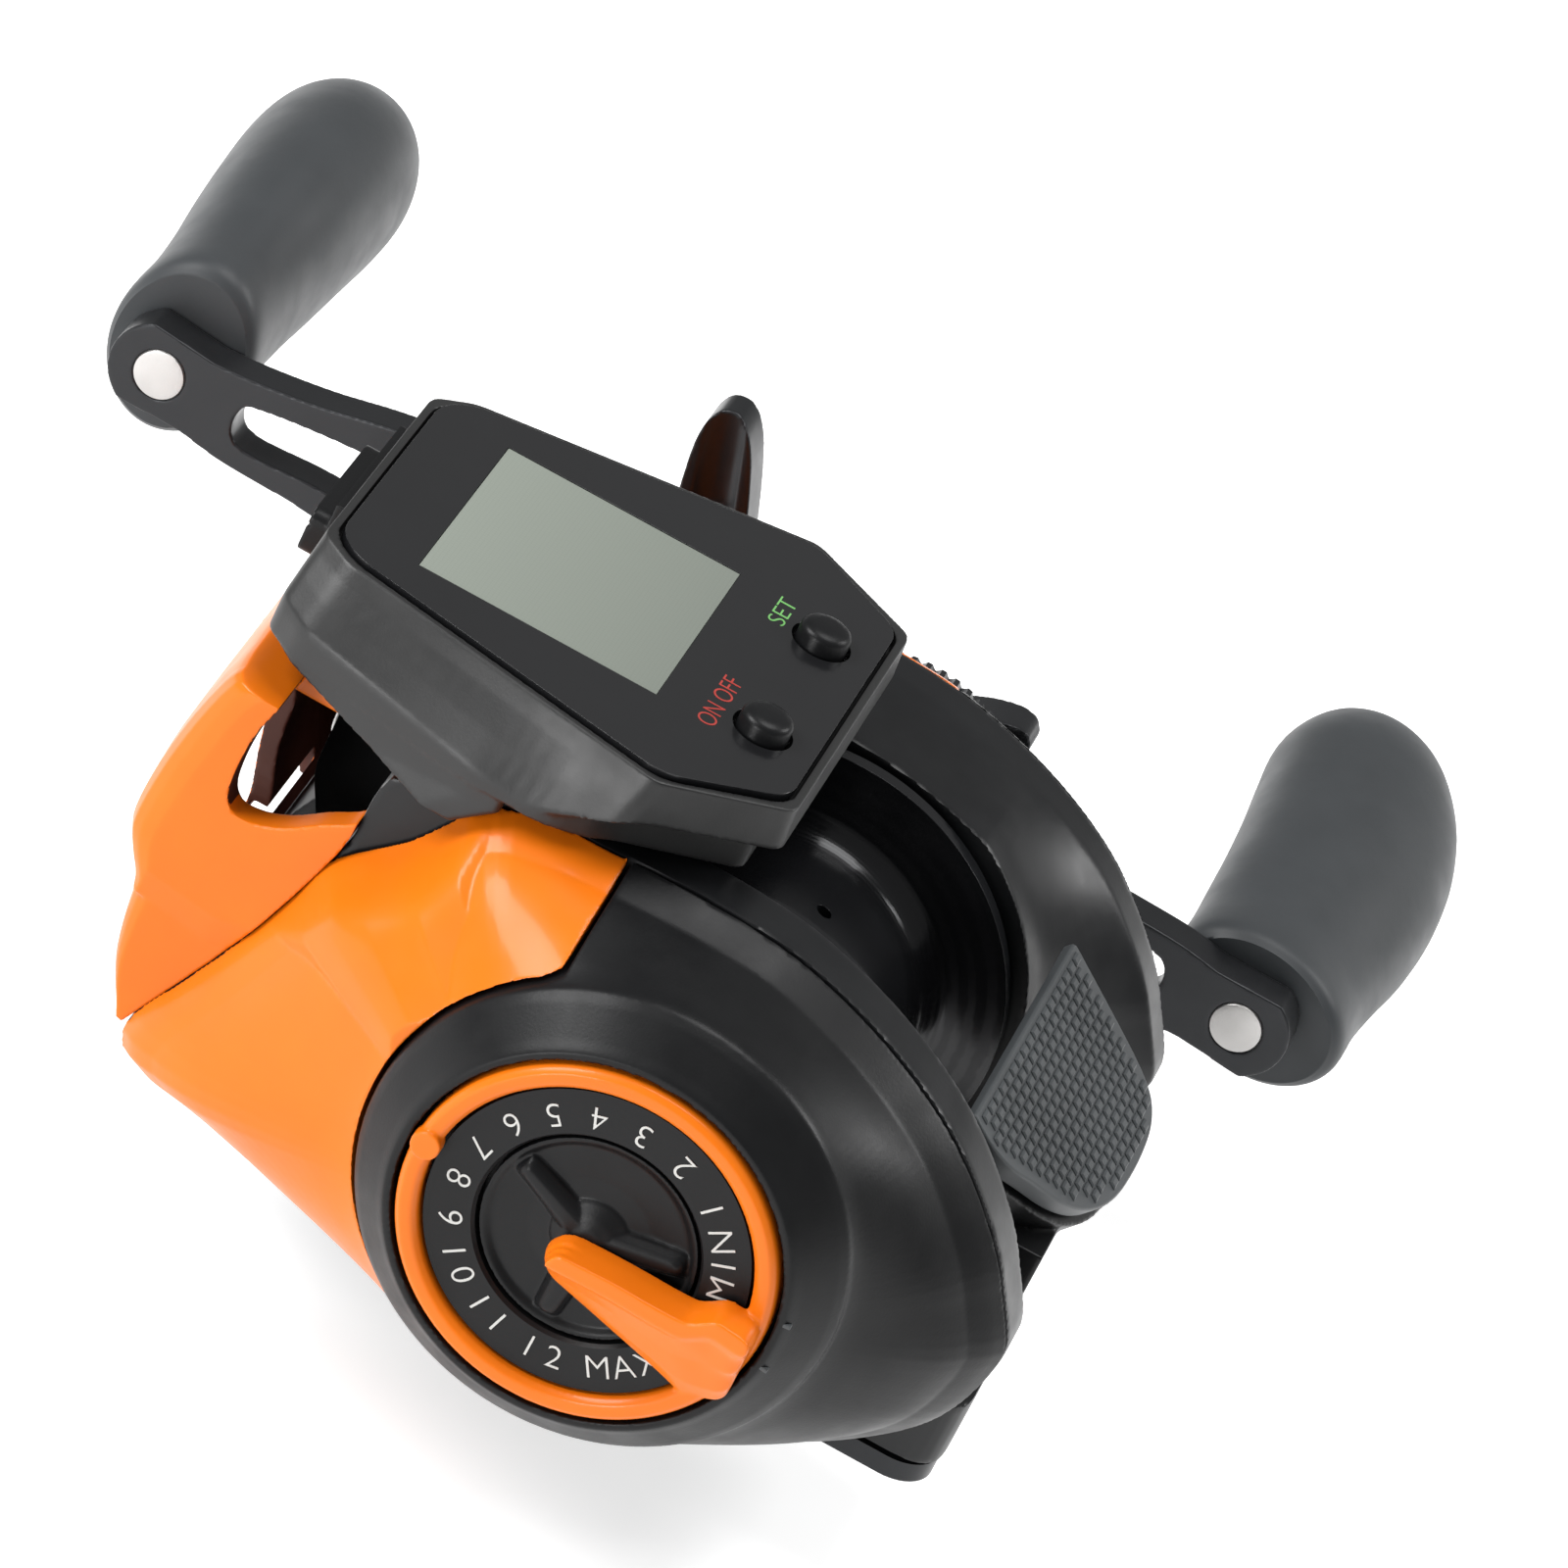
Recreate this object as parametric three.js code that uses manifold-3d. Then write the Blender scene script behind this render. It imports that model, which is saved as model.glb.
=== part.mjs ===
// Low-profile baitcasting reel with a line counter on top, handle on the right.
// Lengths are millimetres. +X runs along the spool axis to the handle side,
// +Y runs to the rod tip, +Z is up. The origin is the middle of the foot's flat underside.
import * as THREE from "three";
import { mergeVertices } from "three/addons/utils/BufferGeometryUtils.js";
import Module from "manifold-3d";

const wasm = await Module();
wasm.setup();

// Fits shared by all pieces
const runningGap = 0.4;
const seatGap = 0.3;
const slipGap = 0.25;
const overrun = 1;
const weldDistance = 0.0001;

// Facets on round and smooth shapes
const outlineSides = 38;
const curveSamples = 480;
const largeSides = 32;
const mediumSides = 22;
const smallSides = 12;
const cornerSteps = 2;

// Where the spool axis lies above the foot
const spoolAxisHeight = 20.5;
const spoolAxisForward = -3;

// Reel foot
const footLength = 57;
const footWidth = 15;
const footThickness = 1.5;
const footRearCorner = 3;
const footFrontCorner = 7;
const rivetShankRadius = 1.1;
const rivetHeadRadius = 2;
const rivetHeadThickness = 0.6;
const rivetRecess = 0.2;
const rivetReach = 3.8;
const rivetFrontInset = 9.5;
const rivetRearInset = 5.5;

// Body outline seen along the spool axis
const bodyRear = 26;
const bodyFront = 33.3;
const bodyTop = 17.8;
const bodyBottom = 18.9;
const gearCaseDrop = 1.3;

// Main frame, along the spool axis
const palmSeam = -17.5;
const palmPlateThickness = 3.9;
const handleSeam = 22.7;
const handlePlateInner = 10.2;
const handleRimWidth = 3;
const handleWall = 2.9;
const spoolWellRadius = 16.8;
const dishLipRadius = 17.2;
const floorThickness = 1;
const frontBarTip = 31.6;
const frontBarTop = -12.2;
const bridgeRear = 13.5;
const bridgeFront = 20.5;
const bridgeBottom = 13.6;
const bridgeThickness = 1.8;
const pedestalHalfWidth = 8;
const pedestalFront = 19.2;

// Side covers
const coverWall = 1.7;
const palmDomeDepth = 10;
const palmCollarRadius = 16.2;
const palmCollarDepth = 3.5;
const palmCollarLip = 13.3;
const handleDomeDepth = 7.2;
const shoulderInset = 1;
const palmColourLine = 9.2;
const handleColourLine = -2.3;
const shellSplitGap = 0.3;
const plateauMargin = 1.9;
const screwPostRadius = 3;
const screwHeadRadius = 2;
const screwHeadThickness = 1.2;
const screwShankRadius = 1;
const sideScrewSeat = 27;
const sideScrewReach = 8;

// Nose cover
const noseProud = 5.7;
const noseReach = bodyFront + noseProud;
const noseTop = 15.3;
const noseBottom = 12.6;
const noseWall = 1.6;
const noseRear = 25.6;
const apertureHalfWidth = 10;
const apertureTop = 9;
const apertureBottom = -9;

// Spool and what turns with it
const spoolLeft = -12;
const spoolRight = 9.6;
const spoolFlangeRadius = 16.2;
const spoolArborRadius = 10.5;
const spoolFlangeThickness = 1.1;
const spoolFillet = 0.9;
const spoolShaftRadius = 1.2;
const spoolShaftLeft = -25.5;
const spoolShaftRight = 33.2;
const rotorOuterRadius = 10.5;
const rotorWall = 1.2;
const rotorDepth = 4.2;

// Gears
const shaftForward = 14.15;
const shaftHeight = -6.25;
const driveTeeth = 50;
const pinionTeeth = 12;
const crossTeeth = 20;
const wormTeeth = 16;
const toothAddendumShare = 0.85;
const toothDedendumShare = 1.15;
const toothRootShare = 0.32;
const toothTipShare = 0.1;
const driveGearLeft = 15.2;
const driveGearWidth = 3.7;
const pinionNeckRadius = 2.2;
const pinionNeckWidth = 2.8;
const pinionCollarRadius = 3.2;
const pinionCollarWidth = 0.9;
const crossGearWidth = 1.2;

// Handle shaft and drag
const driveShaftRadius = 2;
const driveSleeveRadius = 3;
const driveThreadRadius = 2.4;
const driveShaftLeft = 11.4;
const driveSleeveLeft = 22.6;
const dragWasherRadius = 9;
const dragWasherThickness = 0.8;
const oneWayOuterRadius = 6.6;
const oneWayLength = 5;
const oneWayWall = 1.5;

// Bearings
const bearingOuterRadius = 4;
const bearingWidth = 2.4;

// Star drag
const starInner = 36.5;
const starArmThickness = 2.4;
const starPaddleThickness = 3.3;
const starHubRadius = 6.2;
const starHubLength = 4.6;
const starTipRadius = 25.8;
const starArms = 5;
const starTurnDegrees = 4.2;
const collarRadius = 5;

// Handle arm and knobs
const armInner = 43.5;
const armThickness = 3;
const armReach = 43.5;
const armEndRadius = 3.8;
const armHubRadius = 7.5;
const armTiltDegrees = 3;
const pinRadius = 1.6;
const pinHeadRadius = 1.7;
const pinHeadProud = 0.15;
const knobLength = 40.2;
const knobHalfWidth = 8;
const knobHalfThickness = 6.4;
const knobEndWall = 6;
const frontKnobTurnDegrees = 90;
const rearKnobTurnDegrees = 195;
const nutAcross = 5.4;
const nutThickness = 4;
const retainerThickness = 0.9;
const retainerLength = 8;
const retainerWidth = 4.4;

// Cast control
const castCapRadius = 10.4;
const castCapLeft = 30.8;
const castCapRight = 36;
const castCapFloor = 1.6;
const castKnurls = 30;
const castKnurlDepth = 0.35;
const castBossRadius = 7.6;
const castBossRight = 33.6;
const shaftBossRadius = 4.3;

// Brake dial on the palm side
const dialRingOuter = 12.45;
const dialRingInner = 10.9;
const dialFace = -31.5;
const dialSeat = -29;
const numberPlateThickness = 1.2;
const hubRadius = 7.1;
const hubThickness = 0.7;
const hubRibHeight = 0.8;
const hubRibWidth = 1.5;
const hubRibs = 3;
const pointerLift = 0.6;
const pointerHeight = 2.6;
const pointerRootWidth = 2.8;
const pointerTipWidth = 8;
const pointerTail = 1.9;
const pointerDegrees = 191;
const carrierInner = 6;
const carrierOuter = 11;
const carrierThickness = 2.5;
const carrierLeft = -24.8;
const palmBossRadius = 5.6;
const palmBossRight = -20.5;
const carrierLobes = 6;

// Level wind
const wormForward = 22.5;
const wormHeight = -6;
const wormRadius = 2.2;
const wormJournalRadius = 1.3;
const wormLeftEnd = -15.4;
const guideRodForward = 24.6;
const guideRodHeight = 3.4;
const guideRodRadius = 1.1;
const carriageWidth = 7;
const carriageFront = 30.8;
const carriageTop = 12.4;
const carriageBottom = -9.4;
const eyeHeight = 8.4;
const eyeBore = 1.7;
const eyeOuter = 2.8;
const pawlCapRadius = 2.1;
const pawlCapHeight = 1.8;

// Thumb bar and clutch
const thumbLeft = -12.9;
const thumbRight = 12.2;
const thumbFront = -17.2;
const thumbTop = 10.4;
const thumbSlopeDegrees = 38;
const thumbLength = 13.3;
const thumbPadThickness = 1.5;
const thumbBaseThickness = 2.6;
const thumbBaseMargin = 0.6;
const thumbClearRadius = 19.4;
const thumbSkirtFront = -22.2;
const thumbSkirtRear = -25.2;
const thumbSkirtBottom = -3.6;
const thumbSkirtHalfWidth = 9.5;
const yokeThickness = 1;
const yokeForkRadius = 2.6;
const yokeHalfHeight = 8.2;
const yokeHalfWidth = 2.2;
const postOffset = 5.6;
const postBack = 3.6;
const postRadius = 0.9;
const postLength = 10.3;

// Line counter
const displayCentre = -1;
const panelTop = 24.7;
const panelThickness = 1;
const panelFront = 35.2;
const panelRear = 2;
const panelHalfWidth = 17.4;
const rimProud = 0.55;
const rimDrop = 0.3;
const housingBottom = 18.1;
const housingKeelBottom = 15.7;
const housingFront = 36.2;
const housingRear = 1.2;
const housingHalfWidth = 18.7;
const keelRear = 20.9;
const pocketFloor = 22.4;
const lcdHalfWidth = 8.9;
const lcdRear = 13;
const lcdFront = 29.5;
const lcdThickness = 1.1;
const boardThickness = 0.6;
const buttonForward = 6;
const setButtonSide = 5.4;
const powerButtonSide = -7.7;
const buttonRadius = 1.75;
const buttonProud = 1.7;
const buttonFlange = 0.5;
const buttonTravel = 0.5;
const trayCentre = 3;
const trayHalfWidth = 6.4;
const trayLipLeft = -2;
const trayLipRight = 9.4;
const trayLipBottom = 16.2;
const trayBottom = 18.9;
const trayHeight = 2.7;
const trayRear = 22.4;
const trayFloor = 0.6;
const trayDoor = 1.7;
const cellRadius = 5.8;
const cellThickness = 1.6;
const screwSide = 5.5;
const screwForward = 16.4;

// Finishes
const orangePaint = () => finish(0xff8a24, 0.32, 0);
const blackSatin = () => finish(0x222426, 0.5, 0);
const frameBlack = () => finish(0x1b1d1f, 0.42, 0.2);
const glossBlack = () => finish(0x2c2e31, 0.12, 0);
const liquidCrystal = () => finish(0x9aa398, 0.35, 0);
const knobRubber = () => finish(0x3f4549, 0.7, 0);
const brightSteel = () => finish(0xc9c8c4, 0.28, 1);
const darkSteel = () => finish(0x6e7073, 0.35, 1);
const brass = () => finish(0xb99a52, 0.32, 1);
const carbon = () => finish(0x2b2b2d, 0.6, 0);
const boardGreen = () => finish(0x1f6b3a, 0.5, 0);
const gripGrey = () => finish(0x565c5f, 0.62, 0);
const ceramic = () => finish(0xe9e6df, 0.2, 0);
const blackAluminium = () => finish(0x1c1e20, 0.35, 0.8);

function finish(color, roughness, metalness) {
  return new THREE.MeshStandardMaterial({ color, roughness, metalness });
}

// Closed solids from three.js geometry

function signedVolume(positions, index) {
  let total = 0;
  const a = new THREE.Vector3();
  const b = new THREE.Vector3();
  const c = new THREE.Vector3();
  for (let i = 0; i < index.length; i += 3) {
    a.fromBufferAttribute(positions, index[i]);
    b.fromBufferAttribute(positions, index[i + 1]);
    c.fromBufferAttribute(positions, index[i + 2]);
    total += a.dot(b.cross(c));
  }
  return total;
}

function solidOf(geometry) {
  const bare = geometry.index ? geometry.toNonIndexed() : geometry.clone();
  bare.deleteAttribute("normal");
  bare.deleteAttribute("uv");
  const merged = mergeVertices(bare, weldDistance);
  const kept = [];
  const index = merged.index.array;
  for (let i = 0; i < index.length; i += 3) {
    const [a, b, c] = [index[i], index[i + 1], index[i + 2]];
    if (a !== b && b !== c && c !== a) kept.push(a, b, c);
  }
  if (signedVolume(merged.attributes.position, kept) < 0) kept.reverse();
  return new wasm.Manifold(
    new wasm.Mesh({
      numProp: 3,
      vertProperties: merged.attributes.position.array,
      triVerts: new Uint32Array(kept),
    }),
  );
}

function geometryOf(solid) {
  const mesh = solid.getMesh();
  const geometry = new THREE.BufferGeometry();
  geometry.setAttribute("position", new THREE.BufferAttribute(new Float32Array(mesh.vertProperties), 3));
  geometry.setIndex(new THREE.BufferAttribute(new Uint32Array(mesh.triVerts), 1));
  return geometry;
}

function join(first, ...others) {
  return geometryOf(others.reduce((all, one) => all.add(solidOf(one)), solidOf(first)));
}

function cut(first, ...tools) {
  return geometryOf(tools.reduce((all, one) => all.subtract(solidOf(one)), solidOf(first)));
}

function common(first, second) {
  return geometryOf(solidOf(first).intersect(solidOf(second)));
}

function moved(geometry, x, y, z) {
  return geometry.clone().translate(x, y, z);
}

// Turns a shape that was drawn flat and raised along its own Z so that it rises along X instead.
function standAlongX(geometry) {
  const turn = new THREE.Matrix4().makeBasis(
    new THREE.Vector3(0, 1, 0),
    new THREE.Vector3(0, 0, 1),
    new THREE.Vector3(1, 0, 0),
  );
  return geometry.applyMatrix4(turn);
}

function prism(points, from, to, axis = "x", holes = []) {
  const shape = new THREE.Shape(points.map(([u, v]) => new THREE.Vector2(u, v)));
  for (const hole of holes) shape.holes.push(new THREE.Path(hole.map(([u, v]) => new THREE.Vector2(u, v))));
  const raised = new THREE.ExtrudeGeometry(shape, { depth: to - from, bevelEnabled: false });
  raised.translate(0, 0, from);
  return axis === "x" ? standAlongX(raised) : raised;
}

function block(x0, x1, y0, y1, z0, z1) {
  const box = new THREE.BoxGeometry(x1 - x0, y1 - y0, z1 - z0);
  return box.translate((x0 + x1) / 2, (y0 + y1) / 2, (z0 + z1) / 2);
}

// A turned shape from a closed or axis-to-axis profile of [radius, place along the axis].
function turned(profile, sides = mediumSides, axis = "x") {
  const lathe = new THREE.LatheGeometry(profile.map(([r, at]) => new THREE.Vector2(r, at)), sides);
  if (axis === "x") lathe.rotateZ(-Math.PI / 2);
  if (axis === "z") lathe.rotateX(Math.PI / 2);
  return lathe;
}

function rod(radius, from, to, sides = mediumSides, axis = "x") {
  return turned([[0, from], [radius, from], [radius, to], [0, to]], sides, axis);
}

function ring(inner, outer, from, to, sides = mediumSides, axis = "x") {
  return turned([[inner, from], [outer, from], [outer, to], [inner, to], [inner, from]], sides, axis);
}

// Skin over rings of equal point counts, each { at, points }, with flat ends.
function loft(rings, axis = "x") {
  const count = rings[0].points.length;
  const positions = [];
  const index = [];
  for (const { at, points } of rings) for (const [u, v] of points) positions.push(u, v, at);
  for (let k = 0; k + 1 < rings.length; k += 1) {
    for (let i = 0; i < count; i += 1) {
      const a = k * count + i;
      const b = k * count + ((i + 1) % count);
      index.push(a, b, b + count, a, b + count, a + count);
    }
  }
  const flat = (ringPoints) =>
    THREE.ShapeUtils.triangulateShape(ringPoints.map(([u, v]) => new THREE.Vector2(u, v)), []);
  for (const [a, b, c] of flat(rings[0].points)) index.push(c, b, a);
  const last = (rings.length - 1) * count;
  for (const [a, b, c] of flat(rings[rings.length - 1].points)) index.push(last + a, last + b, last + c);
  const geometry = new THREE.BufferGeometry();
  geometry.setAttribute("position", new THREE.Float32BufferAttribute(positions, 3));
  geometry.setIndex(index);
  return axis === "x" ? standAlongX(geometry) : geometry;
}

function circlePoints(radius, sides = mediumSides, centre = [0, 0]) {
  const points = [];
  for (let i = 0; i < sides; i += 1) {
    const angle = (i / sides) * Math.PI * 2;
    points.push([centre[0] + radius * Math.cos(angle), centre[1] + radius * Math.sin(angle)]);
  }
  return points;
}

// Rounds each corner of a polygon by an arc of a few steps.
function rounded(points, radius) {
  const result = [];
  const count = points.length;
  points.forEach(([u, v], i) => {
    const before = points[(i + count - 1) % count];
    const after = points[(i + 1) % count];
    const inLength = Math.hypot(before[0] - u, before[1] - v);
    const outLength = Math.hypot(after[0] - u, after[1] - v);
    const back = Math.min(radius, inLength / 2, outLength / 2);
    const start = [u + ((before[0] - u) * back) / inLength, v + ((before[1] - v) * back) / inLength];
    const end = [u + ((after[0] - u) * back) / outLength, v + ((after[1] - v) * back) / outLength];
    for (let s = 0; s <= cornerSteps; s += 1) {
      const t = s / cornerSteps;
      const [p, q, r] = [(1 - t) * (1 - t), 2 * t * (1 - t), t * t];
      result.push([p * start[0] + q * u + r * end[0], p * start[1] + q * v + r * end[1]]);
    }
  });
  return result;
}

// A smooth closed outline about the axis, given back as its reach in each direction.
function reachOf(points) {
  const corners = points.map(([y, z]) => new THREE.Vector3(y, z, 0));
  const curve = new THREE.CatmullRomCurve3(corners, true, "centripetal");
  const spaced = curve.getSpacedPoints(curveSamples);
  const samples = spaced.map((p) => [Math.atan2(p.y, p.x), Math.hypot(p.x, p.y)]);
  samples.sort((a, b) => a[0] - b[0]);
  return (angle) => {
    const wrapped = Math.atan2(Math.sin(angle), Math.cos(angle));
    const next = samples.findIndex(([at]) => at > wrapped);
    const high = samples[next < 0 ? 0 : next];
    const low = samples[next < 1 ? samples.length - 1 : next - 1];
    let span = high[0] - low[0];
    let into = wrapped - low[0];
    if (span <= 0) span += Math.PI * 2;
    if (into < 0) into += Math.PI * 2;
    return low[1] + ((high[1] - low[1]) * into) / span;
  };
}

function ringOf(at, reach) {
  const points = [];
  for (let i = 0; i < outlineSides; i += 1) {
    const angle = (i / outlineSides) * Math.PI * 2;
    points.push([reach(angle) * Math.cos(angle), reach(angle) * Math.sin(angle)]);
  }
  return { at, points };
}

function smoothStep(from, to, value) {
  const t = Math.min(1, Math.max(0, (value - from) / (to - from)));
  return t * t * (3 - 2 * t);
}

// Shares of body rear or front reach, and of body top or bottom height
const rearAndTopShares = [
  [-1, -0.05], [-0.98, 0.02], [-0.93, 0.15], [-0.885, 0.26], [-0.792, 0.425], [-0.658, 0.61],
  [-0.512, 0.75], [-0.338, 0.87], [-0.142, 0.96], [0, 0.99], [0.16, 1], [0.28, 0.99],
];
const upperFrontShares = [[0.45, 0.965], [0.55, 0.905], [0.658, 0.63], [0.778, 0.393]];
const plateFrontShares = [
  [0.45, 0.97], [0.59, 0.95], [0.617, 0.84], [0.74, 0.81], [0.758, 0.7], [0.762, 0.5], [0.778, 0.393],
];
const lowerFrontShares = [
  [0.814, 0.185], [0.85, 0], [0.895, -0.19], [0.943, -0.365], [0.994, -0.55], [1, -0.64], [0.975, -0.7],
];
const palmBelowShares = [
  [0.84, -0.75], [0.6, -0.86], [0.3, -0.965], [0, -1], [-0.288, -0.974], [-0.546, -0.847], [-0.758, -0.667],
  [-0.912, -0.455], [-0.973, -0.28],
];
const gearCaseShares = [
  [0.86, -0.8], [0.68, -0.955], [0.42, -1], [0.18, -0.985], [0, -0.945], [-0.27, -0.87], [-0.5, -0.74],
  [-0.7, -0.57], [-0.87, -0.37], [-0.955, -0.22],
];

function bodyPoints(shares, bottom) {
  return shares.map(([along, up]) => [
    along * (along < 0 ? bodyRear : bodyFront),
    up * (up < 0 ? bottom : bodyTop),
  ]);
}

const frontShares = [...upperFrontShares, ...lowerFrontShares];
const palmReach = reachOf(bodyPoints([...rearAndTopShares, ...frontShares, ...palmBelowShares], bodyBottom));
const plateReach = reachOf(
  bodyPoints([...rearAndTopShares, ...plateFrontShares, ...lowerFrontShares, ...palmBelowShares], bodyBottom),
);
const handleReach = reachOf([
  ...bodyPoints(rearAndTopShares, bodyBottom).map(([y, z]) => [y, z > 0 ? z * handleTopShare(y) : z]),
  ...bodyPoints(frontShares, bodyBottom),
  ...bodyPoints(gearCaseShares, bodyBottom + gearCaseDrop),
]);

// The handle side is a little lower behind the line counter.
function handleTopShare(y) {
  const lowest = 0.955;
  return 1 - (1 - lowest) * smoothStep(-bodyRear, 0, y);
}

// Fore and aft place of the slanted seam between the nose cover and the sides at a height.
function seamForward(z) {
  const line = bodyPoints([...plateFrontShares.slice(3), ...lowerFrontShares.slice(0, -2)], bodyBottom);
  let k = 0;
  while (k + 2 < line.length && z < line[k + 1][1]) k += 1;
  const [high, low] = [line[k], line[k + 1]];
  return high[0] + ((low[0] - high[0]) * (high[1] - z)) / (high[1] - low[1]);
}

const palmPlateInner = palmSeam + seatGap + palmPlateThickness;
const floorBottom = -spoolAxisHeight + footThickness + seatGap;
const floorTop = floorBottom + floorThickness;
const axisDistance = Math.hypot(shaftForward, shaftHeight);
const driveModule = (2 * axisDistance) / (driveTeeth + pinionTeeth);
const wormDistance = Math.hypot(wormForward - shaftForward, wormHeight - shaftHeight);
const crossModule = (2 * wormDistance) / (crossTeeth + wormTeeth);
const driveOuter = (driveTeeth * driveModule) / 2 + driveModule * toothAddendumShare;
const wormGearOuter = (wormTeeth * crossModule) / 2 + crossModule * toothAddendumShare;
const gearCaseLeft = handlePlateInner + handleWall;
const crossGearLeft = gearCaseLeft + runningGap;
const wormShaftEnd = crossGearLeft + crossGearWidth;

// The frame's handle plate

// Shares of the dished width, and of the way from the lip to the full outline
const dishShares = [[0, 0], [0.09, 0.03], [0.21, 0.1], [0.6, 0.52], [1, 1]];

function dishOpening(angle) {
  const degrees = (((angle * 180) / Math.PI) % 360 + 360) % 360;
  const [opens, open, closing, closed] = [62, 82, 232, 252];
  return smoothStep(opens, open, degrees) * (1 - smoothStep(closing, closed, degrees));
}

function handlePlate() {
  const rimStart = handleSeam - handleRimWidth;
  const rings = dishShares.map(([across, out]) => {
    const at = handlePlateInner + across * (rimStart - handlePlateInner);
    return ringOf(at, (angle) => {
      const full = handleReach(angle);
      const lip = Math.min(dishLipRadius, full - seatGap);
      return full - dishOpening(angle) * (1 - out) * (full - lip);
    });
  });
  rings.push(ringOf(handleSeam, handleReach));
  const bores = plateHoles(handlePlateInner - overrun, gearCaseLeft + overrun);
  const plate = cut(loft(rings), ...gearCavities(), ...bores);
  return join(plate, ...postPlaces().map(yokePost));
}

function gearCavities() {
  const left = gearCaseLeft;
  const right = handleSeam + overrun;
  const shaftBore = rod(driveShaftRadius + slipGap, driveShaftLeft - slipGap, right, smallSides);
  const screwLeft = sideScrewSeat - sideScrewReach - overrun;
  return [
    moved(rod(driveOuter + runningGap, left, right, largeSides), 0, shaftForward, shaftHeight),
    rod(yokeHalfHeight + runningGap, left, right, mediumSides),
    moved(rod(wormGearOuter + runningGap, left, right, mediumSides), 0, wormForward, wormHeight),
    moved(shaftBore, 0, shaftForward, shaftHeight),
    ...sideScrewPlaces().map(([y, z]) =>
      moved(rod(screwShankRadius + slipGap, screwLeft, right, smallSides), 0, y, z),
    ),
  ];
}

function postPlaces() {
  return [[-postBack, postOffset], [-postBack, -postOffset]];
}

function sideScrewPlaces() {
  const rear = bodyRear * 0.6;
  return [[-rear, 0], [-rear * 0.42, -rear * 0.9], [bodyFront * 0.63, bodyTop * 0.55]];
}

function plateHoles(from, to) {
  return [
    rod(bearingOuterRadius + slipGap, from, to, mediumSides),
    moved(rod(wormJournalRadius + slipGap, from, to, smallSides), 0, wormForward, wormHeight),
    moved(rod(guideRodRadius + slipGap, from, to, smallSides), 0, guideRodForward, guideRodHeight),
  ];
}

function palmPlate() {
  const outline = ringOf(0, plateReach).points;
  const plate = prism(outline, palmSeam + seatGap, palmPlateInner);
  return cut(
    plate,
    rod(spoolWellRadius, palmSeam, palmPlateInner + overrun, largeSides),
    ...plateHoles(palmSeam, palmPlateInner + overrun).slice(1),
  );
}

function rearBar() {
  const back = bodyRear - seatGap;
  const half = footWidth / 2;
  const lift = bodyBottom * 0.27;
  const outline = [[half, -bodyRear * 0.4], [-half, -bodyRear * 0.4], [-half, footRearCorner - back],
    [footRearCorner * 0.3 - half, footRearCorner * 0.3 - back], [footRearCorner - half, -back],
    [half - footRearCorner, -back], [half - footRearCorner * 0.3, footRearCorner * 0.3 - back],
    [half, footRearCorner - back]];
  const lug = prism(outline, floorBottom, floorBottom + lift, "z");
  const clear = rod(spoolWellRadius + runningGap, -half - overrun, half + overrun, largeSides);
  return cut(lug, clear);
}

function frontBar() {
  const profile = [
    [bridgeRear, floorBottom], [frontBarTip * 0.86, floorBottom], [frontBarTip, frontBarTop - overrun],
    [frontBarTip, frontBarTop], [frontBarTip * 0.82, frontBarTop - overrun],
    [frontBarTip * 0.6, frontBarTop - overrun * 2], [bridgeRear, floorTop],
  ];
  return prism(profile, -footWidth / 2, handlePlateInner + overrun);
}

function mainFrame() {
  const across = [palmPlateInner - overrun, handlePlateInner + overrun];
  const floor = block(...across, -bodyRear * 0.55, bridgeRear + overrun * 2, floorBottom, floorTop);
  const bridge = block(...across, bridgeRear, bridgeFront, bridgeBottom, bridgeBottom + bridgeThickness);
  const pedestal = block(
    displayCentre - pedestalHalfWidth, displayCentre + pedestalHalfWidth, bridgeRear, pedestalFront,
    bridgeBottom, housingBottom - seatGap,
  );
  const whole = join(palmPlate(), handlePlate(), rearBar(), frontBar(), floor, bridge, pedestal);
  return cut(whole, ...rivetHoles(), ...displayScrewHoles());
}

function rivetPlaces() {
  const half = footLength / 2;
  return [half - rivetFrontInset, rivetRearInset - half].map((y) => [0, y - spoolAxisForward]);
}

function rivetHoles() {
  const top = -spoolAxisHeight + rivetReach + slipGap;
  return rivetPlaces().map(([x, y]) =>
    moved(rod(rivetShankRadius + slipGap, floorBottom - overrun, top, smallSides, "z"), x, y, 0),
  );
}

function displayScrewHoles() {
  const top = housingBottom + overrun;
  return displayScrewPlaces().map(([x, y]) =>
    moved(rod(screwShankRadius + slipGap, bridgeBottom - overrun, top, smallSides, "z"), x, y, 0),
  );
}

function displayScrewPlaces() {
  return [-screwSide, screwSide].map((side) => [displayCentre + side, screwForward]);
}

// Foot

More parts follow.
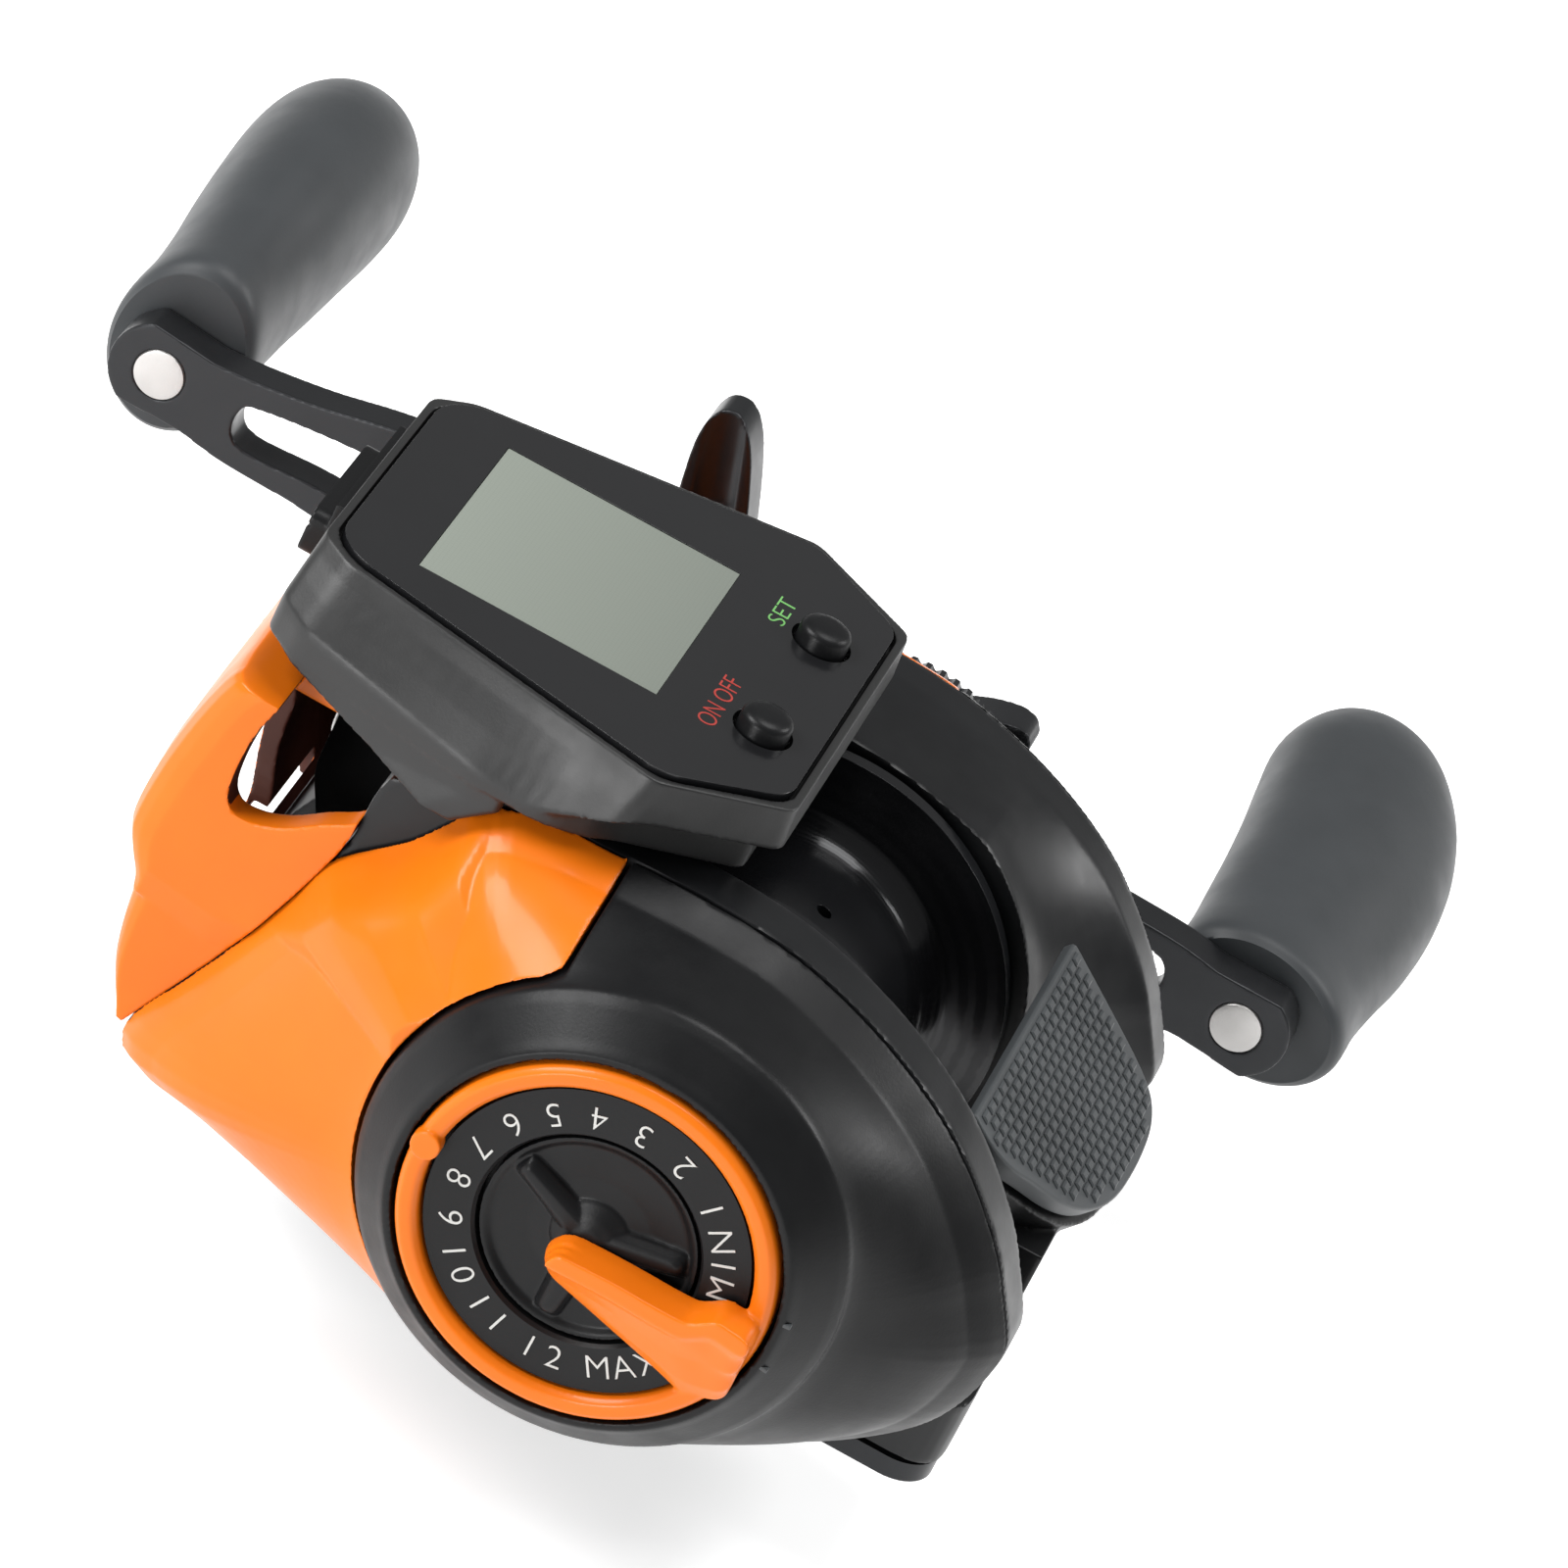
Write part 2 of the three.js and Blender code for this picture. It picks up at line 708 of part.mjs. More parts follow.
function reelFoot() {
  const [x, y] = [footWidth / 2, footLength / 2];
  const corner = (sx, sy, r) => {
    const points = [];
    for (let s = 0; s <= cornerSteps + 1; s += 1) {
      const angle = (s / (cornerSteps + 1)) * (Math.PI / 2);
      const [c, t] = sx * sy > 0 ? [Math.cos(angle), Math.sin(angle)] : [Math.sin(angle), Math.cos(angle)];
      points.push([sx * (x - r + r * c), sy * (y - r + r * t)]);
    }
    return points;
  };
  const outline = [
    ...corner(1, 1, footFrontCorner), ...corner(-1, 1, footFrontCorner),
    ...corner(-1, -1, footRearCorner), ...corner(1, -1, footRearCorner),
  ];
  const plate = prism(outline, 0, footThickness, "z");
  const recess = rivetRecess + rivetHeadThickness + slipGap;
  const holes = rivetPlaces().flatMap(([hx, hy]) => [
    moved(rod(rivetHeadRadius + slipGap, -overrun, recess, smallSides, "z"), hx, hy + spoolAxisForward, 0),
    moved(rod(rivetShankRadius + slipGap, -overrun, footThickness + overrun, smallSides, "z"),
      hx, hy + spoolAxisForward, 0),
  ]);
  return moved(cut(plate, ...holes), 0, -spoolAxisForward, -spoolAxisHeight);
}

function footRivet([x, y]) {
  const bottom = -spoolAxisHeight + rivetRecess;
  const neck = bottom + rivetHeadThickness;
  const top = -spoolAxisHeight + rivetReach;
  const profile = [[0, bottom], [rivetHeadRadius, bottom], [rivetHeadRadius, neck], [rivetShankRadius, neck],
    [rivetShankRadius, top], [0, top]];
  return moved(turned(profile, smallSides, "z"), x, y, 0);
}

// Palm side

// Shares of the dome's depth, and of the way from the collar to the full outline
const domeShares = [[0, 1], [0.28, 0.89], [0.45, 0.75], [0.62, 0.55], [0.8, 0.29], [1, 0]];

function domeRings(seam, side, depth, reach, innerReach, wall) {
  const steps = wall ? domeShares.filter((_, k) => k !== 2 && k !== 4) : domeShares;
  return steps.map(([along, out], k) => {
    const at = seam + side * (along * depth - (k ? wall : overrun * Math.sign(wall)));
    return ringOf(at, (angle) => {
      const full = reach(angle) - (k ? shoulderInset * Math.min(1, along / domeShares[1][0]) : 0);
      const inner = innerReach(angle);
      return inner + (full - inner) * out - wall * 0.7;
    });
  });
}

function palmDome() {
  const collar = () => palmCollarRadius;
  const outer = domeRings(palmSeam, -1, palmDomeDepth, palmReach, collar, 0);
  const top = palmSeam - palmDomeDepth;
  const collarMiddle = (palmCollarRadius + palmCollarLip) / 2;
  outer.push(ringOf(top - palmCollarDepth * 0.55, () => collarMiddle));
  outer.push(ringOf(top - palmCollarDepth, () => palmCollarLip));
  const inner = domeRings(palmSeam, -1, palmDomeDepth, palmReach, collar, coverWall);
  inner.push(ringOf(dialSeat + coverWall, () => dialRingOuter));
  const recess = rod(dialRingOuter + seatGap, dialSeat, dialSeat - palmCollarDepth * 2, largeSides);
  return cut(loft(outer.reverse()), loft(inner.reverse()), recess);
}

function palmFrontMask(gap) {
  const arc = [];
  const radius = palmCollarRadius + seatGap - gap;
  for (let degrees = 52; degrees >= -66; degrees -= 8) {
    const angle = (degrees * Math.PI) / 180;
    arc.push([radius * Math.cos(angle), radius * Math.sin(angle)]);
  }
  const line = palmColourLine - gap;
  const far = noseReach + bodyTop;
  const points = [
    [line, far], [line, arc[0][1] + overrun], ...arc,
    [arc[arc.length - 1][0] - overrun, -far], [far, -far], [far, far],
  ];
  return prism(points.reverse(), palmSeam - palmDomeDepth * 2, palmSeam + overrun);
}

function palmSideCover() {
  const shell = cut(palmDome(), palmFrontMask(shellSplitGap));
  const boss = cut(
    rod(palmBossRadius, dialSeat + coverWall / 2, palmBossRight, mediumSides),
    rod(bearingOuterRadius + slipGap, spoolShaftLeft - seatGap * 2, palmBossRight + overrun, mediumSides),
  );
  return join(shell, boss);
}

function palmFrontShell() {
  return common(palmDome(), palmFrontMask(0));
}

function dialSpan() {
  return [dialSeat - seatGap, dialFace];
}

function numberPlate() {
  const from = dialSeat - slipGap;
  return ring(hubRadius + slipGap, dialRingInner - slipGap, from - numberPlateThickness, from, largeSides);
}

function brakeHub() {
  const from = dialSeat - slipGap;
  const floor = from - hubThickness;
  const top = floor - hubRibHeight;
  const ribs = [];
  for (let k = 0; k < hubRibs; k += 1) {
    const rib = block(top, floor + hubThickness / 2, 0, hubRadius * 0.86, -hubRibWidth / 2, hubRibWidth / 2);
    ribs.push(rib.rotateX((k / hubRibs) * Math.PI * 2 + Math.PI / 2));
  }
  const cap = rod(hubRibWidth * 1.4, top, from, smallSides);
  return join(rod(hubRadius, floor, from, largeSides), cap, ...ribs);
}

function brakeDial() {
  const [seat, face] = dialSpan();
  const edge = (dialRingOuter - dialRingInner) * 0.3;
  const band = turned([
    [dialRingInner, face + edge], [dialRingInner + edge, face], [dialRingOuter - edge, face],
    [dialRingOuter, face + edge], [dialRingOuter, seat], [dialRingInner, seat], [dialRingInner, face + edge],
  ], largeSides);
  const under = dialSeat - slipGap - numberPlateThickness - pointerLift;
  const out = dialRingOuter - edge;
  const outline = rounded([
    [-pointerTail, -pointerRootWidth / 2], [out * 0.55, -pointerRootWidth * 0.6], [out, -pointerTipWidth / 2],
    [out, pointerTipWidth / 2], [out * 0.55, pointerRootWidth * 0.6], [-pointerTail, pointerRootWidth / 2],
  ], pointerRootWidth / 2);
  const fin = prism(outline, under - pointerHeight, under);
  return join(band, fin).rotateX((pointerDegrees * Math.PI) / 180);
}

function magnetCarrier() {
  const right = carrierLeft + carrierThickness;
  const body = ring(carrierInner, carrierOuter, carrierLeft, right - carrierThickness * 0.4, mediumSides);
  const middle = (carrierInner + carrierOuter) / 2;
  const radius = (carrierOuter - carrierInner) * 0.4;
  const magnets = circlePoints(middle, carrierLobes).map(([y, z]) =>
    moved(rod(radius, carrierLeft + carrierThickness / 2, right, smallSides), 0, y, z));
  return join(body, ...magnets);
}

function bearing(left) {
  return ring(spoolShaftRadius + slipGap, bearingOuterRadius, left, left + bearingWidth, mediumSides);
}

// Handle side

function plateauReach(angle) {
  const along = [0, 0.5, 1];
  const radii = [
    castCapRadius + plateauMargin, castCapRadius + plateauMargin / 2, oneWayOuterRadius + oneWayWall * 2,
  ];
  let reach = 0;
  along.forEach((share, k) => {
    const [cy, cz] = [shaftForward * share, shaftHeight * share];
    const forward = cy * Math.cos(angle) + cz * Math.sin(angle);
    const sideways = cy * Math.sin(angle) - cz * Math.cos(angle);
    if (Math.abs(sideways) < radii[k]) {
      reach = Math.max(reach, forward + Math.sqrt(radii[k] * radii[k] - sideways * sideways));
    }
  });
  return reach;
}

const coverSeam = handleSeam + seatGap;
const plateauFace = coverSeam + handleDomeDepth;

function handleDome() {
  const outer = domeRings(coverSeam, 1, handleDomeDepth, handleReach, plateauReach, 0);
  const inner = domeRings(coverSeam, 1, handleDomeDepth, handleReach, plateauReach, coverWall);
  const seats = sideScrewPlaces().map(([y, z]) => {
    const post = moved(rod(screwPostRadius, coverSeam, plateauFace, smallSides), 0, y, z);
    return common(post, loft(outer));
  });
  const bores = sideScrewPlaces().flatMap(([y, z]) => [
    moved(rod(screwHeadRadius + slipGap, sideScrewSeat, plateauFace * 2, smallSides), 0, y, z),
    moved(rod(screwShankRadius + slipGap, coverSeam - overrun, plateauFace, smallSides), 0, y, z),
  ]);
  return cut(join(cut(loft(outer), loft(inner)), ...seats), ...bores);
}

function handleFrontMask(gap) {
  const far = noseReach + bodyTop;
  const low = bodyFront * 0.16;
  const line = handleColourLine - gap;
  const outline = [[line, far], [line, 0], [low - gap, 0], [low - gap, -far], [far, -far], [far, far]];
  const front = prism(outline, coverSeam - overrun, plateauFace * 2);
  const kept = ringOf(0, (angle) => plateauReach(angle) + seatGap - gap).points;
  const keep = prism(kept, coverSeam - overrun * 2, plateauFace * 3);
  return cut(front, keep);
}

function handleSideCover() {
  const shell = cut(handleDome(), handleFrontMask(shellSplitGap));
  const inside = plateauFace - coverWall;
  const castBoss = rod(castBossRadius, inside, castBossRight, mediumSides);
  const shaftBoss = moved(
    rod(shaftBossRadius, inside, starInner - seatGap, smallSides), 0, shaftForward, shaftHeight,
  );
  const oneWaySeat = moved(
    rod(oneWayOuterRadius + oneWayWall, oneWayLeft(), plateauFace - coverWall / 2, mediumSides),
    0, shaftForward, shaftHeight,
  );
  return cut(
    join(shell, castBoss, shaftBoss, oneWaySeat),
    rod(bearingOuterRadius + slipGap, coverSeam, castBossRight + overrun, mediumSides),
    moved(rod(driveSleeveRadius + slipGap, coverSeam, starInner, mediumSides), 0, shaftForward, shaftHeight),
    moved(rod(oneWayOuterRadius + slipGap, coverSeam, inside, mediumSides), 0, shaftForward, shaftHeight),
  );
}

function oneWayLeft() {
  return plateauFace - coverWall - oneWayLength - slipGap;
}

function oneWayBearing() {
  const left = oneWayLeft();
  return moved(
    ring(driveSleeveRadius + slipGap, oneWayOuterRadius, left, left + oneWayLength, mediumSides),
    0, shaftForward, shaftHeight,
  );
}

function handleFrontShell() {
  return common(handleDome(), handleFrontMask(0));
}

function sideScrew([y, z]) {
  const top = sideScrewSeat + slipGap + screwHeadThickness;
  const profile = [
    [0, sideScrewSeat - sideScrewReach], [screwShankRadius, sideScrewSeat - sideScrewReach],
    [screwShankRadius, sideScrewSeat + slipGap], [screwHeadRadius, sideScrewSeat + slipGap],
    [screwHeadRadius, top], [0, top],
  ];
  return moved(turned(profile, smallSides), 0, y, z);
}

function castControlCap() {
  const points = [];
  for (let i = 0; i < castKnurls * 2; i += 1) {
    const angle = (i / (castKnurls * 2)) * Math.PI * 2;
    const radius = castCapRadius - (i % 2) * castKnurlDepth;
    points.push([radius * Math.cos(angle), radius * Math.sin(angle)]);
  }
  const chamfer = castCapRight - castCapFloor * 0.4;
  const skirt = prism(points, castCapLeft, chamfer);
  const crown = turned([
    [0, chamfer - overrun], [castCapRadius - castKnurlDepth * 2, chamfer - overrun],
    [castCapRadius - castKnurlDepth * 2, chamfer], [castCapRadius - castCapFloor * 0.6, castCapRight],
    [0, castCapRight],
  ], largeSides);
  const floor = castCapRight - castCapFloor;
  const hollow = rod(castBossRadius + runningGap, castCapLeft - overrun, floor, mediumSides);
  return cut(join(skirt, crown), hollow);
}

// Nose cover

// Fore and aft reach, and height, as shares of the nose's reach, top and bottom
const noseOuterShares = [
  [0.935, 1], [0.946, 0.967], [0.968, 0.8], [0.99, 0.536], [1, 0.28], [0.985, 0.08], [0.957, -0.06],
  [0.94, -0.4], [0.926, -0.587], [0.908, -0.714], [0.888, -0.82], [0.876, -0.89],
];
// Shares across the width from the middle to each end, and of the bulge kept there
const noseBulgeShares = [
  [-1, 0.8], [-0.97, 0.93], [-0.91, 0.985], [0, 1], [0.91, 0.985], [0.97, 0.93], [1, 0.8],
];
const windowShares = [
  [0.635, 1.02], [0.645, 0.72], [0.705, 0.6], [0.759, 0.497], [0.805, 0.451], [0.838, 0.451],
  [0.856, 0.497], [0.864, 0.614], [0.859, 0.837], [0.84, 1.02],
];

function noseSection(inset, opening) {
  const front = noseOuterShares.map(([along, up]) => {
    const height = up * (up < 0 ? noseBottom : noseTop);
    const [y, z] = [along * noseReach, height];
    const centre = [noseReach * 0.75, 0];
    const length = Math.hypot(y - centre[0], z - centre[1]);
    return [y + ((centre[0] - y) * inset) / length, z + ((centre[1] - z) * inset) / length];
  });
  const top = noseTop - inset;
  const backLine = [-noseBottom * 0.9, 0, bodyTop * 0.36, bodyTop * 0.7].map((z) => [
    seamForward(z) + seatGap * 1.2 - opening, z,
  ]);
  return [[noseRear - opening, top], ...front, ...backLine];
}

function noseLoft(inset, opening, width) {
  const middle = (palmSeam + handleSeam) / 2;
  const half = (handleSeam - palmSeam) / 2 - width;
  return loft(noseBulgeShares.map(([across, bulge]) => ({
    at: middle + across * half,
    points: noseSection(inset, opening).map(([y, z], k) => {
      const seam = seamForward(z);
      return k > 0 && k <= noseOuterShares.length ? [seam + (y - seam) * bulge, z] : [y, z];
    }).reverse(),
  })));
}

function windowMask() {
  const points = windowShares.map(([along, up]) => [along * noseReach, up * noseTop]);
  return points;
}

function noseCover() {
  const shell = cut(noseLoft(0, 0, 0), noseLoft(noseWall, overrun * 2, noseWall));
  const middle = (palmSeam + handleSeam) / 2;
  const clear = (handleSeam - palmSeam) / 2 - noseWall * 2.5;
  const mouth = prism(rounded([
    [middle - apertureHalfWidth, apertureBottom], [middle + apertureHalfWidth, apertureBottom],
    [middle + apertureHalfWidth * 0.8, apertureTop], [middle - apertureHalfWidth * 0.8, apertureTop],
  ], apertureHalfWidth * 0.3), 0, noseReach, "z");
  const upright = new THREE.Matrix4().makeBasis(
    new THREE.Vector3(1, 0, 0), new THREE.Vector3(0, 0, 1), new THREE.Vector3(0, -1, 0),
  );
  const mouthTool = mouth.applyMatrix4(upright).translate(0, noseReach * 1.7, 0);
  const bottomGap = block(middle - clear, middle + clear, noseReach * 0.78, noseReach * 0.885,
    -noseBottom - overrun * 3, -noseBottom * 0.7);
  const windows = prism(windowMask(), palmSeam - overrun, palmSeam + noseWall * 3);
  const farWindows = prism(windowMask(), handleSeam - noseWall * 3, handleSeam + overrun);
  return cut(shell, mouthTool, bottomGap, windows, farWindows);
}

// Spool group

function spool() {
  const bore = spoolShaftRadius + slipGap;
  const [l, r, t, f] = [spoolLeft, spoolRight, spoolFlangeThickness, spoolFillet];
  const arbor = spoolArborRadius;
  return turned([
    [bore, l], [spoolFlangeRadius, l], [spoolFlangeRadius, l + t], [arbor + f, l + t + f * 0.4],
    [arbor, l + t + f * 1.5], [arbor, r - t - f * 1.5], [arbor + f, r - t - f * 0.4],
    [spoolFlangeRadius, r - t], [spoolFlangeRadius, r], [bore, r], [bore, l],
  ], largeSides);
}

function brakeRotor() {
  const right = spoolLeft - seatGap;
  const left = right - rotorDepth;
  const bore = spoolShaftRadius + slipGap;
  return turned([
    [bore, right], [rotorOuterRadius, right], [rotorOuterRadius, left], [rotorOuterRadius - rotorWall, left],
    [rotorOuterRadius - rotorWall, right - rotorWall], [bore, right - rotorWall], [bore, right],
  ], mediumSides);
}

function gearPoints(teeth, module) {
  const pitch = (teeth * module) / 2;
  const outer = pitch + module * toothAddendumShare;
  const root = pitch - module * toothDedendumShare;
  const step = (Math.PI * 2) / teeth;
  const points = [];
  const flanks = [
    [root, -toothRootShare], [outer, -toothTipShare], [outer, toothTipShare], [root, toothRootShare],
  ];
  for (let k = 0; k < teeth; k += 1) {
    for (const [radius, share] of flanks) {
      const angle = (k + share) * step;
      points.push([radius * Math.cos(angle), radius * Math.sin(angle)]);
    }
  }
  return points;
}

function gear(teeth, module, bore, from, to) {
  return prism(gearPoints(teeth, module), from, to, "x", [circlePoints(bore, smallSides).reverse()]);
}

function pinion() {
  const right = driveGearLeft + driveGearWidth + seatGap;
  const bore = spoolShaftRadius + slipGap;
  const toothed = gear(pinionTeeth, driveModule, bore, driveGearLeft - slipGap, right);
  const meshTurn = Math.PI / pinionTeeth;
  const towards = Math.atan2(shaftHeight, shaftForward);
  toothed.rotateX(towards + meshTurn);
  const neckEnd = right + pinionNeckWidth;
  const neck = ring(bore, pinionNeckRadius, right - overrun, neckEnd, smallSides);
  const collar = ring(bore, pinionCollarRadius, neckEnd, neckEnd + pinionCollarWidth, smallSides);
  return join(toothed, neck, collar);
}

// Handle group, built about the drive shaft

function driveShaft() {
  const end = armInner + armThickness + seatGap + nutThickness;
  const step = armInner - seatGap;
  return turned([
    [0, driveShaftLeft], [driveShaftRadius, driveShaftLeft], [driveShaftRadius, driveSleeveLeft],
    [driveSleeveRadius, driveSleeveLeft], [driveSleeveRadius, step], [driveThreadRadius, step],
    [driveThreadRadius, end], [0, end],
  ], smallSides);
}

function driveGear() {
  const bore = driveShaftRadius + slipGap;
  const blank = gear(driveTeeth, driveModule, bore, driveGearLeft, driveGearLeft + driveGearWidth);
  return blank.rotateX(Math.atan2(-shaftHeight, -shaftForward));
}

function crossGear() {
  const bore = driveShaftRadius + slipGap;
  const wheel = gear(crossTeeth, crossModule, bore, crossGearLeft, crossGearLeft + crossGearWidth);
  return wheel.rotateX(Math.atan2(wormHeight - shaftHeight, wormForward - shaftForward));
}

function dragWasher(k) {
  const left = driveGearLeft + driveGearWidth + seatGap + k * (dragWasherThickness + slipGap);
  const outer = dragWasherRadius - k * seatGap;
  return ring(driveShaftRadius + slipGap, outer, left, left + dragWasherThickness, mediumSides);
}

// One arm of the star: distance from the axis and half width, as shares of the tip radius
const starShares = [[0.34, 0.17], [0.55, 0.115], [0.78, 0.093], [0.92, 0.07], [0.975, 0.045], [0.998, 0.015]];

function starOutline() {
  const points = [];
  for (let k = 0; k < starArms; k += 1) {
    const angle = (k / starArms) * Math.PI * 2 + (starTurnDegrees * Math.PI) / 180;
    const [c, s] = [Math.cos(angle), Math.sin(angle)];
    const sides = [...starShares.map(([r, w]) => [r, -w]), ...[...starShares].reverse()];
    for (const [r, w] of sides) {
      const [along, across] = [r * starTipRadius, w * starTipRadius];
      points.push([along * c - across * s, along * s + across * c]);
    }
  }
  return points;
}

function starDrag() {
  const arms = prism(starOutline(), starInner, starInner + starArmThickness);
  const paddleRight = starInner + starPaddleThickness;
  const paddles = common(
    prism(starOutline(), starInner, paddleRight),
    ring(starTipRadius * 0.66, starTipRadius + overrun, starInner, paddleRight, largeSides),
  );
  const hub = rod(starHubRadius, starInner, starInner + starHubLength, mediumSides);
  const web = rod(starTipRadius * 0.33, starInner, starInner + starArmThickness, mediumSides);
  return cut(join(arms, paddles, hub, web), rod(driveSleeveRadius + slipGap, starInner - overrun,
    starInner + starHubLength + overrun, mediumSides));
}

function shaftCollar() {
  const left = starInner + starHubLength + seatGap;
  return ring(driveSleeveRadius + slipGap, collarRadius, left, armInner - seatGap, mediumSides);
}

// Lower and upper edges of one arm, as shares of its reach, from the knob end to the hub
const armLowerShares = [
  [0.93, -0.07], [0.86, -0.078], [0.68, -0.078], [0.45, -0.105], [0.2, -0.15], [0, -0.17],
];
const armUpperShares = [
  [0, 0.17], [0.2, 0.165], [0.42, 0.175], [0.62, 0.14], [0.75, 0.103], [0.86, 0.08], [0.93, 0.07],
];
const armSlotShares = [
  [0.86, -0.01], [0.84, -0.037], [0.68, -0.028], [0.45, -0.04], [0.34, -0.045], [0.33, 0.06],
  [0.45, 0.085], [0.68, 0.067], [0.83, 0.04], [0.855, 0.03],
];

function armHalf() {
  const end = [];
  for (let degrees = 60; degrees >= -60; degrees -= 20) {
    const angle = (degrees * Math.PI) / 180;
    end.push([armReach + armEndRadius * Math.cos(angle), armEndRadius * Math.sin(angle)]);
  }
  const scale = ([u, v]) => [u * armReach, v * armReach];
  const lower = armLowerShares.map(scale).reverse();
  const upper = armUpperShares.map(scale).reverse();
  const outline = [...lower, ...end.reverse(), ...upper];
  return prism(outline, armInner, armInner + armThickness, "x");
}

function handleArm() {
  const scale = ([u, v]) => [u * armReach, v * armReach];
  const [slotLeft, slotRight] = [armInner - overrun, armInner + armThickness + overrun];
  const slot = () => prism(armSlotShares.map(scale), slotLeft, slotRight, "x");
  const hub = rod(armHubRadius, armInner, armInner + armThickness, mediumSides);
  const pinHole = (side) =>
    moved(rod(pinHeadRadius + slipGap, armInner - overrun, armInner + armThickness + overrun, smallSides), 0,
      side * armReach, 0);
  return cut(
    join(hub, armHalf(), armHalf().rotateX(Math.PI)),
    slot(), slot().rotateX(Math.PI), pinHole(1), pinHole(-1),
    rod(driveThreadRadius + slipGap, armInner - overrun, armInner + armThickness + overrun, smallSides),
  );
}

function handleNut() {
  const left = armInner + armThickness + slipGap;
  const hexagon = circlePoints(nutAcross, 6);
  const bore = circlePoints(driveThreadRadius + slipGap, smallSides).reverse();
  return prism(hexagon, left, left + nutThickness, "x", [bore]);
}

function nutRetainer() {
  const left = armInner + armThickness + seatGap * 2 + nutThickness;
  const [l, w] = [retainerLength / 2 + nutAcross / 2, retainerWidth / 2];
  const outline = rounded([[-nutAcross, -w], [l, -w], [l, w], [-nutAcross, w]], w);
  return prism(outline, left, left + retainerThickness, "x");
}

function knobPin() {
  const head = armInner - pinHeadProud;
  const end = knobStart() + knobLength - knobEndWall;
  return turned([
    [0, head], [pinHeadRadius, head], [pinHeadRadius, armInner + slipGap - pinHeadProud],
    [pinRadius, armInner + slipGap], [pinRadius, end], [0, end],
  ], smallSides);
}

function knobStart() {
  return armInner + armThickness + seatGap;
}

// Along the knob's length, then its slim side, full side and half thickness, as shares
const knobShares = [
  [0, 0.76, 0.86, 0.78], [0.04, 0.82, 0.95, 0.82], [0.14, 0.8, 0.97, 0.8], [0.27, 0.8, 1.05, 0.83],
  [0.4, 0.8, 1.15, 0.9], [0.55, 0.82, 1.2, 0.96], [0.69, 0.86, 1.17, 1], [0.8, 0.9, 1.05, 1],
  [0.9, 0.8, 0.8, 0.84], [0.965, 0.55, 0.5, 0.55], [1, 0.2, 0.18, 0.2],
];

function knob() {
  const rings = knobShares.map(([along, slim, full, thick]) => {
    const [middle, half] = [(full - slim) / 2, (full + slim) / 2];
    return {
      at: knobStart() + along * knobLength,
      points: circlePoints(1, mediumSides).map(([u, v]) => [
        (middle + u * half) * knobHalfWidth, v * thick * knobHalfThickness,
      ]),
    };
  });
  const end = knobStart() + knobLength - knobEndWall + slipGap;
  return cut(loft(rings), rod(pinRadius + seatGap, knobStart() - overrun, end, smallSides));
}

// Level wind

function wormShaft() {
  const [l, r] = [palmPlateInner + runningGap, handlePlateInner - runningGap];
  return turned([
    [0, wormLeftEnd], [wormJournalRadius, wormLeftEnd], [wormJournalRadius, l], [wormRadius, l],
    [wormRadius, r], [wormJournalRadius, r], [wormJournalRadius, wormShaftEnd], [0, wormShaftEnd],
  ], smallSides);
}

function wormGear() {
  const bore = wormJournalRadius + slipGap;
  const wheel = gear(wormTeeth, crossModule, bore, crossGearLeft, crossGearLeft + crossGearWidth);
  const towards = Math.atan2(shaftHeight - wormHeight, shaftForward - wormForward);
  return wheel.rotateX(towards + Math.PI / wormTeeth);
}

function guideRod() {
  return moved(rod(guideRodRadius, wormLeftEnd, handlePlateInner + handleWall - slipGap, smallSides), 0,
    guideRodForward, guideRodHeight);
}

function carriageCentre() {
  return (spoolLeft + spoolRight) / 2;
}

function lineGuide() {
  const eyeRear = guideRodForward + guideRodRadius;
  const wall = eyeOuter + slipGap + overrun;
  const back = wormForward - wormRadius - overrun * 1.4;
  const outline = [
    [back, carriageBottom], [wormForward + wormRadius + overrun, carriageBottom],
    [carriageFront - overrun * 2, 0], [carriageFront, eyeHeight - wall], [carriageFront, carriageTop],
    [eyeRear, carriageTop],
    [eyeRear - overrun * 3, guideRodHeight + guideRodRadius + overrun], [back, 0],
  ];
  const [l, r] = [carriageCentre() - carriageWidth / 2, carriageCentre() + carriageWidth / 2];
  const body = prism(rounded(outline, overrun), l, r);
  const eye = turned([
    [0, eyeRear - overrun * 4], [eyeOuter + slipGap, eyeRear - overrun * 4],
    [eyeOuter + slipGap, carriageFront + overrun], [0, carriageFront + overrun],
  ], mediumSides, "y");
  const [capLow, capHigh] = [carriageBottom - overrun, carriageBottom + overrun];
  const cap = rod(pawlCapRadius + slipGap, capLow, capHigh, smallSides, "z");
  const rodBore = rod(guideRodRadius + slipGap, l - overrun, r + overrun, smallSides);
  return cut(
    body, moved(eye, carriageCentre(), 0, eyeHeight),
    moved(rod(wormRadius + slipGap, l - overrun, r + overrun, smallSides), 0, wormForward, wormHeight),
    moved(rodBore, 0, guideRodForward, guideRodHeight),
    moved(cap, carriageCentre(), wormForward, 0),
  );
}

function lineRing() {
  const rear = guideRodForward + guideRodRadius + overrun / 2;
  const front = carriageFront + seatGap;
  const lip = (eyeOuter - eyeBore) * 0.35;
  return moved(turned([
    [eyeBore, rear + lip], [eyeBore + lip, rear], [eyeOuter, rear], [eyeOuter, front], [eyeBore + lip, front],
    [eyeBore, front - lip], [eyeBore, rear + lip],
  ], mediumSides, "y"), carriageCentre(), 0, eyeHeight);
}

function pawlCap() {
  const top = carriageBottom + overrun - slipGap;
  const cap = rod(pawlCapRadius, top - pawlCapHeight, top, smallSides, "z");
  return moved(cap, carriageCentre(), wormForward, 0);
}

// Thumb bar and clutch

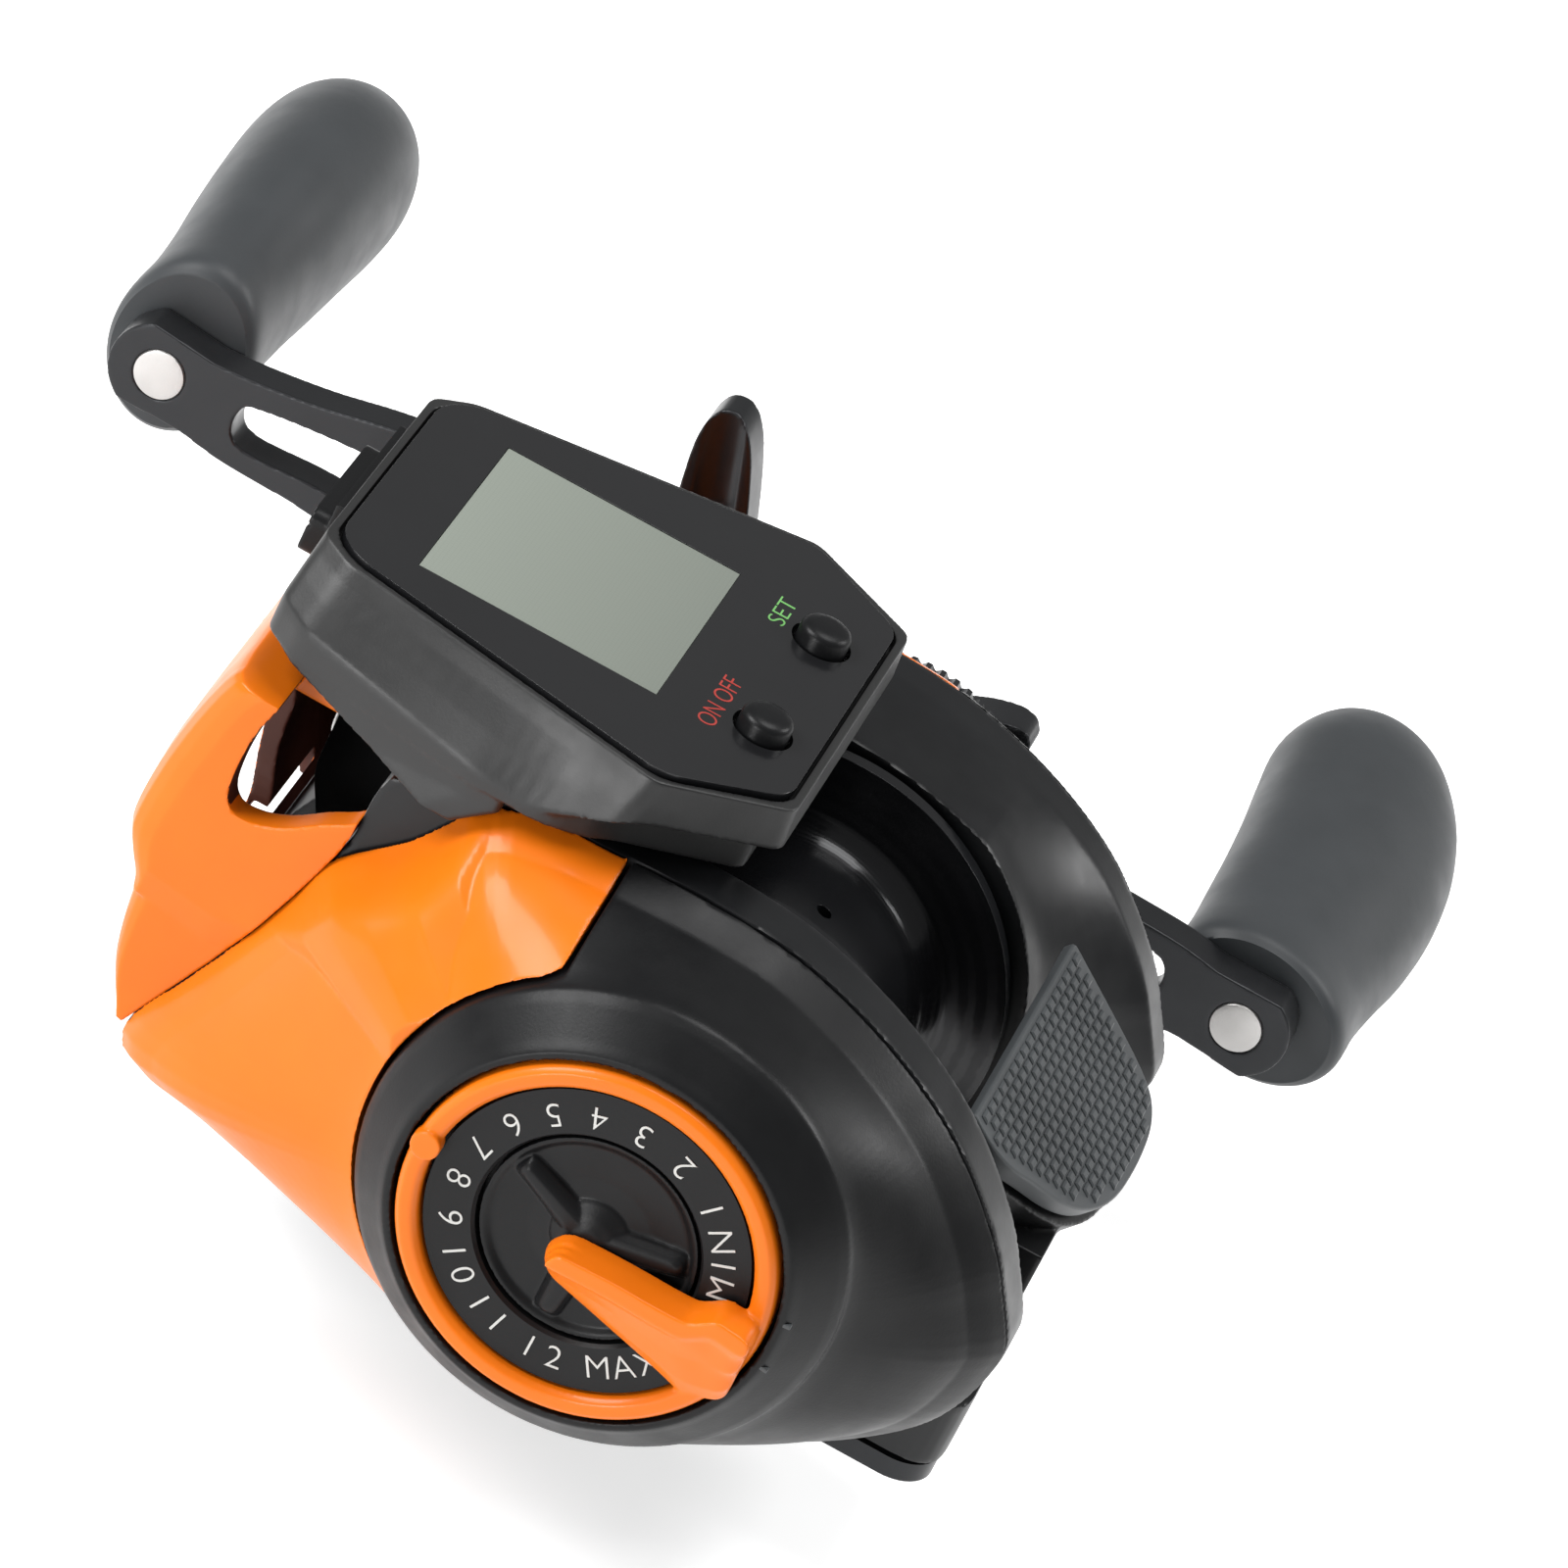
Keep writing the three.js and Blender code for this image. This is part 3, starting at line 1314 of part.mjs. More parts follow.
// Across and down the slope, as shares of the pad's width and length
const thumbShares = [
  [-0.5, 0], [-0.495, 0.17], [-0.46, 0.34], [-0.39, 0.5], [-0.3, 0.7], [-0.2, 0.85], [-0.08, 0.95],
  [0.06, 1], [0.3, 1], [0.41, 0.96], [0.475, 0.88], [0.5, 0.74], [0.5, 0],
];

function thumbSlab(margin, low, high) {
  const width = thumbRight - thumbLeft - (margin ? 0 : thumbBaseMargin);
  const middle = (thumbLeft + thumbRight) / 2;
  const outline = thumbShares.map(([across, down]) => [
    across * width, -down * (thumbLength + margin),
  ]);
  const slab = prism(outline, low, high, "z");
  slab.rotateX((thumbSlopeDegrees * Math.PI) / 180).translate(middle, thumbFront, thumbTop);
  return cut(slab, rod(thumbClearRadius, thumbLeft - overrun, thumbRight + overrun, largeSides));
}

function thumbPad() {
  return thumbSlab(0, -thumbPadThickness, 0);
}

function thumbBar() {
  const high = -thumbPadThickness - slipGap;
  const plate = thumbSlab(thumbBaseMargin, high - thumbBaseThickness, high);
  const half = thumbSkirtHalfWidth;
  const skirt = block(-half, half, thumbSkirtRear, thumbSkirtFront, thumbSkirtBottom, thumbTop * 0.13);
  return join(plate, skirt);
}

function clutchYoke() {
  const left = driveGearLeft + driveGearWidth + seatGap * 2 + slipGap;
  const [w, h] = [yokeHalfWidth, yokeHalfHeight];
  const back = -postBack - w;
  const outline = rounded([
    [back, -h * 0.66], [-postBack * 0.8, -h * 0.92], [w * 0.2, -h * 0.92], [w, -h * 0.45],
    [w, h * 0.45], [w * 0.2, h * 0.92], [-postBack * 0.8, h * 0.92], [back, h * 0.66],
  ], w * 0.3);
  const plate = prism(outline, left, left + yokeThickness);
  const [near, far] = [left - overrun, left + yokeThickness + overrun];
  const mouth = block(near, far, 0, w + overrun, -yokeForkRadius, yokeForkRadius);
  return cut(
    plate, mouth, rod(yokeForkRadius, left - overrun, left + yokeThickness + overrun, smallSides),
    ...postPlaces().map(([y, z]) =>
      moved(rod(postRadius + slipGap, left - overrun, left + yokeThickness + overrun, smallSides), 0, y, z)),
  );
}

function yokePost([y, z]) {
  const left = gearCaseLeft - handleWall / 2;
  return moved(rod(postRadius, left, left + postLength, smallSides), 0, y, z);
}

// Line counter

// Half width and place from rear to front, as shares, for the glass and for the housing's base
const panelShares = [[0.72, 0], [1, 0.23], [0.695, 0.94], [0.58, 1]];
const baseShares = [[0.7, 0], [1.01, 0.265], [0.99, 0.54], [0.8, 0.93], [0.66, 1]];
const rimShares = [[0.72, 0], [1, 0.23], [0.86, 0.56], [0.695, 0.94], [0.58, 1]];

function mirrored(shares, halfWidth, rear, front, grow = 0) {
  const side = shares.map(([across, along]) => [across * halfWidth + grow, rear + along * (front - rear)]);
  side[0] = [side[0][0], side[0][1] - grow];
  side[side.length - 1] = [side[side.length - 1][0], side[side.length - 1][1] + grow];
  return [...side, ...side.map(([x, y]) => [-x, y]).reverse()].map(([x, y]) => [x + displayCentre, y]);
}

function panelOutline(grow) {
  return rounded(mirrored(panelShares, panelHalfWidth, panelRear, panelFront, grow), panelThickness * 1.5);
}

function displayPanel() {
  const top = panelTop;
  const lcd = block(
    displayCentre - lcdHalfWidth - slipGap, displayCentre + lcdHalfWidth + slipGap,
    lcdRear - slipGap, lcdFront + slipGap, top - panelThickness - overrun, top + overrun,
  );
  const holes = [setButtonSide, powerButtonSide].map((x) =>
    moved(rod(buttonRadius + seatGap, top - panelThickness - overrun, top + overrun, smallSides, "z"), x,
      buttonForward, 0));
  return cut(prism(panelOutline(-slipGap), top - panelThickness, top, "z"), lcd, ...holes);
}

function displayHousing() {
  const rimTop = panelTop - rimDrop;
  const top = mirrored(rimShares, panelHalfWidth, panelRear, panelFront, rimProud);
  const base = mirrored(baseShares, housingHalfWidth, housingRear, housingFront);
  const rings = [
    { at: housingBottom, points: rounded(base, panelThickness) },
    { at: rimTop - panelThickness * 1.6, points: rounded(blend(base, top, 0.75), panelThickness) },
    { at: rimTop, points: rounded(top, panelThickness) },
  ];
  const keelFront = mirrored([[0.94, 0], [0.92, 0.45], [0.77, 0.85], [0.62, 1]], housingHalfWidth, keelRear,
    housingFront - seatGap);
  const keelTop = mirrored([[0.99, 0], [0.965, 0.45], [0.81, 0.85], [0.66, 1]], housingHalfWidth, keelRear,
    housingFront);
  const keel = loft([
    { at: housingKeelBottom, points: rounded(keelFront, panelThickness) },
    { at: housingBottom + overrun, points: rounded(keelTop, panelThickness) },
  ], "z");
  const seat = prism(panelOutline(0), panelTop - panelThickness - slipGap, panelTop + overrun, "z");
  const pocketOutline = mirrored(
    panelShares, panelHalfWidth - coverWall, panelRear + coverWall * 0.6, panelFront - coverWall,
  );
  const pocket = prism(rounded(pocketOutline, panelThickness), pocketFloor, panelTop, "z");
  const traySlot = block(
    trayCentre - trayHalfWidth - seatGap, trayCentre + trayHalfWidth + seatGap, trayRear - seatGap,
    housingFront + overrun, trayBottom - seatGap, trayBottom + trayHeight + seatGap,
  );
  const screwBore = () =>
    rod(screwShankRadius + slipGap, housingKeelBottom - overrun, trayBottom, smallSides, "z");
  const screwHoles = displayScrewPlaces().map(([x, y]) => moved(screwBore(), x, y, 0));
  return cut(join(loft(rings, "z"), keel), seat, pocket, traySlot, ...screwHoles);
}

function blend(from, to, share) {
  return from.map(([u, v], k) => [u + (to[k][0] - u) * share, v + (to[k][1] - v) * share]);
}

function lcdModule() {
  const top = panelTop - slipGap / 2;
  const [left, right] = [displayCentre - lcdHalfWidth, displayCentre + lcdHalfWidth];
  return block(left, right, lcdRear, lcdFront, top - lcdThickness, top);
}

function circuitBoard() {
  const low = pocketFloor + slipGap;
  return block(displayCentre - lcdHalfWidth - coverWall, displayCentre + lcdHalfWidth + coverWall,
    lcdRear - coverWall, lcdFront + coverWall, low, low + boardThickness);
}

function button(side) {
  const low = pocketFloor + slipGap / 2 + buttonTravel;
  const top = panelTop + buttonProud;
  const flat = buttonRadius * 0.6;
  return moved(turned([
    [0, low], [buttonRadius + slipGap * 2, low], [buttonRadius + slipGap * 2, low + buttonFlange],
    [buttonRadius, low + buttonFlange], [buttonRadius, top - buttonFlange], [flat, top], [0, top],
  ], smallSides, "z"), side, buttonForward, 0);
}

function batteryTray() {
  const front = housingFront + seatGap;
  const top = trayBottom + trayHeight;
  const [left, right] = [trayCentre - trayHalfWidth, trayCentre + trayHalfWidth];
  const lipTop = trayBottom + trayFloor;
  const drawer = block(left, right, trayRear, front + seatGap, trayBottom, top);
  const lip = block(trayLipLeft, trayLipRight, front, front + trayDoor, trayLipBottom, lipTop);
  const well = moved(
    rod(cellRadius + slipGap, lipTop, top + overrun, mediumSides, "z"), trayCentre, cellForward(), 0,
  );
  return cut(join(drawer, lip), well);
}

function cellForward() {
  return trayRear + slipGap * 2 + cellRadius + overrun / 2;
}

function coinCell() {
  const low = trayBottom + trayFloor + slipGap;
  return moved(rod(cellRadius, low, low + cellThickness, mediumSides, "z"), trayCentre, cellForward(), 0);
}

function displayScrew([x, y]) {
  const seat = bridgeBottom - slipGap;
  const low = seat - screwHeadThickness;
  const top = trayBottom - slipGap * 2;
  return moved(turned([
    [0, low], [screwHeadRadius, low], [screwHeadRadius, seat], [screwShankRadius, seat],
    [screwShankRadius, top], [0, top],
  ], smallSides, "z"), x, y, 0);
}

// Assembly

const reel = new THREE.Group();
const body = new THREE.Group();
body.position.set(0, spoolAxisForward, spoolAxisHeight);
reel.add(body);

const crank = new THREE.Group();
crank.position.set(0, shaftForward, shaftHeight);
body.add(crank);

const arm = new THREE.Group();
arm.rotation.x = (armTiltDegrees * Math.PI) / 180;
crank.add(arm);

function add(group, name, geometry, material) {
  const clean = geometryOf(solidOf(geometry));
  clean.computeVertexNormals();
  const mesh = new THREE.Mesh(clean, material);
  mesh.name = name;
  group.add(mesh);
  return mesh;
}

add(body, "main_frame", mainFrame(), frameBlack());
add(body, "reel_foot", reelFoot(), blackAluminium());
rivetPlaces().forEach((place, k) => add(body, `foot_rivet_${k + 1}`, footRivet(place), darkSteel()));
add(body, "palm_side_cover", palmSideCover(), blackSatin());
add(body, "palm_front_shell", palmFrontShell(), orangePaint());
add(body, "nose_cover", noseCover(), orangePaint());
add(body, "handle_side_cover", handleSideCover(), blackSatin());
add(body, "handle_front_shell", handleFrontShell(), orangePaint());
sideScrewPlaces().forEach((place, k) => add(body, `side_screw_${k + 1}`, sideScrew(place), darkSteel()));
add(body, "number_plate", numberPlate(), blackSatin());
add(body, "brake_hub", brakeHub(), blackSatin());
add(body, "palm_bearing", bearing(palmBossRight - bearingWidth - slipGap), brightSteel());
add(body, "frame_bearing", bearing(handlePlateInner + slipGap), brightSteel());
add(body, "end_bearing", bearing(plateauFace), brightSteel());
add(body, "one_way_bearing", oneWayBearing(), brightSteel());
add(body, "guide_rod", guideRod(), brightSteel());

add(body, "display_housing", displayHousing(), blackSatin());
add(body, "display_panel", displayPanel(), glossBlack());
add(body, "lcd_module", lcdModule(), liquidCrystal());
add(body, "circuit_board", circuitBoard(), boardGreen());
displayScrewPlaces().forEach((place, k) =>
  add(body, `display_screw_${k + 1}`, displayScrew(place), darkSteel()),
);
add(body, "battery_tray", batteryTray(), blackSatin());
add(body, "coin_cell", coinCell(), brightSteel());
add(body, "set_button", button(setButtonSide), blackSatin());
add(body, "power_button", button(powerButtonSide), blackSatin());

add(body, "brake_dial", brakeDial(), orangePaint());
add(body, "magnet_carrier", magnetCarrier(), blackSatin());

add(body, "spool", spool(), blackAluminium());
add(body, "spool_shaft", rod(spoolShaftRadius, spoolShaftLeft, spoolShaftRight, smallSides), brightSteel());
add(body, "brake_rotor", brakeRotor(), darkSteel());
add(body, "pinion_gear", pinion(), brass());

add(body, "cast_control_cap", castControlCap(), blackAluminium());
add(body, "thumb_bar", thumbBar(), blackSatin());
add(body, "thumb_pad", thumbPad(), gripGrey());
add(body, "clutch_yoke", clutchYoke(), darkSteel());

add(body, "line_guide", lineGuide(), blackSatin());
add(body, "line_ring", lineRing(), ceramic());
add(body, "pawl_cap", pawlCap(), blackAluminium());
const wormParts = new THREE.Group();
wormParts.position.set(0, wormForward, wormHeight);
body.add(wormParts);
add(wormParts, "worm_shaft", wormShaft(), brightSteel());
add(wormParts, "worm_gear", wormGear(), brass());

add(crank, "drive_shaft", driveShaft(), brightSteel());
add(crank, "drive_gear", driveGear(), brass());
add(crank, "cross_gear", crossGear(), brass());
add(crank, "drag_washer_1", dragWasher(0), carbon());
add(crank, "drag_washer_2", dragWasher(1), darkSteel());
add(crank, "shaft_collar", shaftCollar(), blackAluminium());
add(crank, "star_drag", starDrag(), blackAluminium());
add(arm, "handle_arm", handleArm(), blackAluminium());
add(crank, "handle_nut", handleNut(), blackAluminium());
add(crank, "nut_retainer", nutRetainer(), blackAluminium());

for (const [name, side, turn] of [["front", 1, frontKnobTurnDegrees], ["rear", -1, rearKnobTurnDegrees]]) {
  const seat = new THREE.Group();
  seat.position.set(0, side * armReach, 0);
  arm.add(seat);
  add(seat, `knob_pin_${name}`, knobPin(), brightSteel());
  const grip = add(seat, `knob_${name}`, knob(), knobRubber());
  grip.rotation.x = (turn * Math.PI) / 180;
}

export default reel;
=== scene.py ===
"""Looks of a low-profile baitcasting reel with a line counter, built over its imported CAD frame.

Shapes are modelled in millimetres about the spool axis or the crank axis and placed in metres at the end.
+X runs along the spool axis to the handle side, +Y to the rod tip and +Z up.
"""

import logging
import math
from bisect import bisect_right
from collections.abc import Callable, Sequence
from dataclasses import dataclass, field
from enum import Enum

import bpy
from mathutils import Matrix, Vector

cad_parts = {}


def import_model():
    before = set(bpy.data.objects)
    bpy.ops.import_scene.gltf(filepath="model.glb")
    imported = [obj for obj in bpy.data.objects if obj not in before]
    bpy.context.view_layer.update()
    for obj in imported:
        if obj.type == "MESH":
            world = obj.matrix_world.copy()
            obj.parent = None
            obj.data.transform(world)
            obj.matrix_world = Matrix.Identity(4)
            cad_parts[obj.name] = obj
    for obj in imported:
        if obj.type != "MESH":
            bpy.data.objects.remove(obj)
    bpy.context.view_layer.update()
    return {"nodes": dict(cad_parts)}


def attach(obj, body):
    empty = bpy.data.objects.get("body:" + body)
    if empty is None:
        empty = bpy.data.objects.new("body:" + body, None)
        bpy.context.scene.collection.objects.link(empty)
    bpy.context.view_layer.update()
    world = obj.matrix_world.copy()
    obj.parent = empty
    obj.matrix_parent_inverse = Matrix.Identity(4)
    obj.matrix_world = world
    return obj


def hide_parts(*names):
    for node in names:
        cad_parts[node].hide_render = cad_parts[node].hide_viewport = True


log = logging.getLogger("reel")

Piece = bpy.types.Object
Tree = bpy.types.NodeTree
Socket = bpy.types.NodeSocket
Point = tuple[float, float]
Spot = tuple[float, float, float]
Line = Sequence[Point]
Ring = list[Spot]
Reaching = Callable[[float], float]

MILLIMETRE = 0.001
SEAT_GAP = 0.3
SLIP_GAP = 0.25
OVERRUN = 1.0
WELD = 0.0005

SHAFT = (14.15, -6.25)
WORM = (22.5, -6)
GUIDE_ROD = (24.6, 3.4)


class Axis(Enum):
    """The row frame's axes."""

    X = Vector((1, 0, 0))
    Y = Vector((0, 1, 0))
    Z = Vector((0, 0, 1))


class Body(Enum):
    """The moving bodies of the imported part."""

    FRAME = "frame"
    CRANK = "crank"
    STAR = "star"
    FRONT_KNOB = "front_knob"
    REAR_KNOB = "rear_knob"
    SPOOL = "spool"
    WORM = "worm"
    LEVEL_WIND = "level_wind"
    THUMB_BAR = "thumb_bar"
    DIAL = "dial"
    CAST_CAP = "cast_cap"
    SET_BUTTON = "set_button"
    POWER_BUTTON = "power_button"
    BATTERY = "battery"


class Slot(Enum):
    """The material slot names."""

    ORANGE = "orange_shell"
    BLACK = "black_plastic"
    FRAME = "frame_black"
    ALUMINIUM = "black_aluminium"
    PANEL = "panel_black"
    GLASS = "display_glass"
    RUBBER = "knob_rubber"
    STEEL = "bright_steel"
    DARK_STEEL = "dark_steel"
    BRASS = "gear_brass"
    CARBON = "drag_carbon"
    BOARD = "circuit_green"
    PAD = "pad_grey"
    CERAMIC = "ceramic_white"


class Solver(Enum):
    """The boolean methods used on the solids."""

    DIFFERENCE = "DIFFERENCE"
    UNION = "UNION"
    INTERSECT = "INTERSECT"


SPOOL_PLACE = Matrix.Translation((0, -3, 20.5))
CRANK_PLACE = SPOOL_PLACE @ Matrix.Translation((0, *SHAFT))
ARM_PLACE = CRANK_PLACE @ Matrix.Rotation(math.radians(3), 4, "X")


def smooth_line(points: Line, closed: bool = False, steps: int = 8) -> list[Point]:
    """Runs a centripetal spline through points.

    Args:
        points: The points that the line passes through.
        closed: Whether the last point joins the first.
        steps: How many pieces each span is cut into.

    Returns:
        The points of the smooth line.
    """
    nodes = [Vector(point) for point in points]
    count = len(nodes)
    line = []
    for k in range(count if closed else count - 1):
        b, c = nodes[k], nodes[(k + 1) % count]
        a = nodes[k - 1] if closed or k else b * 2 - c
        d = nodes[(k + 2) % count] if closed or k + 2 < count else c * 2 - b
        t1 = max((b - a).length, 1e-6) ** 0.5
        t2 = t1 + max((c - b).length, 1e-6) ** 0.5
        t3 = t2 + max((d - c).length, 1e-6) ** 0.5
        for s in range(steps):
            t = t1 + (t2 - t1) * s / steps
            ab = a * ((t1 - t) / t1) + b * (t / t1)
            bc = b * ((t2 - t) / (t2 - t1)) + c * ((t - t1) / (t2 - t1))
            cd = c * ((t3 - t) / (t3 - t2)) + d * ((t - t2) / (t3 - t2))
            low = ab * ((t2 - t) / t2) + bc * (t / t2)
            high = bc * ((t3 - t) / (t3 - t1)) + cd * ((t - t1) / (t3 - t1))
            line.append(tuple(low * ((t2 - t) / (t2 - t1)) + high * ((t - t1) / (t2 - t1))))
    if not closed:
        line.append(tuple(nodes[-1]))
    return line


def evenly(points: Line, count: int, closed: bool = True) -> list[Point]:
    """Spaces count points evenly along a line.

    Args:
        points: The line's points.
        count: How many points to give back.
        closed: Whether the line is a loop.

    Returns:
        The evenly spaced points.
    """
    nodes = [Vector(point) for point in points]
    if closed:
        nodes.append(nodes[0].copy())
    lengths = [(b - a).length for a, b in zip(nodes, nodes[1:])]
    pitch = sum(lengths) / (count if closed else count - 1)
    spaced = []
    k, passed = 0, 0.0
    for i in range(count):
        target = min(i * pitch, sum(lengths) - 1e-9)
        while passed + lengths[k] < target:
            passed += lengths[k]
            k += 1
        share = (target - passed) / max(lengths[k], 1e-9)
        spaced.append(tuple(nodes[k].lerp(nodes[k + 1], share)))
    return spaced


def rounded(points: Line, radius: float, steps: int = 6) -> list[Point]:
    """Rounds each corner of a polygon.

    Args:
        points: The polygon's corners.
        radius: How far back from a corner the round starts.
        steps: How many pieces each round has.

    Returns:
        The rounded polygon.
    """
    result = []
    count = len(points)
    for i, point in enumerate(points):
        corner, before, after = Vector(point), Vector(points[i - 1]), Vector(points[(i + 1) % count])
        back = min(radius, (before - corner).length / 2, (after - corner).length / 2)
        start = corner + (before - corner).normalized() * back
        end = corner + (after - corner).normalized() * back
        for s in range(steps + 1):
            t = s / steps
            result.append(tuple(start * (1 - t) ** 2 + corner * (2 * t * (1 - t)) + end * t * t))
    return result


def circle(radius: float, count: int, centre: Point = (0, 0), turn: float = 0) -> list[Point]:
    """Points of a circle, counted from turn in radians."""
    angles = [turn + math.tau * k / count for k in range(count)]
    return [(centre[0] + radius * math.cos(a), centre[1] + radius * math.sin(a)) for a in angles]


def scaled(shares: Line, size: float) -> list[Point]:
    """Turns shares of one size into places."""
    return [(u * size, v * size) for u, v in shares]


def raised(profile: Line, height: float) -> list[Point]:
    """Moves a turned profile along its axis."""
    return [(radius, height + at) for radius, at in profile]


def smooth_step(start: float, end: float, value: float) -> float:
    """An S-shaped ramp from 0 at start to 1 at end."""
    t = min(1.0, max(0.0, (value - start) / (end - start)))
    return t * t * (3 - 2 * t)


def between(table: Line, value: float) -> float:
    """Reads a table of (place, amount) at value, straight between its rows."""
    for (a, low), (b, high) in zip(table, table[1:]):
        if value <= b:
            return low + (high - low) * max(0.0, value - a) / (b - a)
    return table[-1][1]


class Reach:
    """How far a closed outline reaches from the axis in each direction."""

    def __init__(self, points: Line) -> None:
        """Keeps the outline through points as angles and radii."""
        line = evenly(smooth_line(points, closed=True, steps=10), 720)
        self.samples = sorted((math.atan2(z, y), math.hypot(y, z)) for y, z in line)

    def __call__(self, angle: float) -> float:
        """The reach in one direction.

        Args:
            angle: The direction in radians from +Y towards +Z.

        Returns:
            The distance from the axis to the outline.
        """
        wrapped = math.atan2(math.sin(angle), math.cos(angle))
        k = bisect_right(self.samples, (wrapped, math.inf))
        before, after = self.samples[k - 1], self.samples[k % len(self.samples)]
        span = (after[0] - before[0]) % (2 * math.pi) or 1e-9
        into = (wrapped - before[0]) % (2 * math.pi)
        return before[1] + (after[1] - before[1]) * into / span


class Bench:
    """Modelling moves on solids in millimetres, each one a use of Blender's own operators."""

    facets = 168
    fine_mesh = 12000

    @staticmethod
    def pick(piece: Piece) -> None:
        """Makes piece the only selected and active object."""
        bpy.ops.object.select_all(action="DESELECT")
        piece.select_set(True)
        bpy.context.view_layer.objects.active = piece

    @classmethod
    def edit(cls, piece: Piece) -> None:
        """Opens piece in edit mode with all of it selected."""
        cls.pick(piece)
        bpy.ops.object.mode_set(mode="EDIT")
        bpy.ops.mesh.select_all(action="SELECT")

    @staticmethod
    def call(piece: Piece, name: str) -> Piece:
        """Names piece and its mesh."""
        piece.name = piece.data.name = name
        return piece

    @staticmethod
    def turn(piece: Piece, degrees: float) -> Piece:
        """Turns the mesh of piece round the X axis."""
        piece.data.transform(Matrix.Rotation(math.radians(degrees), 4, "X"))
        return piece

    @staticmethod
    def move(piece: Piece, x: float, y: float, z: float) -> Piece:
        """Moves the mesh of piece."""
        piece.data.transform(Matrix.Translation((x, y, z)))
        return piece

    @classmethod
    def merge(cls, piece: Piece, others: list[Piece]) -> Piece:
        """Makes the others' meshes part of piece, without a boolean."""
        cls.pick(piece)
        for other in others:
            other.select_set(True)
        bpy.ops.object.join()
        return piece

    @classmethod
    def text(cls, body: str, size: float, relief: float, trim: float) -> Piece:
        """Types a centred word as a solid.

        Args:
            body: The word.
            size: The type's size.
            relief: Half of its thickness.
            trim: How much wider its strokes get, or narrower when below 0.

        Returns:
            The word as a mesh, flat on the XY plane.
        """
        bpy.ops.object.select_all(action="DESELECT")
        bpy.ops.object.text_add()
        curve = bpy.context.active_object.data
        curve.body, curve.size, curve.extrude, curve.offset = body, size, relief, trim
        curve.align_x = curve.align_y = "CENTER"
        bpy.ops.object.convert(target="MESH")
        return bpy.context.active_object

    @staticmethod
    def shape(piece: Piece, places: list[Spot]) -> None:
        """Puts the vertices of piece at places, in order."""
        piece.data.vertices.foreach_set("co", [value for place in places for value in place])
        piece.data.update()

    @classmethod
    def start(cls, name: str, places: list[Spot], fill: str) -> Piece:
        """Adds a circle primitive and shapes it to a closed line.

        Args:
            name: The piece's name.
            places: The line's points.
            fill: NGON for a face inside the line, or NOTHING.

        Returns:
            The new piece.
        """
        bpy.ops.object.select_all(action="DESELECT")
        bpy.ops.mesh.primitive_circle_add(vertices=len(places), radius=1, fill_type=fill)
        piece = cls.call(bpy.context.active_object, name)
        cls.shape(piece, places)
        return piece

    @classmethod
    def tidy(cls, piece: Piece, fill: bool = False) -> Piece:
        """Welds doubles, closes open ends if asked, and turns the faces outwards."""
        cls.edit(piece)
        bpy.ops.mesh.remove_doubles(threshold=WELD)
        if fill:
            bpy.ops.mesh.fill_holes(sides=0)
            bpy.ops.mesh.select_all(action="SELECT")
        bpy.ops.mesh.normals_make_consistent(inside=False)
        bpy.ops.object.mode_set(mode="OBJECT")
        return piece

    @classmethod
    def loft(cls, name: str, rings: list[Ring]) -> Piece:
        """Wraps a grid primitive round rings of equal point counts and closes its ends.

        Args:
            name: The piece's name.
            rings: The rings from one end to the other.

        Returns:
            The closed piece.
        """
        rows, columns = len(rings), len(rings[0])
        bpy.ops.object.select_all(action="DESELECT")
        bpy.ops.mesh.primitive_grid_add(x_subdivisions=rows - 1, y_subdivisions=columns, size=1)
        piece = cls.call(bpy.context.active_object, name)
        cls.shape(piece, [rings[row][column % columns] for column in range(columns + 1) for row in range(rows)])
        return cls.tidy(piece, fill=True)

    @classmethod
    def plate(cls, name: str, outline: Line, low: float, high: float, axis: Axis = Axis.X) -> Piece:
        """Extrudes an outline from low to high along an axis.

        Args:
            name: The piece's name.
            outline: Corners as (y, z) across X, (x, z) across Y or (x, y) across Z.
            low: Where the plate starts.
            high: Where it ends.
            axis: The direction of its thickness.

        Returns:
            The closed plate.
        """
        piece = cls.start(name, [lift(point, low, axis) for point in outline], "NGON")
        cls.edit(piece)
        bpy.ops.mesh.extrude_region_move(TRANSFORM_OT_translate={"value": axis.value * (high - low)})
        bpy.ops.object.mode_set(mode="OBJECT")
        return cls.tidy(piece)

    @classmethod
    def spun(cls, name: str, profile: Line, axis: Axis = Axis.X, steps: int = 96) -> Piece:
        """Spins a closed profile of (radius, place along the axis) once round an axis.

        Args:
            name: The piece's name.
            profile: The profile's corners.
            axis: The axis of the spin, through the origin.
            steps: How many steps the turn has.

        Returns:
            The closed piece.
        """
        turn = {
            Axis.X: lambda r, at: (at, r, 0),
            Axis.Y: lambda r, at: (r, at, 0),
            Axis.Z: lambda r, at: (r, 0, at),
        }[axis]
        piece = cls.start(name, [turn(*point) for point in profile], "NOTHING")
        cls.edit(piece)
        bpy.ops.mesh.spin(steps=steps, angle=math.tau, center=(0, 0, 0), axis=axis.value, dupli=False)
        bpy.ops.object.mode_set(mode="OBJECT")
        return cls.tidy(piece)

    @classmethod
    def rod(cls, radius: float, low: float, high: float, centre: Point = (0, 0), axis: Axis = Axis.X,
            steps: int = 64) -> Piece:
        """A round bar from low to high along an axis, centred on a point across it."""
        return cls.plate("rod", circle(radius, steps, centre), low, high, axis)

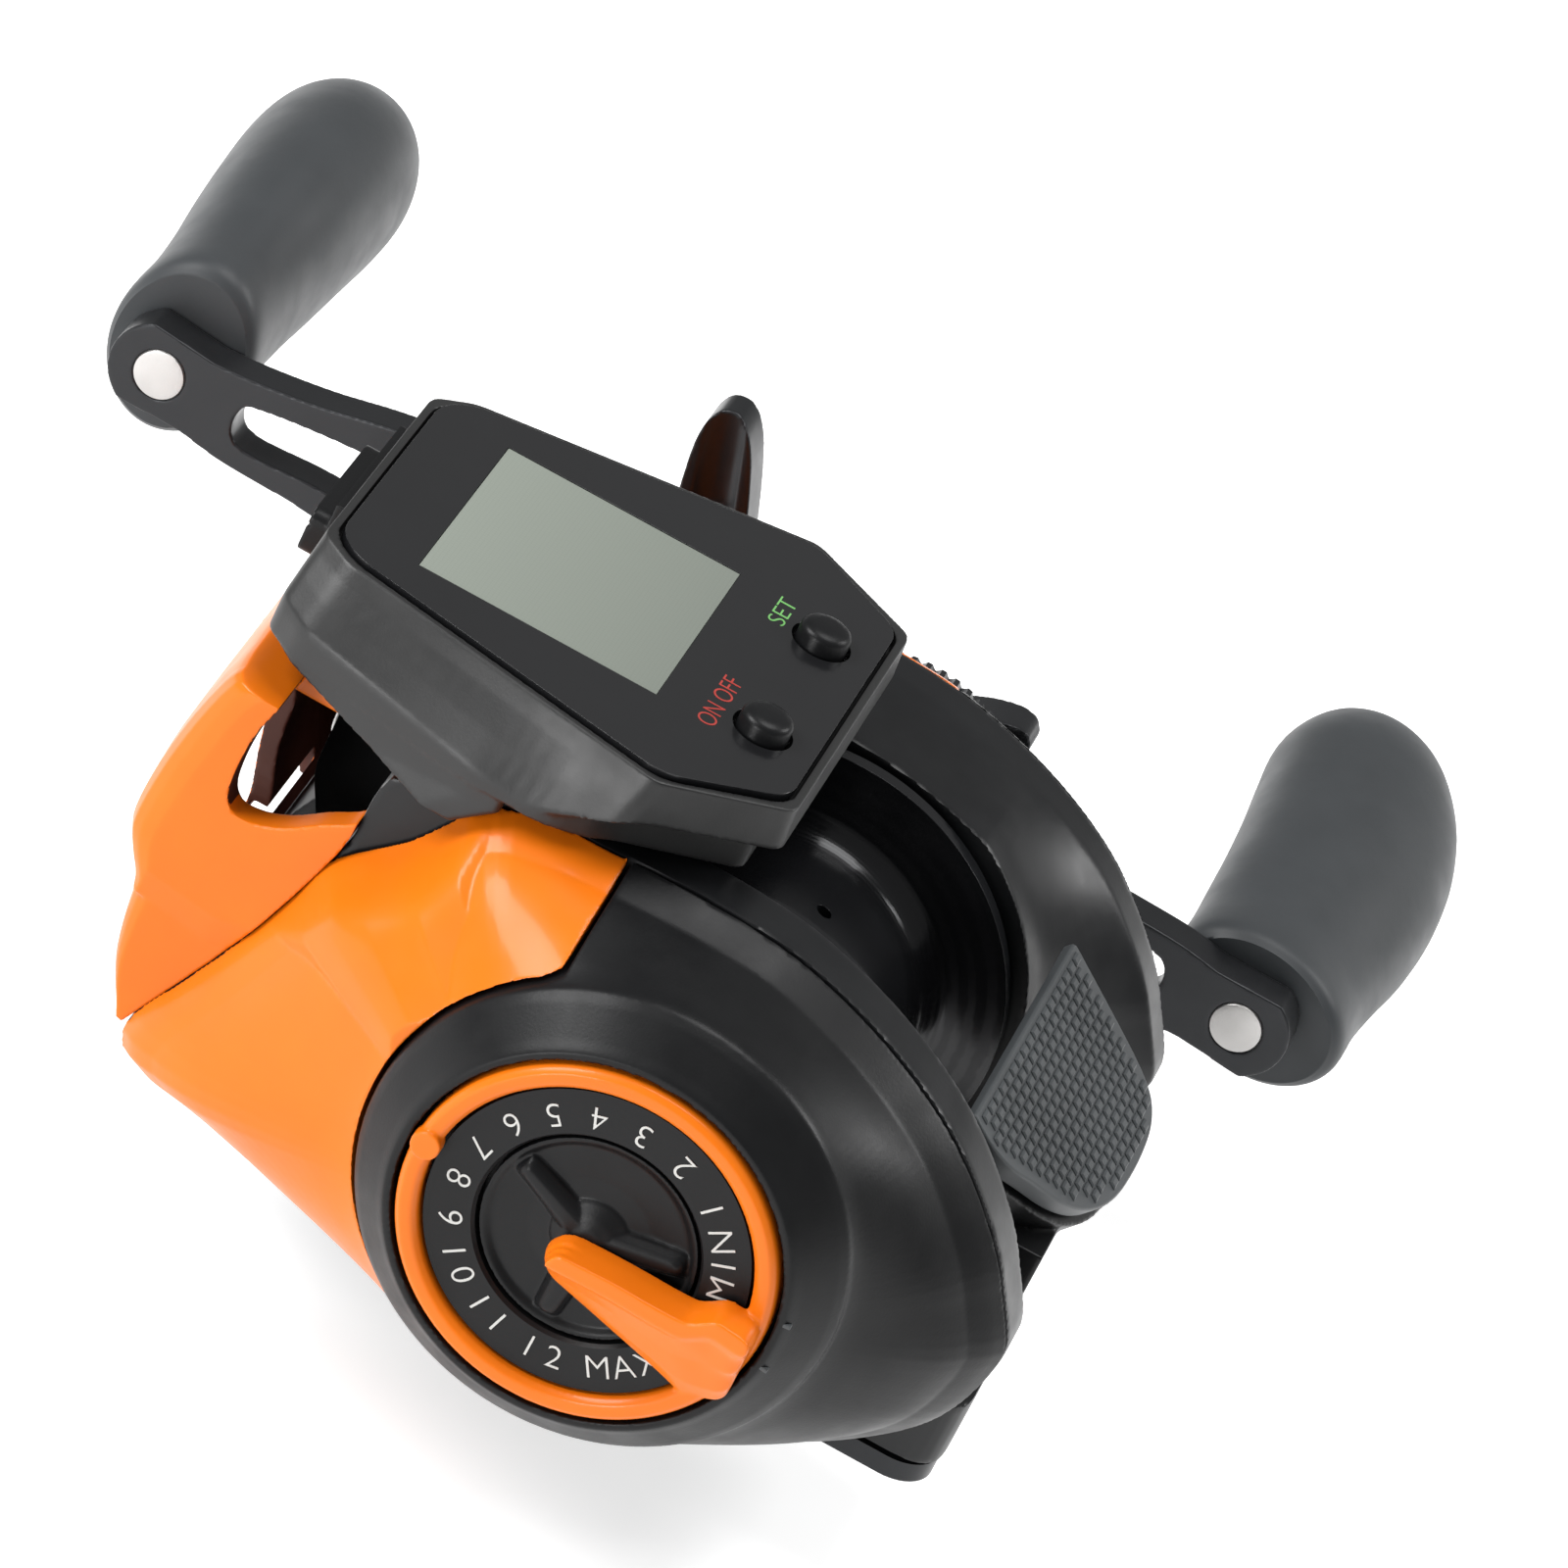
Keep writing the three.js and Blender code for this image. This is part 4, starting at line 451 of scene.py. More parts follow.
    @classmethod
    def axle(cls, radius: float, low: float, high: float, taper: float, chamfer: float) -> Piece:
        """A round bar along X with chamfered ends, taper smaller in radius over the chamfer's length."""
        tip = radius - taper
        return cls.spun("axle", [(0, low), (tip, low), (radius, low + chamfer), (radius, high - chamfer),
                                 (tip, high), (0, high)], steps=40)

    @classmethod
    def block(cls, low: Spot, high: Spot) -> Piece:
        """A straight block between two corners."""
        corners = [(low[0], low[1]), (high[0], low[1]), (high[0], high[1]), (low[0], high[1])]
        return cls.plate("block", corners, low[2], high[2], Axis.Z)

    @classmethod
    def apply(cls, piece: Piece, kind: str, **settings: object) -> Piece:
        """Adds a modifier with its settings and applies it."""
        cls.pick(piece)
        modifier = piece.modifiers.new(kind.lower(), kind)
        for key, value in settings.items():
            setattr(modifier, key, value)
        bpy.ops.object.modifier_apply(modifier=modifier.name)
        return piece

    @classmethod
    def boolean(cls, piece: Piece, solver: Solver, tools: tuple[Piece, ...]) -> Piece:
        """Cuts, joins or intersects piece with each tool in turn, and removes the tools."""
        for tool in tools:
            before = len(piece.data.polygons)
            spare = piece.data.copy()
            cls.apply(piece, "BOOLEAN", operation=solver.value, solver="MANIFOLD", object=tool)
            if len(piece.data.polygons) == 0 and before:
                piece.data = spare
                cls.apply(piece, "BOOLEAN", operation=solver.value, solver="EXACT", object=tool)
            bpy.data.objects.remove(tool, do_unlink=True)
        return piece

    @classmethod
    def cut(cls, piece: Piece, *tools: Piece) -> Piece:
        """Takes the tools out of piece."""
        return cls.boolean(piece, Solver.DIFFERENCE, tools)

    @classmethod
    def join(cls, piece: Piece, *others: Piece) -> Piece:
        """Joins the others to piece."""
        return cls.boolean(piece, Solver.UNION, others)

    @classmethod
    def keep(cls, piece: Piece, tool: Piece) -> Piece:
        """Keeps only what piece shares with the tool."""
        return cls.boolean(piece, Solver.INTERSECT, (tool,))

    @classmethod
    def bevel(cls, piece: Piece, width: float, segments: int = 3, angle: float = 32) -> Piece:
        """Rounds the edges sharper than an angle in degrees."""
        return cls.apply(piece, "BEVEL", width=width, segments=segments, limit_method="ANGLE",
                         angle_limit=math.radians(angle), use_clamp_overlap=True, miter_outer="MITER_ARC")

    @classmethod
    def mould(cls, piece: Piece, voxel: float, passes: int = 4, share: float = 1.0) -> Piece:
        """Gives piece an even skin with softly rounded edges, as a moulded or cast part has.

        Args:
            piece: The closed piece.
            voxel: The skin's mesh size.
            passes: How many smoothing passes follow.
            share: The share of faces kept at the end.

        Returns:
            The piece.
        """
        cls.pick(piece)
        piece.data.remesh_voxel_size = voxel
        bpy.ops.object.voxel_remesh()
        cls.apply(piece, "SMOOTH", factor=0.5, iterations=passes)
        if share < 1:
            cls.apply(piece, "DECIMATE", ratio=share)
        return piece

    @classmethod
    def place(cls, piece: Piece, place: Matrix) -> Piece:
        """Takes piece from millimetres in its own datum to metres in the row frame."""
        piece.data.transform(Matrix.Scale(MILLIMETRE, 4) @ place)
        piece.matrix_world = Matrix.Identity(4)
        return piece

    @classmethod
    def smooth(cls, piece: Piece, angle: float) -> Piece:
        """Shades piece smooth, with edges sharper than angle in degrees kept, and evens the light on small meshes."""
        cls.pick(piece)
        bpy.ops.object.shade_smooth_by_angle(angle=math.radians(angle))
        if len(piece.data.polygons) < cls.fine_mesh:
            cls.apply(piece, "WEIGHTED_NORMAL", weight=50, keep_sharp=True)
        return piece


def lift(point: Point, at: float, axis: Axis) -> Spot:
    """Sets a flat point at a place along an axis."""
    u, v = point
    return {Axis.X: (at, u, v), Axis.Y: (u, at, v), Axis.Z: (u, v, at)}[axis]


def finish_off(piece: Piece, name: str, finish: "Finish", *nodes: str, body: Body = Body.FRAME,
               place: Matrix = SPOOL_PLACE, slot: Slot | None = None, angle: float = 32) -> Piece:
    """Places, shades, paints and hangs up a finished piece.

    Args:
        piece: The piece in millimetres.
        name: Its name in the scene.
        finish: Its finish.
        nodes: The CAD nodes that it stands for.
        body: The body that carries it.
        place: Its datum.
        slot: The material slot, where it isn't the finish's own. Not used.
        angle: The sharpest smooth edge in degrees.

    Returns:
        The piece.
    """
    Bench.place(piece, place)
    Bench.smooth(piece, angle)
    Bench.call(piece, name)
    finish.dress(piece)
    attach(piece, body.value)
    if nodes:
        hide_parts(*nodes)
    log.info("%s: %d faces on %s", name, len(piece.data.polygons), body.value)
    return piece


@dataclass(frozen=True)
class Finish:
    """A moulded or painted surface with a fine grain, soft mottling and a slight change of gloss."""

    name: str
    colour: Spot
    roughness: float = 0.5
    slot: Slot = Slot.BLACK
    metallic: float = 0.0
    coat: float = 0.0
    coat_roughness: float = 0.1
    grain_size: float = 0.25
    grain_depth: float = 0.004
    mottle: float = 0.12
    gloss_change: float = 0.06
    specular: float = 0.5
    sheen: float = 0.0

    def material(self) -> bpy.types.Material:
        """The Blender material, made once."""
        found = bpy.data.materials.get(self.name)
        if found:
            return found
        made = bpy.data.materials.new(self.name)
        made.use_nodes = True
        tree = made.node_tree
        shader = tree.nodes["Principled BSDF"]
        for key, value in (("Metallic", self.metallic), ("Specular IOR Level", self.specular),
                           ("Coat Weight", self.coat), ("Coat Roughness", self.coat_roughness),
                           ("Sheen Weight", self.sheen)):
            shader.inputs[key].default_value = value
        self.paint(tree, shader)
        return made

    def dress(self, piece: Piece) -> None:
        """Gives piece this finish alone."""
        piece.data.materials.clear()
        piece.data.materials.append(self.material())

    def shade(self, factor: float) -> Spot:
        """The colour made darker or lighter by a factor."""
        return tuple(min(1.0, value * factor) for value in self.colour)

    def add(self, tree: Tree, kind: str, **inputs: object) -> bpy.types.Node:
        """Adds a node and sets its inputs by name."""
        node = tree.nodes.new(kind)
        for key, value in inputs.items():
            node.inputs[key.replace("_", " ")].default_value = value
        return node

    def coordinates(self, tree: Tree) -> Socket:
        """The object's own coordinates in metres."""
        return tree.nodes.new("ShaderNodeTexCoord").outputs["Object"]

    def noise(self, tree: Tree, size: float, detail: float = 3) -> Socket:
        """A noise pattern with features of a size in millimetres."""
        node = self.add(tree, "ShaderNodeTexNoise", Scale=1 / (size * MILLIMETRE), Detail=detail, Roughness=0.55)
        tree.links.new(self.coordinates(tree), node.inputs["Vector"])
        return node.outputs["Fac"]

    def remap(self, tree: Tree, source: Socket, low: float, high: float) -> Socket:
        """Spreads a 0.3 to 0.7 pattern over low to high."""
        node = self.add(tree, "ShaderNodeMapRange", From_Min=0.3, From_Max=0.7, To_Min=low, To_Max=high)
        tree.links.new(source, node.inputs["Value"])
        return node.outputs["Result"]

    def tint(self, tree: Tree, amount: Socket, dark: Spot, light: Spot) -> Socket:
        """Mixes from a dark to a light colour by an amount."""
        node = tree.nodes.new("ShaderNodeMix")
        node.data_type = "RGBA"
        node.inputs["A"].default_value = (*dark, 1)
        node.inputs["B"].default_value = (*light, 1)
        tree.links.new(amount, node.inputs["Factor"])
        return node.outputs["Result"]

    def bump(self, tree: Tree, shader: bpy.types.Node, height: Socket, depth: float) -> None:
        """Raises the surface by a pattern, to a depth in millimetres."""
        node = self.add(tree, "ShaderNodeBump", Distance=depth * MILLIMETRE, Strength=1.0)
        tree.links.new(height, node.inputs["Height"])
        tree.links.new(node.outputs["Normal"], shader.inputs["Normal"])

    def gloss(self, tree: Tree, shader: bpy.types.Node, pattern: Socket) -> None:
        """Lets the roughness wander with a pattern."""
        low, high = self.roughness - self.gloss_change, self.roughness + self.gloss_change
        tree.links.new(self.remap(tree, pattern, low, high), shader.inputs["Roughness"])

    def paint(self, tree: Tree, shader: bpy.types.Node) -> None:
        """Sets the colour, gloss and grain."""
        cloud = self.remap(tree, self.noise(tree, 9), 0, 1)
        colour = self.tint(tree, cloud, self.shade(1 - self.mottle), self.shade(1 + self.mottle))
        tree.links.new(colour, shader.inputs["Base Color"])
        self.gloss(tree, shader, self.noise(tree, 3.5, 5))
        self.bump(tree, shader, self.noise(tree, self.grain_size, 2), self.grain_depth)


@dataclass(frozen=True)
class Turned(Finish):
    """Metal with the fine rings that a lathe leaves round the X axis."""

    ring_pitch: float = 0.12

    def paint(self, tree: Tree, shader: bpy.types.Node) -> None:
        """Adds rings round X to the metal."""
        cloud = self.remap(tree, self.noise(tree, 5), 0, 1)
        colour = self.tint(tree, cloud, self.shade(1 - self.mottle), self.colour)
        tree.links.new(colour, shader.inputs["Base Color"])
        wave = self.add(tree, "ShaderNodeTexWave", Scale=0.16 / (self.ring_pitch * MILLIMETRE), Distortion=1.5,
                        Detail=2.0)
        wave.wave_type = "BANDS"
        wave.bands_direction = "X"
        tree.links.new(self.coordinates(tree), wave.inputs["Vector"])
        self.gloss(tree, shader, wave.outputs["Fac"])
        self.bump(tree, shader, wave.outputs["Fac"], self.grain_depth)


@dataclass(frozen=True)
class Glow(Finish):
    """A pale surface lit from behind, as a light table is."""

    strength: float = 0.62

    def paint(self, tree: Tree, shader: bpy.types.Node) -> None:
        """Adds an even glow to the plain finish."""
        super().paint(tree, shader)
        shader.inputs["Emission Color"].default_value = (1, 1, 1, 1)
        shader.inputs["Emission Strength"].default_value = self.strength


@dataclass(frozen=True)
class Weave(Finish):
    """Woven carbon cloth set in resin."""

    tow: float = 0.6

    def paint(self, tree: Tree, shader: bpy.types.Node) -> None:
        """Lays a chequered weave across the X axis."""
        checker = self.add(tree, "ShaderNodeTexChecker", Scale=1 / (self.tow * MILLIMETRE),
                           Color1=(*self.colour, 1), Color2=(*self.shade(2.2), 1))
        tree.links.new(self.coordinates(tree), checker.inputs["Vector"])
        tree.links.new(checker.outputs["Color"], shader.inputs["Base Color"])
        shader.inputs["Roughness"].default_value = self.roughness
        self.bump(tree, shader, checker.outputs["Fac"], self.grain_depth)


@dataclass(frozen=True)
class LiquidCrystal(Finish):
    """A grey-green display under glass, a little paler towards the front, with its fine cell grid."""

    cell: float = 0.28
    line_share: float = 0.07
    fade_from: float = 10
    fade_to: float = 27

    def paint(self, tree: Tree, shader: bpy.types.Node) -> None:
        """Shades the glass along Y and lays the cell grid on it."""
        split = tree.nodes.new("ShaderNodeSeparateXYZ")
        tree.links.new(self.coordinates(tree), split.inputs["Vector"])
        fade = self.add(tree, "ShaderNodeMapRange", From_Min=self.fade_from * MILLIMETRE,
                        From_Max=self.fade_to * MILLIMETRE)
        tree.links.new(split.outputs["Y"], fade.inputs["Value"])
        shade = self.tint(tree, fade.outputs["Result"], self.shade(0.9), self.shade(1.16))
        cell = self.cell * MILLIMETRE
        grid = self.add(tree, "ShaderNodeTexBrick", Scale=1.0, Brick_Width=cell, Row_Height=cell,
                        Mortar_Size=cell * self.line_share, Color1=(1, 1, 1, 1), Color2=(1, 1, 1, 1),
                        Mortar=(0.94, 0.94, 0.94, 1))
        grid.offset = 0.0
        tree.links.new(self.coordinates(tree), grid.inputs["Vector"])
        mix = self.add(tree, "ShaderNodeMix", Factor=1.0)
        mix.data_type = "RGBA"
        mix.blend_type = "MULTIPLY"
        tree.links.new(shade, mix.inputs["A"])
        tree.links.new(grid.outputs["Color"], mix.inputs["B"])
        tree.links.new(mix.outputs["Result"], shader.inputs["Base Color"])
        shader.inputs["Roughness"].default_value = self.roughness


@dataclass(frozen=True)
class Board(Finish):
    """Green solder resist with copper tracks under it."""

    def paint(self, tree: Tree, shader: bpy.types.Node) -> None:
        """Draws the tracks as thin bands on a noise."""
        tracks = self.remap(tree, self.noise(tree, 2.5, 0), 0, 1)
        tree.links.new(self.tint(tree, tracks, self.colour, self.shade(1.8)), shader.inputs["Base Color"])
        shader.inputs["Roughness"].default_value = self.roughness
        self.bump(tree, shader, tracks, self.grain_depth)


ORANGE = Finish("orange_lacquer", (0.68, 0.142, 0.003), 0.36, Slot.ORANGE, coat=0.16, coat_roughness=0.12,
                grain_size=0.5, grain_depth=0.002, mottle=0.05, gloss_change=0.04, specular=0.2)
BLACK = Finish("black_moulded", (0.0055, 0.0057, 0.0062), 0.38, grain_size=0.2, grain_depth=0.007, specular=0.2)
HOUSING_BLACK = Finish("housing_moulded", (0.0145, 0.0147, 0.0148), 0.42, grain_size=0.2, grain_depth=0.007,
                       specular=0.42)
FRAME_BLACK = Finish("frame_moulded", (0.0058, 0.0062, 0.007), 0.34, Slot.FRAME, grain_size=0.3, specular=0.32)
# Painted shade: the inside of the nose is the same orange plastic, darkened to a brownish red where it lies in
# shadow.
NOSE_INSIDE_SHADE = Finish("nose_inside_painted_shade", (0.05, 0.012, 0.006), 0.55, Slot.ORANGE, grain_size=0.3, specular=0.3)
ANODISED = Finish("black_anodised", (0.022, 0.023, 0.025), 0.34, Slot.ALUMINIUM, metallic=0.6, grain_size=0.16)
SPOOL_BLACK = Turned("spool_anodised", (0.012, 0.0125, 0.014), 0.2, Slot.ALUMINIUM, metallic=0.4, grain_depth=0.002,
                     gloss_change=0.04)
GLOSS_PANEL = Finish("gloss_panel", (0.0085, 0.0087, 0.0095), 0.2, Slot.PANEL, coat=0.25, coat_roughness=0.08,
                     grain_size=2.0, grain_depth=0.0015, mottle=0.05, gloss_change=0.03, specular=0.4)
CRYSTAL = LiquidCrystal("liquid_crystal", (0.19, 0.21, 0.182), 0.3, Slot.GLASS, coat=0.2, specular=0.35)
RUBBER = Finish("soft_rubber", (0.029, 0.0325, 0.0355), 0.5, Slot.RUBBER, grain_size=0.14, grain_depth=0.006,
                mottle=0.1, sheen=0.06, specular=0.35)
STEEL = Turned("bright_steel", (0.62, 0.61, 0.59), 0.27, Slot.STEEL, metallic=1.0, grain_depth=0.002)
PIN_STEEL = Finish("pin_steel", (0.45, 0.44, 0.43), 0.4, Slot.STEEL, metallic=1.0, grain_size=0.18, grain_depth=0.012,
                   mottle=0.2, gloss_change=0.08)
DARK_STEEL = Finish("dark_steel", (0.11, 0.112, 0.118), 0.34, Slot.DARK_STEEL, metallic=1.0, grain_size=0.12,
                    grain_depth=0.003)
BRASS = Turned("machined_brass", (0.62, 0.42, 0.14), 0.26, Slot.BRASS, metallic=1.0, grain_depth=0.002)
CARBON = Weave("woven_carbon", (0.02, 0.02, 0.021), 0.3, Slot.CARBON, coat=0.5, grain_depth=0.02)
RESIST = Board("solder_resist", (0.015, 0.13, 0.035), 0.35, Slot.BOARD, grain_depth=0.01)
GRIP = Finish("thumb_grip", (0.048, 0.053, 0.056), 0.46, Slot.PAD, grain_size=0.12, grain_depth=0.005, mottle=0.16,
              specular=0.4)
CERAMIC = Finish("guide_ceramic", (0.82, 0.8, 0.76), 0.12, Slot.CERAMIC, coat=0.4, grain_size=1.5, grain_depth=0.001,
                 mottle=0.03)
WHITE_INK = Finish("white_ink", (0.5, 0.5, 0.48), 0.55, grain_size=0.1, grain_depth=0.002, mottle=0.06)
GREEN_INK = Finish("green_ink", (0.13, 0.36, 0.1), 0.5, Slot.PANEL, grain_size=0.1, grain_depth=0.002, mottle=0.1)
RED_INK = Finish("red_ink", (0.34, 0.03, 0.022), 0.5, Slot.PANEL, grain_size=0.1, grain_depth=0.002, mottle=0.1)
FLOOR = Glow("pale_floor", (0.8, 0.8, 0.8), 0.7, grain_size=6, grain_depth=0.01, mottle=0.01, specular=0.2)


@dataclass
class BodyShape:
    """The reel's outline seen along the spool axis, and the seams across it."""

    rear: float = 26
    front: float = 33.3
    top: float = 17.8
    bottom: float = 18.9
    gear_case_drop: float = 1.3
    handle_top_share: float = 0.955
    palm_seam: float = -17.5
    handle_seam: float = 22.7
    rear_and_top_shares: Line = (
        (-1, -0.05), (-0.98, 0.02), (-0.93, 0.15), (-0.885, 0.26), (-0.792, 0.425), (-0.658, 0.61),
        (-0.512, 0.75), (-0.338, 0.87), (-0.142, 0.96), (0, 0.99), (0.16, 1), (0.28, 0.99))
    upper_front_shares: Line = ((0.45, 0.965), (0.55, 0.905), (0.658, 0.63), (0.778, 0.393))
    plate_front_shares: Line = (
        (0.45, 0.97), (0.59, 0.95), (0.617, 0.84), (0.74, 0.81), (0.758, 0.7), (0.762, 0.5), (0.778, 0.393))
    lower_front_shares: Line = (
        (0.814, 0.185), (0.85, 0), (0.895, -0.19), (0.943, -0.365), (0.994, -0.55), (1, -0.64), (0.975, -0.7))
    palm_below_shares: Line = (
        (0.84, -0.75), (0.6, -0.86), (0.3, -0.965), (0, -1), (-0.288, -0.974), (-0.546, -0.847),
        (-0.758, -0.667), (-0.912, -0.455), (-0.973, -0.28))
    gear_case_shares: Line = (
        (0.86, -0.8), (0.68, -0.955), (0.42, -1), (0.18, -0.985), (0, -0.945), (-0.27, -0.87), (-0.5, -0.74),
        (-0.7, -0.57), (-0.87, -0.37), (-0.955, -0.22))

    @property
    def middle(self) -> float:
        """Half way between the two seams."""
        return (self.palm_seam + self.handle_seam) / 2

    @property
    def half_span(self) -> float:
        """Half of the distance between the two seams."""
        return (self.handle_seam - self.palm_seam) / 2

    def points(self, shares: Line, bottom: float) -> list[Point]:
        """Turns shares into places on the outline."""
        return [(u * (self.rear if u < 0 else self.front), v * (bottom if v < 0 else self.top)) for u, v in shares]

    def around(self, upper_front: Line) -> Reach:
        """The palm side's whole outline, with one of its two upper fronts."""
        shares = self.rear_and_top_shares + upper_front + self.lower_front_shares + self.palm_below_shares
        return Reach(self.points(shares, self.bottom))

    def palm(self) -> Reach:
        """The palm side's outline."""
        return self.around(self.upper_front_shares)

    def plate(self) -> Reach:
        """The outline of the frame's palm plate."""
        return self.around(self.plate_front_shares)

    def handle(self) -> Reach:
        """The handle side's outline, a little lower under the line counter."""
        drop = 1 - self.handle_top_share
        top = [(y, z * (1 - drop * smooth_step(-self.rear, 0, y)) if z > 0 else z)
               for y, z in self.points(self.rear_and_top_shares, self.bottom)]
        front = self.points(self.upper_front_shares + self.lower_front_shares, self.bottom)
        return Reach(top + front + self.points(self.gear_case_shares, self.bottom + self.gear_case_drop))

    def seam_forward(self, height: float) -> float:
        """Fore and aft place of the slanted seam behind the nose cover at a height."""
        line = self.points(self.plate_front_shares[3:] + self.lower_front_shares[:-2], self.bottom)
        k = 0
        while k + 2 < len(line) and height < line[k + 1][1]:
            k += 1
        (y0, z0), (y1, z1) = line[k], line[k + 1]
        return y0 + (y1 - y0) * (z0 - height) / (z0 - z1)


def ring_at(at: float, reach: Reaching, count: int = Bench.facets) -> Ring:
    """A ring across X with a reach for each direction."""
    angles = [math.tau * k / count for k in range(count)]
    return [(at, reach(a) * math.cos(a), reach(a) * math.sin(a)) for a in angles]


@dataclass
class MainFrame:
    """The one-piece frame: two side plates, the floor, the bars and the bridge under the line counter."""

    body: BodyShape
    palm_plate: Point = (-17.2, -13.3)
    handle_inner: float = 10.2
    handle_rim: float = 3
    handle_wall: float = 2.9
    well_radius: float = 16.8
    lip_radius: float = 17.2
    floor: Point = (-18.7, -17.7)
    foot_half_width: float = 7.5
    bridge_y: Point = (13.5, 20.5)
    bridge_z: Point = (13.6, 15.4)
    counter_centre: float = -1
    counter_bottom: float = 18.1
    screw_side: float = 5.5
    screw_forward: float = 16.4
    screw_hole: float = 1.25
    pockets: tuple[tuple[float, Point], ...] = ((13.3, SHAFT), (8.6, (0, 0)), (4.5, WORM))
    plate_bores: tuple[tuple[float, Point], ...] = ((4, (0, 0)), (1.55, WORM), (1.35, GUIDE_ROD))
    shaft_bore: float = 2.25
    shaft_seat: float = 11.15
    open_degrees: tuple[float, ...] = (62, 82, 232, 252)
    floor_y: Point = (-14.3, 15.5)
    pedestal_half: float = 8
    pedestal_front: float = 19.2
    lug_y: Point = (-25.7, -10.4)
    lug_height: float = 5.1
    lug_corner: float = 3
    lug_clearance: float = 17.2
    rivet_hole: float = 1.35
    rivet_z: Point = (-20, -16.4)
    rivet_y: Point = (22, -20)
    front_bar: Line = (
        (13.5, -18.7), (27.2, -18.7), (31.6, -13.2), (31.6, -12.2), (25.9, -13.2), (19, -14.2), (13.5, -17.7))
    dish_shares: Line = ((0, 0), (0.035, 0.012), (0.09, 0.03), (0.21, 0.1), (0.4, 0.3), (0.6, 0.52), (1, 1))

    def opening(self, angle: float) -> float:
        """How open the dish is in a direction, from 0 to 1."""
        degrees = math.degrees(angle) % 360
        shut, opened, closing, closed = self.open_degrees
        return smooth_step(shut, opened, degrees) * (1 - smooth_step(closing, closed, degrees))

    def handle_plate(self) -> Piece:
        """The dished plate beside the spool, hollowed behind for the gears."""
        reach = self.body.handle()
        rim = self.body.handle_seam - self.handle_rim
        rings = []
        for across, out in smooth_line(self.dish_shares, steps=4):

            def dished(angle: float, out: float = out) -> float:
                """The reach of one ring, drawn in to the spool's lip where the dish is open."""
                full = reach(angle)
                lip = min(self.lip_radius, full - SEAT_GAP)
                return full - self.opening(angle) * (1 - out) * (full - lip)
            rings.append(ring_at(self.handle_inner + across * (rim - self.handle_inner), dished))
        rings.append(ring_at(self.body.handle_seam, reach))
        plate = Bench.loft("handle_plate", rings)
        left, right = self.handle_inner + self.handle_wall, self.body.handle_seam + OVERRUN
        tools = [Bench.rod(radius, left, right, place) for radius, place in self.pockets]
        tools.append(Bench.rod(self.shaft_bore, self.shaft_seat, right, SHAFT))
        tools += [Bench.rod(radius + SLIP_GAP, self.handle_inner - OVERRUN, left + OVERRUN, place)
                  for radius, place in self.plate_bores]
        return Bench.cut(plate, *tools)

    def palm_side(self) -> Piece:
        """The flat plate on the palm side with the opening that the spool comes out of."""
        outline = [point[1:] for point in ring_at(0, self.body.plate())]
        plate = Bench.plate("palm_plate", outline, *self.palm_plate)
        low, high = self.palm_plate[0] - OVERRUN, self.palm_plate[1] + OVERRUN
        bores = [Bench.rod(radius, low, high, place) for radius, place in self.plate_bores[1:]]
        return Bench.cut(plate, Bench.rod(self.well_radius, low, high, steps=128), *bores)

    def bars(self) -> list[Piece]:
        """The floor, the bars over the foot, the bridge and its pedestal."""
        low, high = self.palm_plate[1] - OVERRUN, self.handle_inner + OVERRUN
        half = self.foot_half_width
        (rear, front), (under, over) = self.bridge_y, self.bridge_z
        floor = Bench.block((low, self.floor_y[0], self.floor[0]), (high, self.floor_y[1], self.floor[1]))
        bridge = Bench.block((low, rear, under), (high, front, over))
        pedestal = Bench.block((self.counter_centre - self.pedestal_half, rear, under),
                               (self.counter_centre + self.pedestal_half, self.pedestal_front,
                                self.counter_bottom - SEAT_GAP))
        back, fore = self.lug_y
        lug = Bench.plate("lug", rounded([(half, fore), (-half, fore), (-half, back), (half, back)], self.lug_corner),
                          self.floor[0], self.floor[0] + self.lug_height, Axis.Z)
        lug = Bench.cut(lug, Bench.rod(self.lug_clearance, -half * 1.2, half * 1.2))
        front = Bench.plate("front_bar", self.front_bar, -half, high)
        return [floor, bridge, pedestal, lug, front]

    def build(self) -> None:
        """Models the frame and stands it for its CAD node."""
        piece = Bench.join(self.palm_side(), self.handle_plate(), *self.bars())
        top = self.counter_bottom + OVERRUN
        holes = [Bench.rod(self.screw_hole, self.bridge_z[0] - OVERRUN, top,
                           (self.counter_centre + side, self.screw_forward), Axis.Z)
                 for side in (-self.screw_side, self.screw_side)]
        holes += [Bench.rod(self.rivet_hole, *self.rivet_z, (0, y), Axis.Z) for y in self.rivet_y]
        piece = Bench.mould(Bench.cut(piece, *holes), 0.3, 3, 0.6)
        finish_off(piece, "frame_casting", FRAME_BLACK, "main_frame")


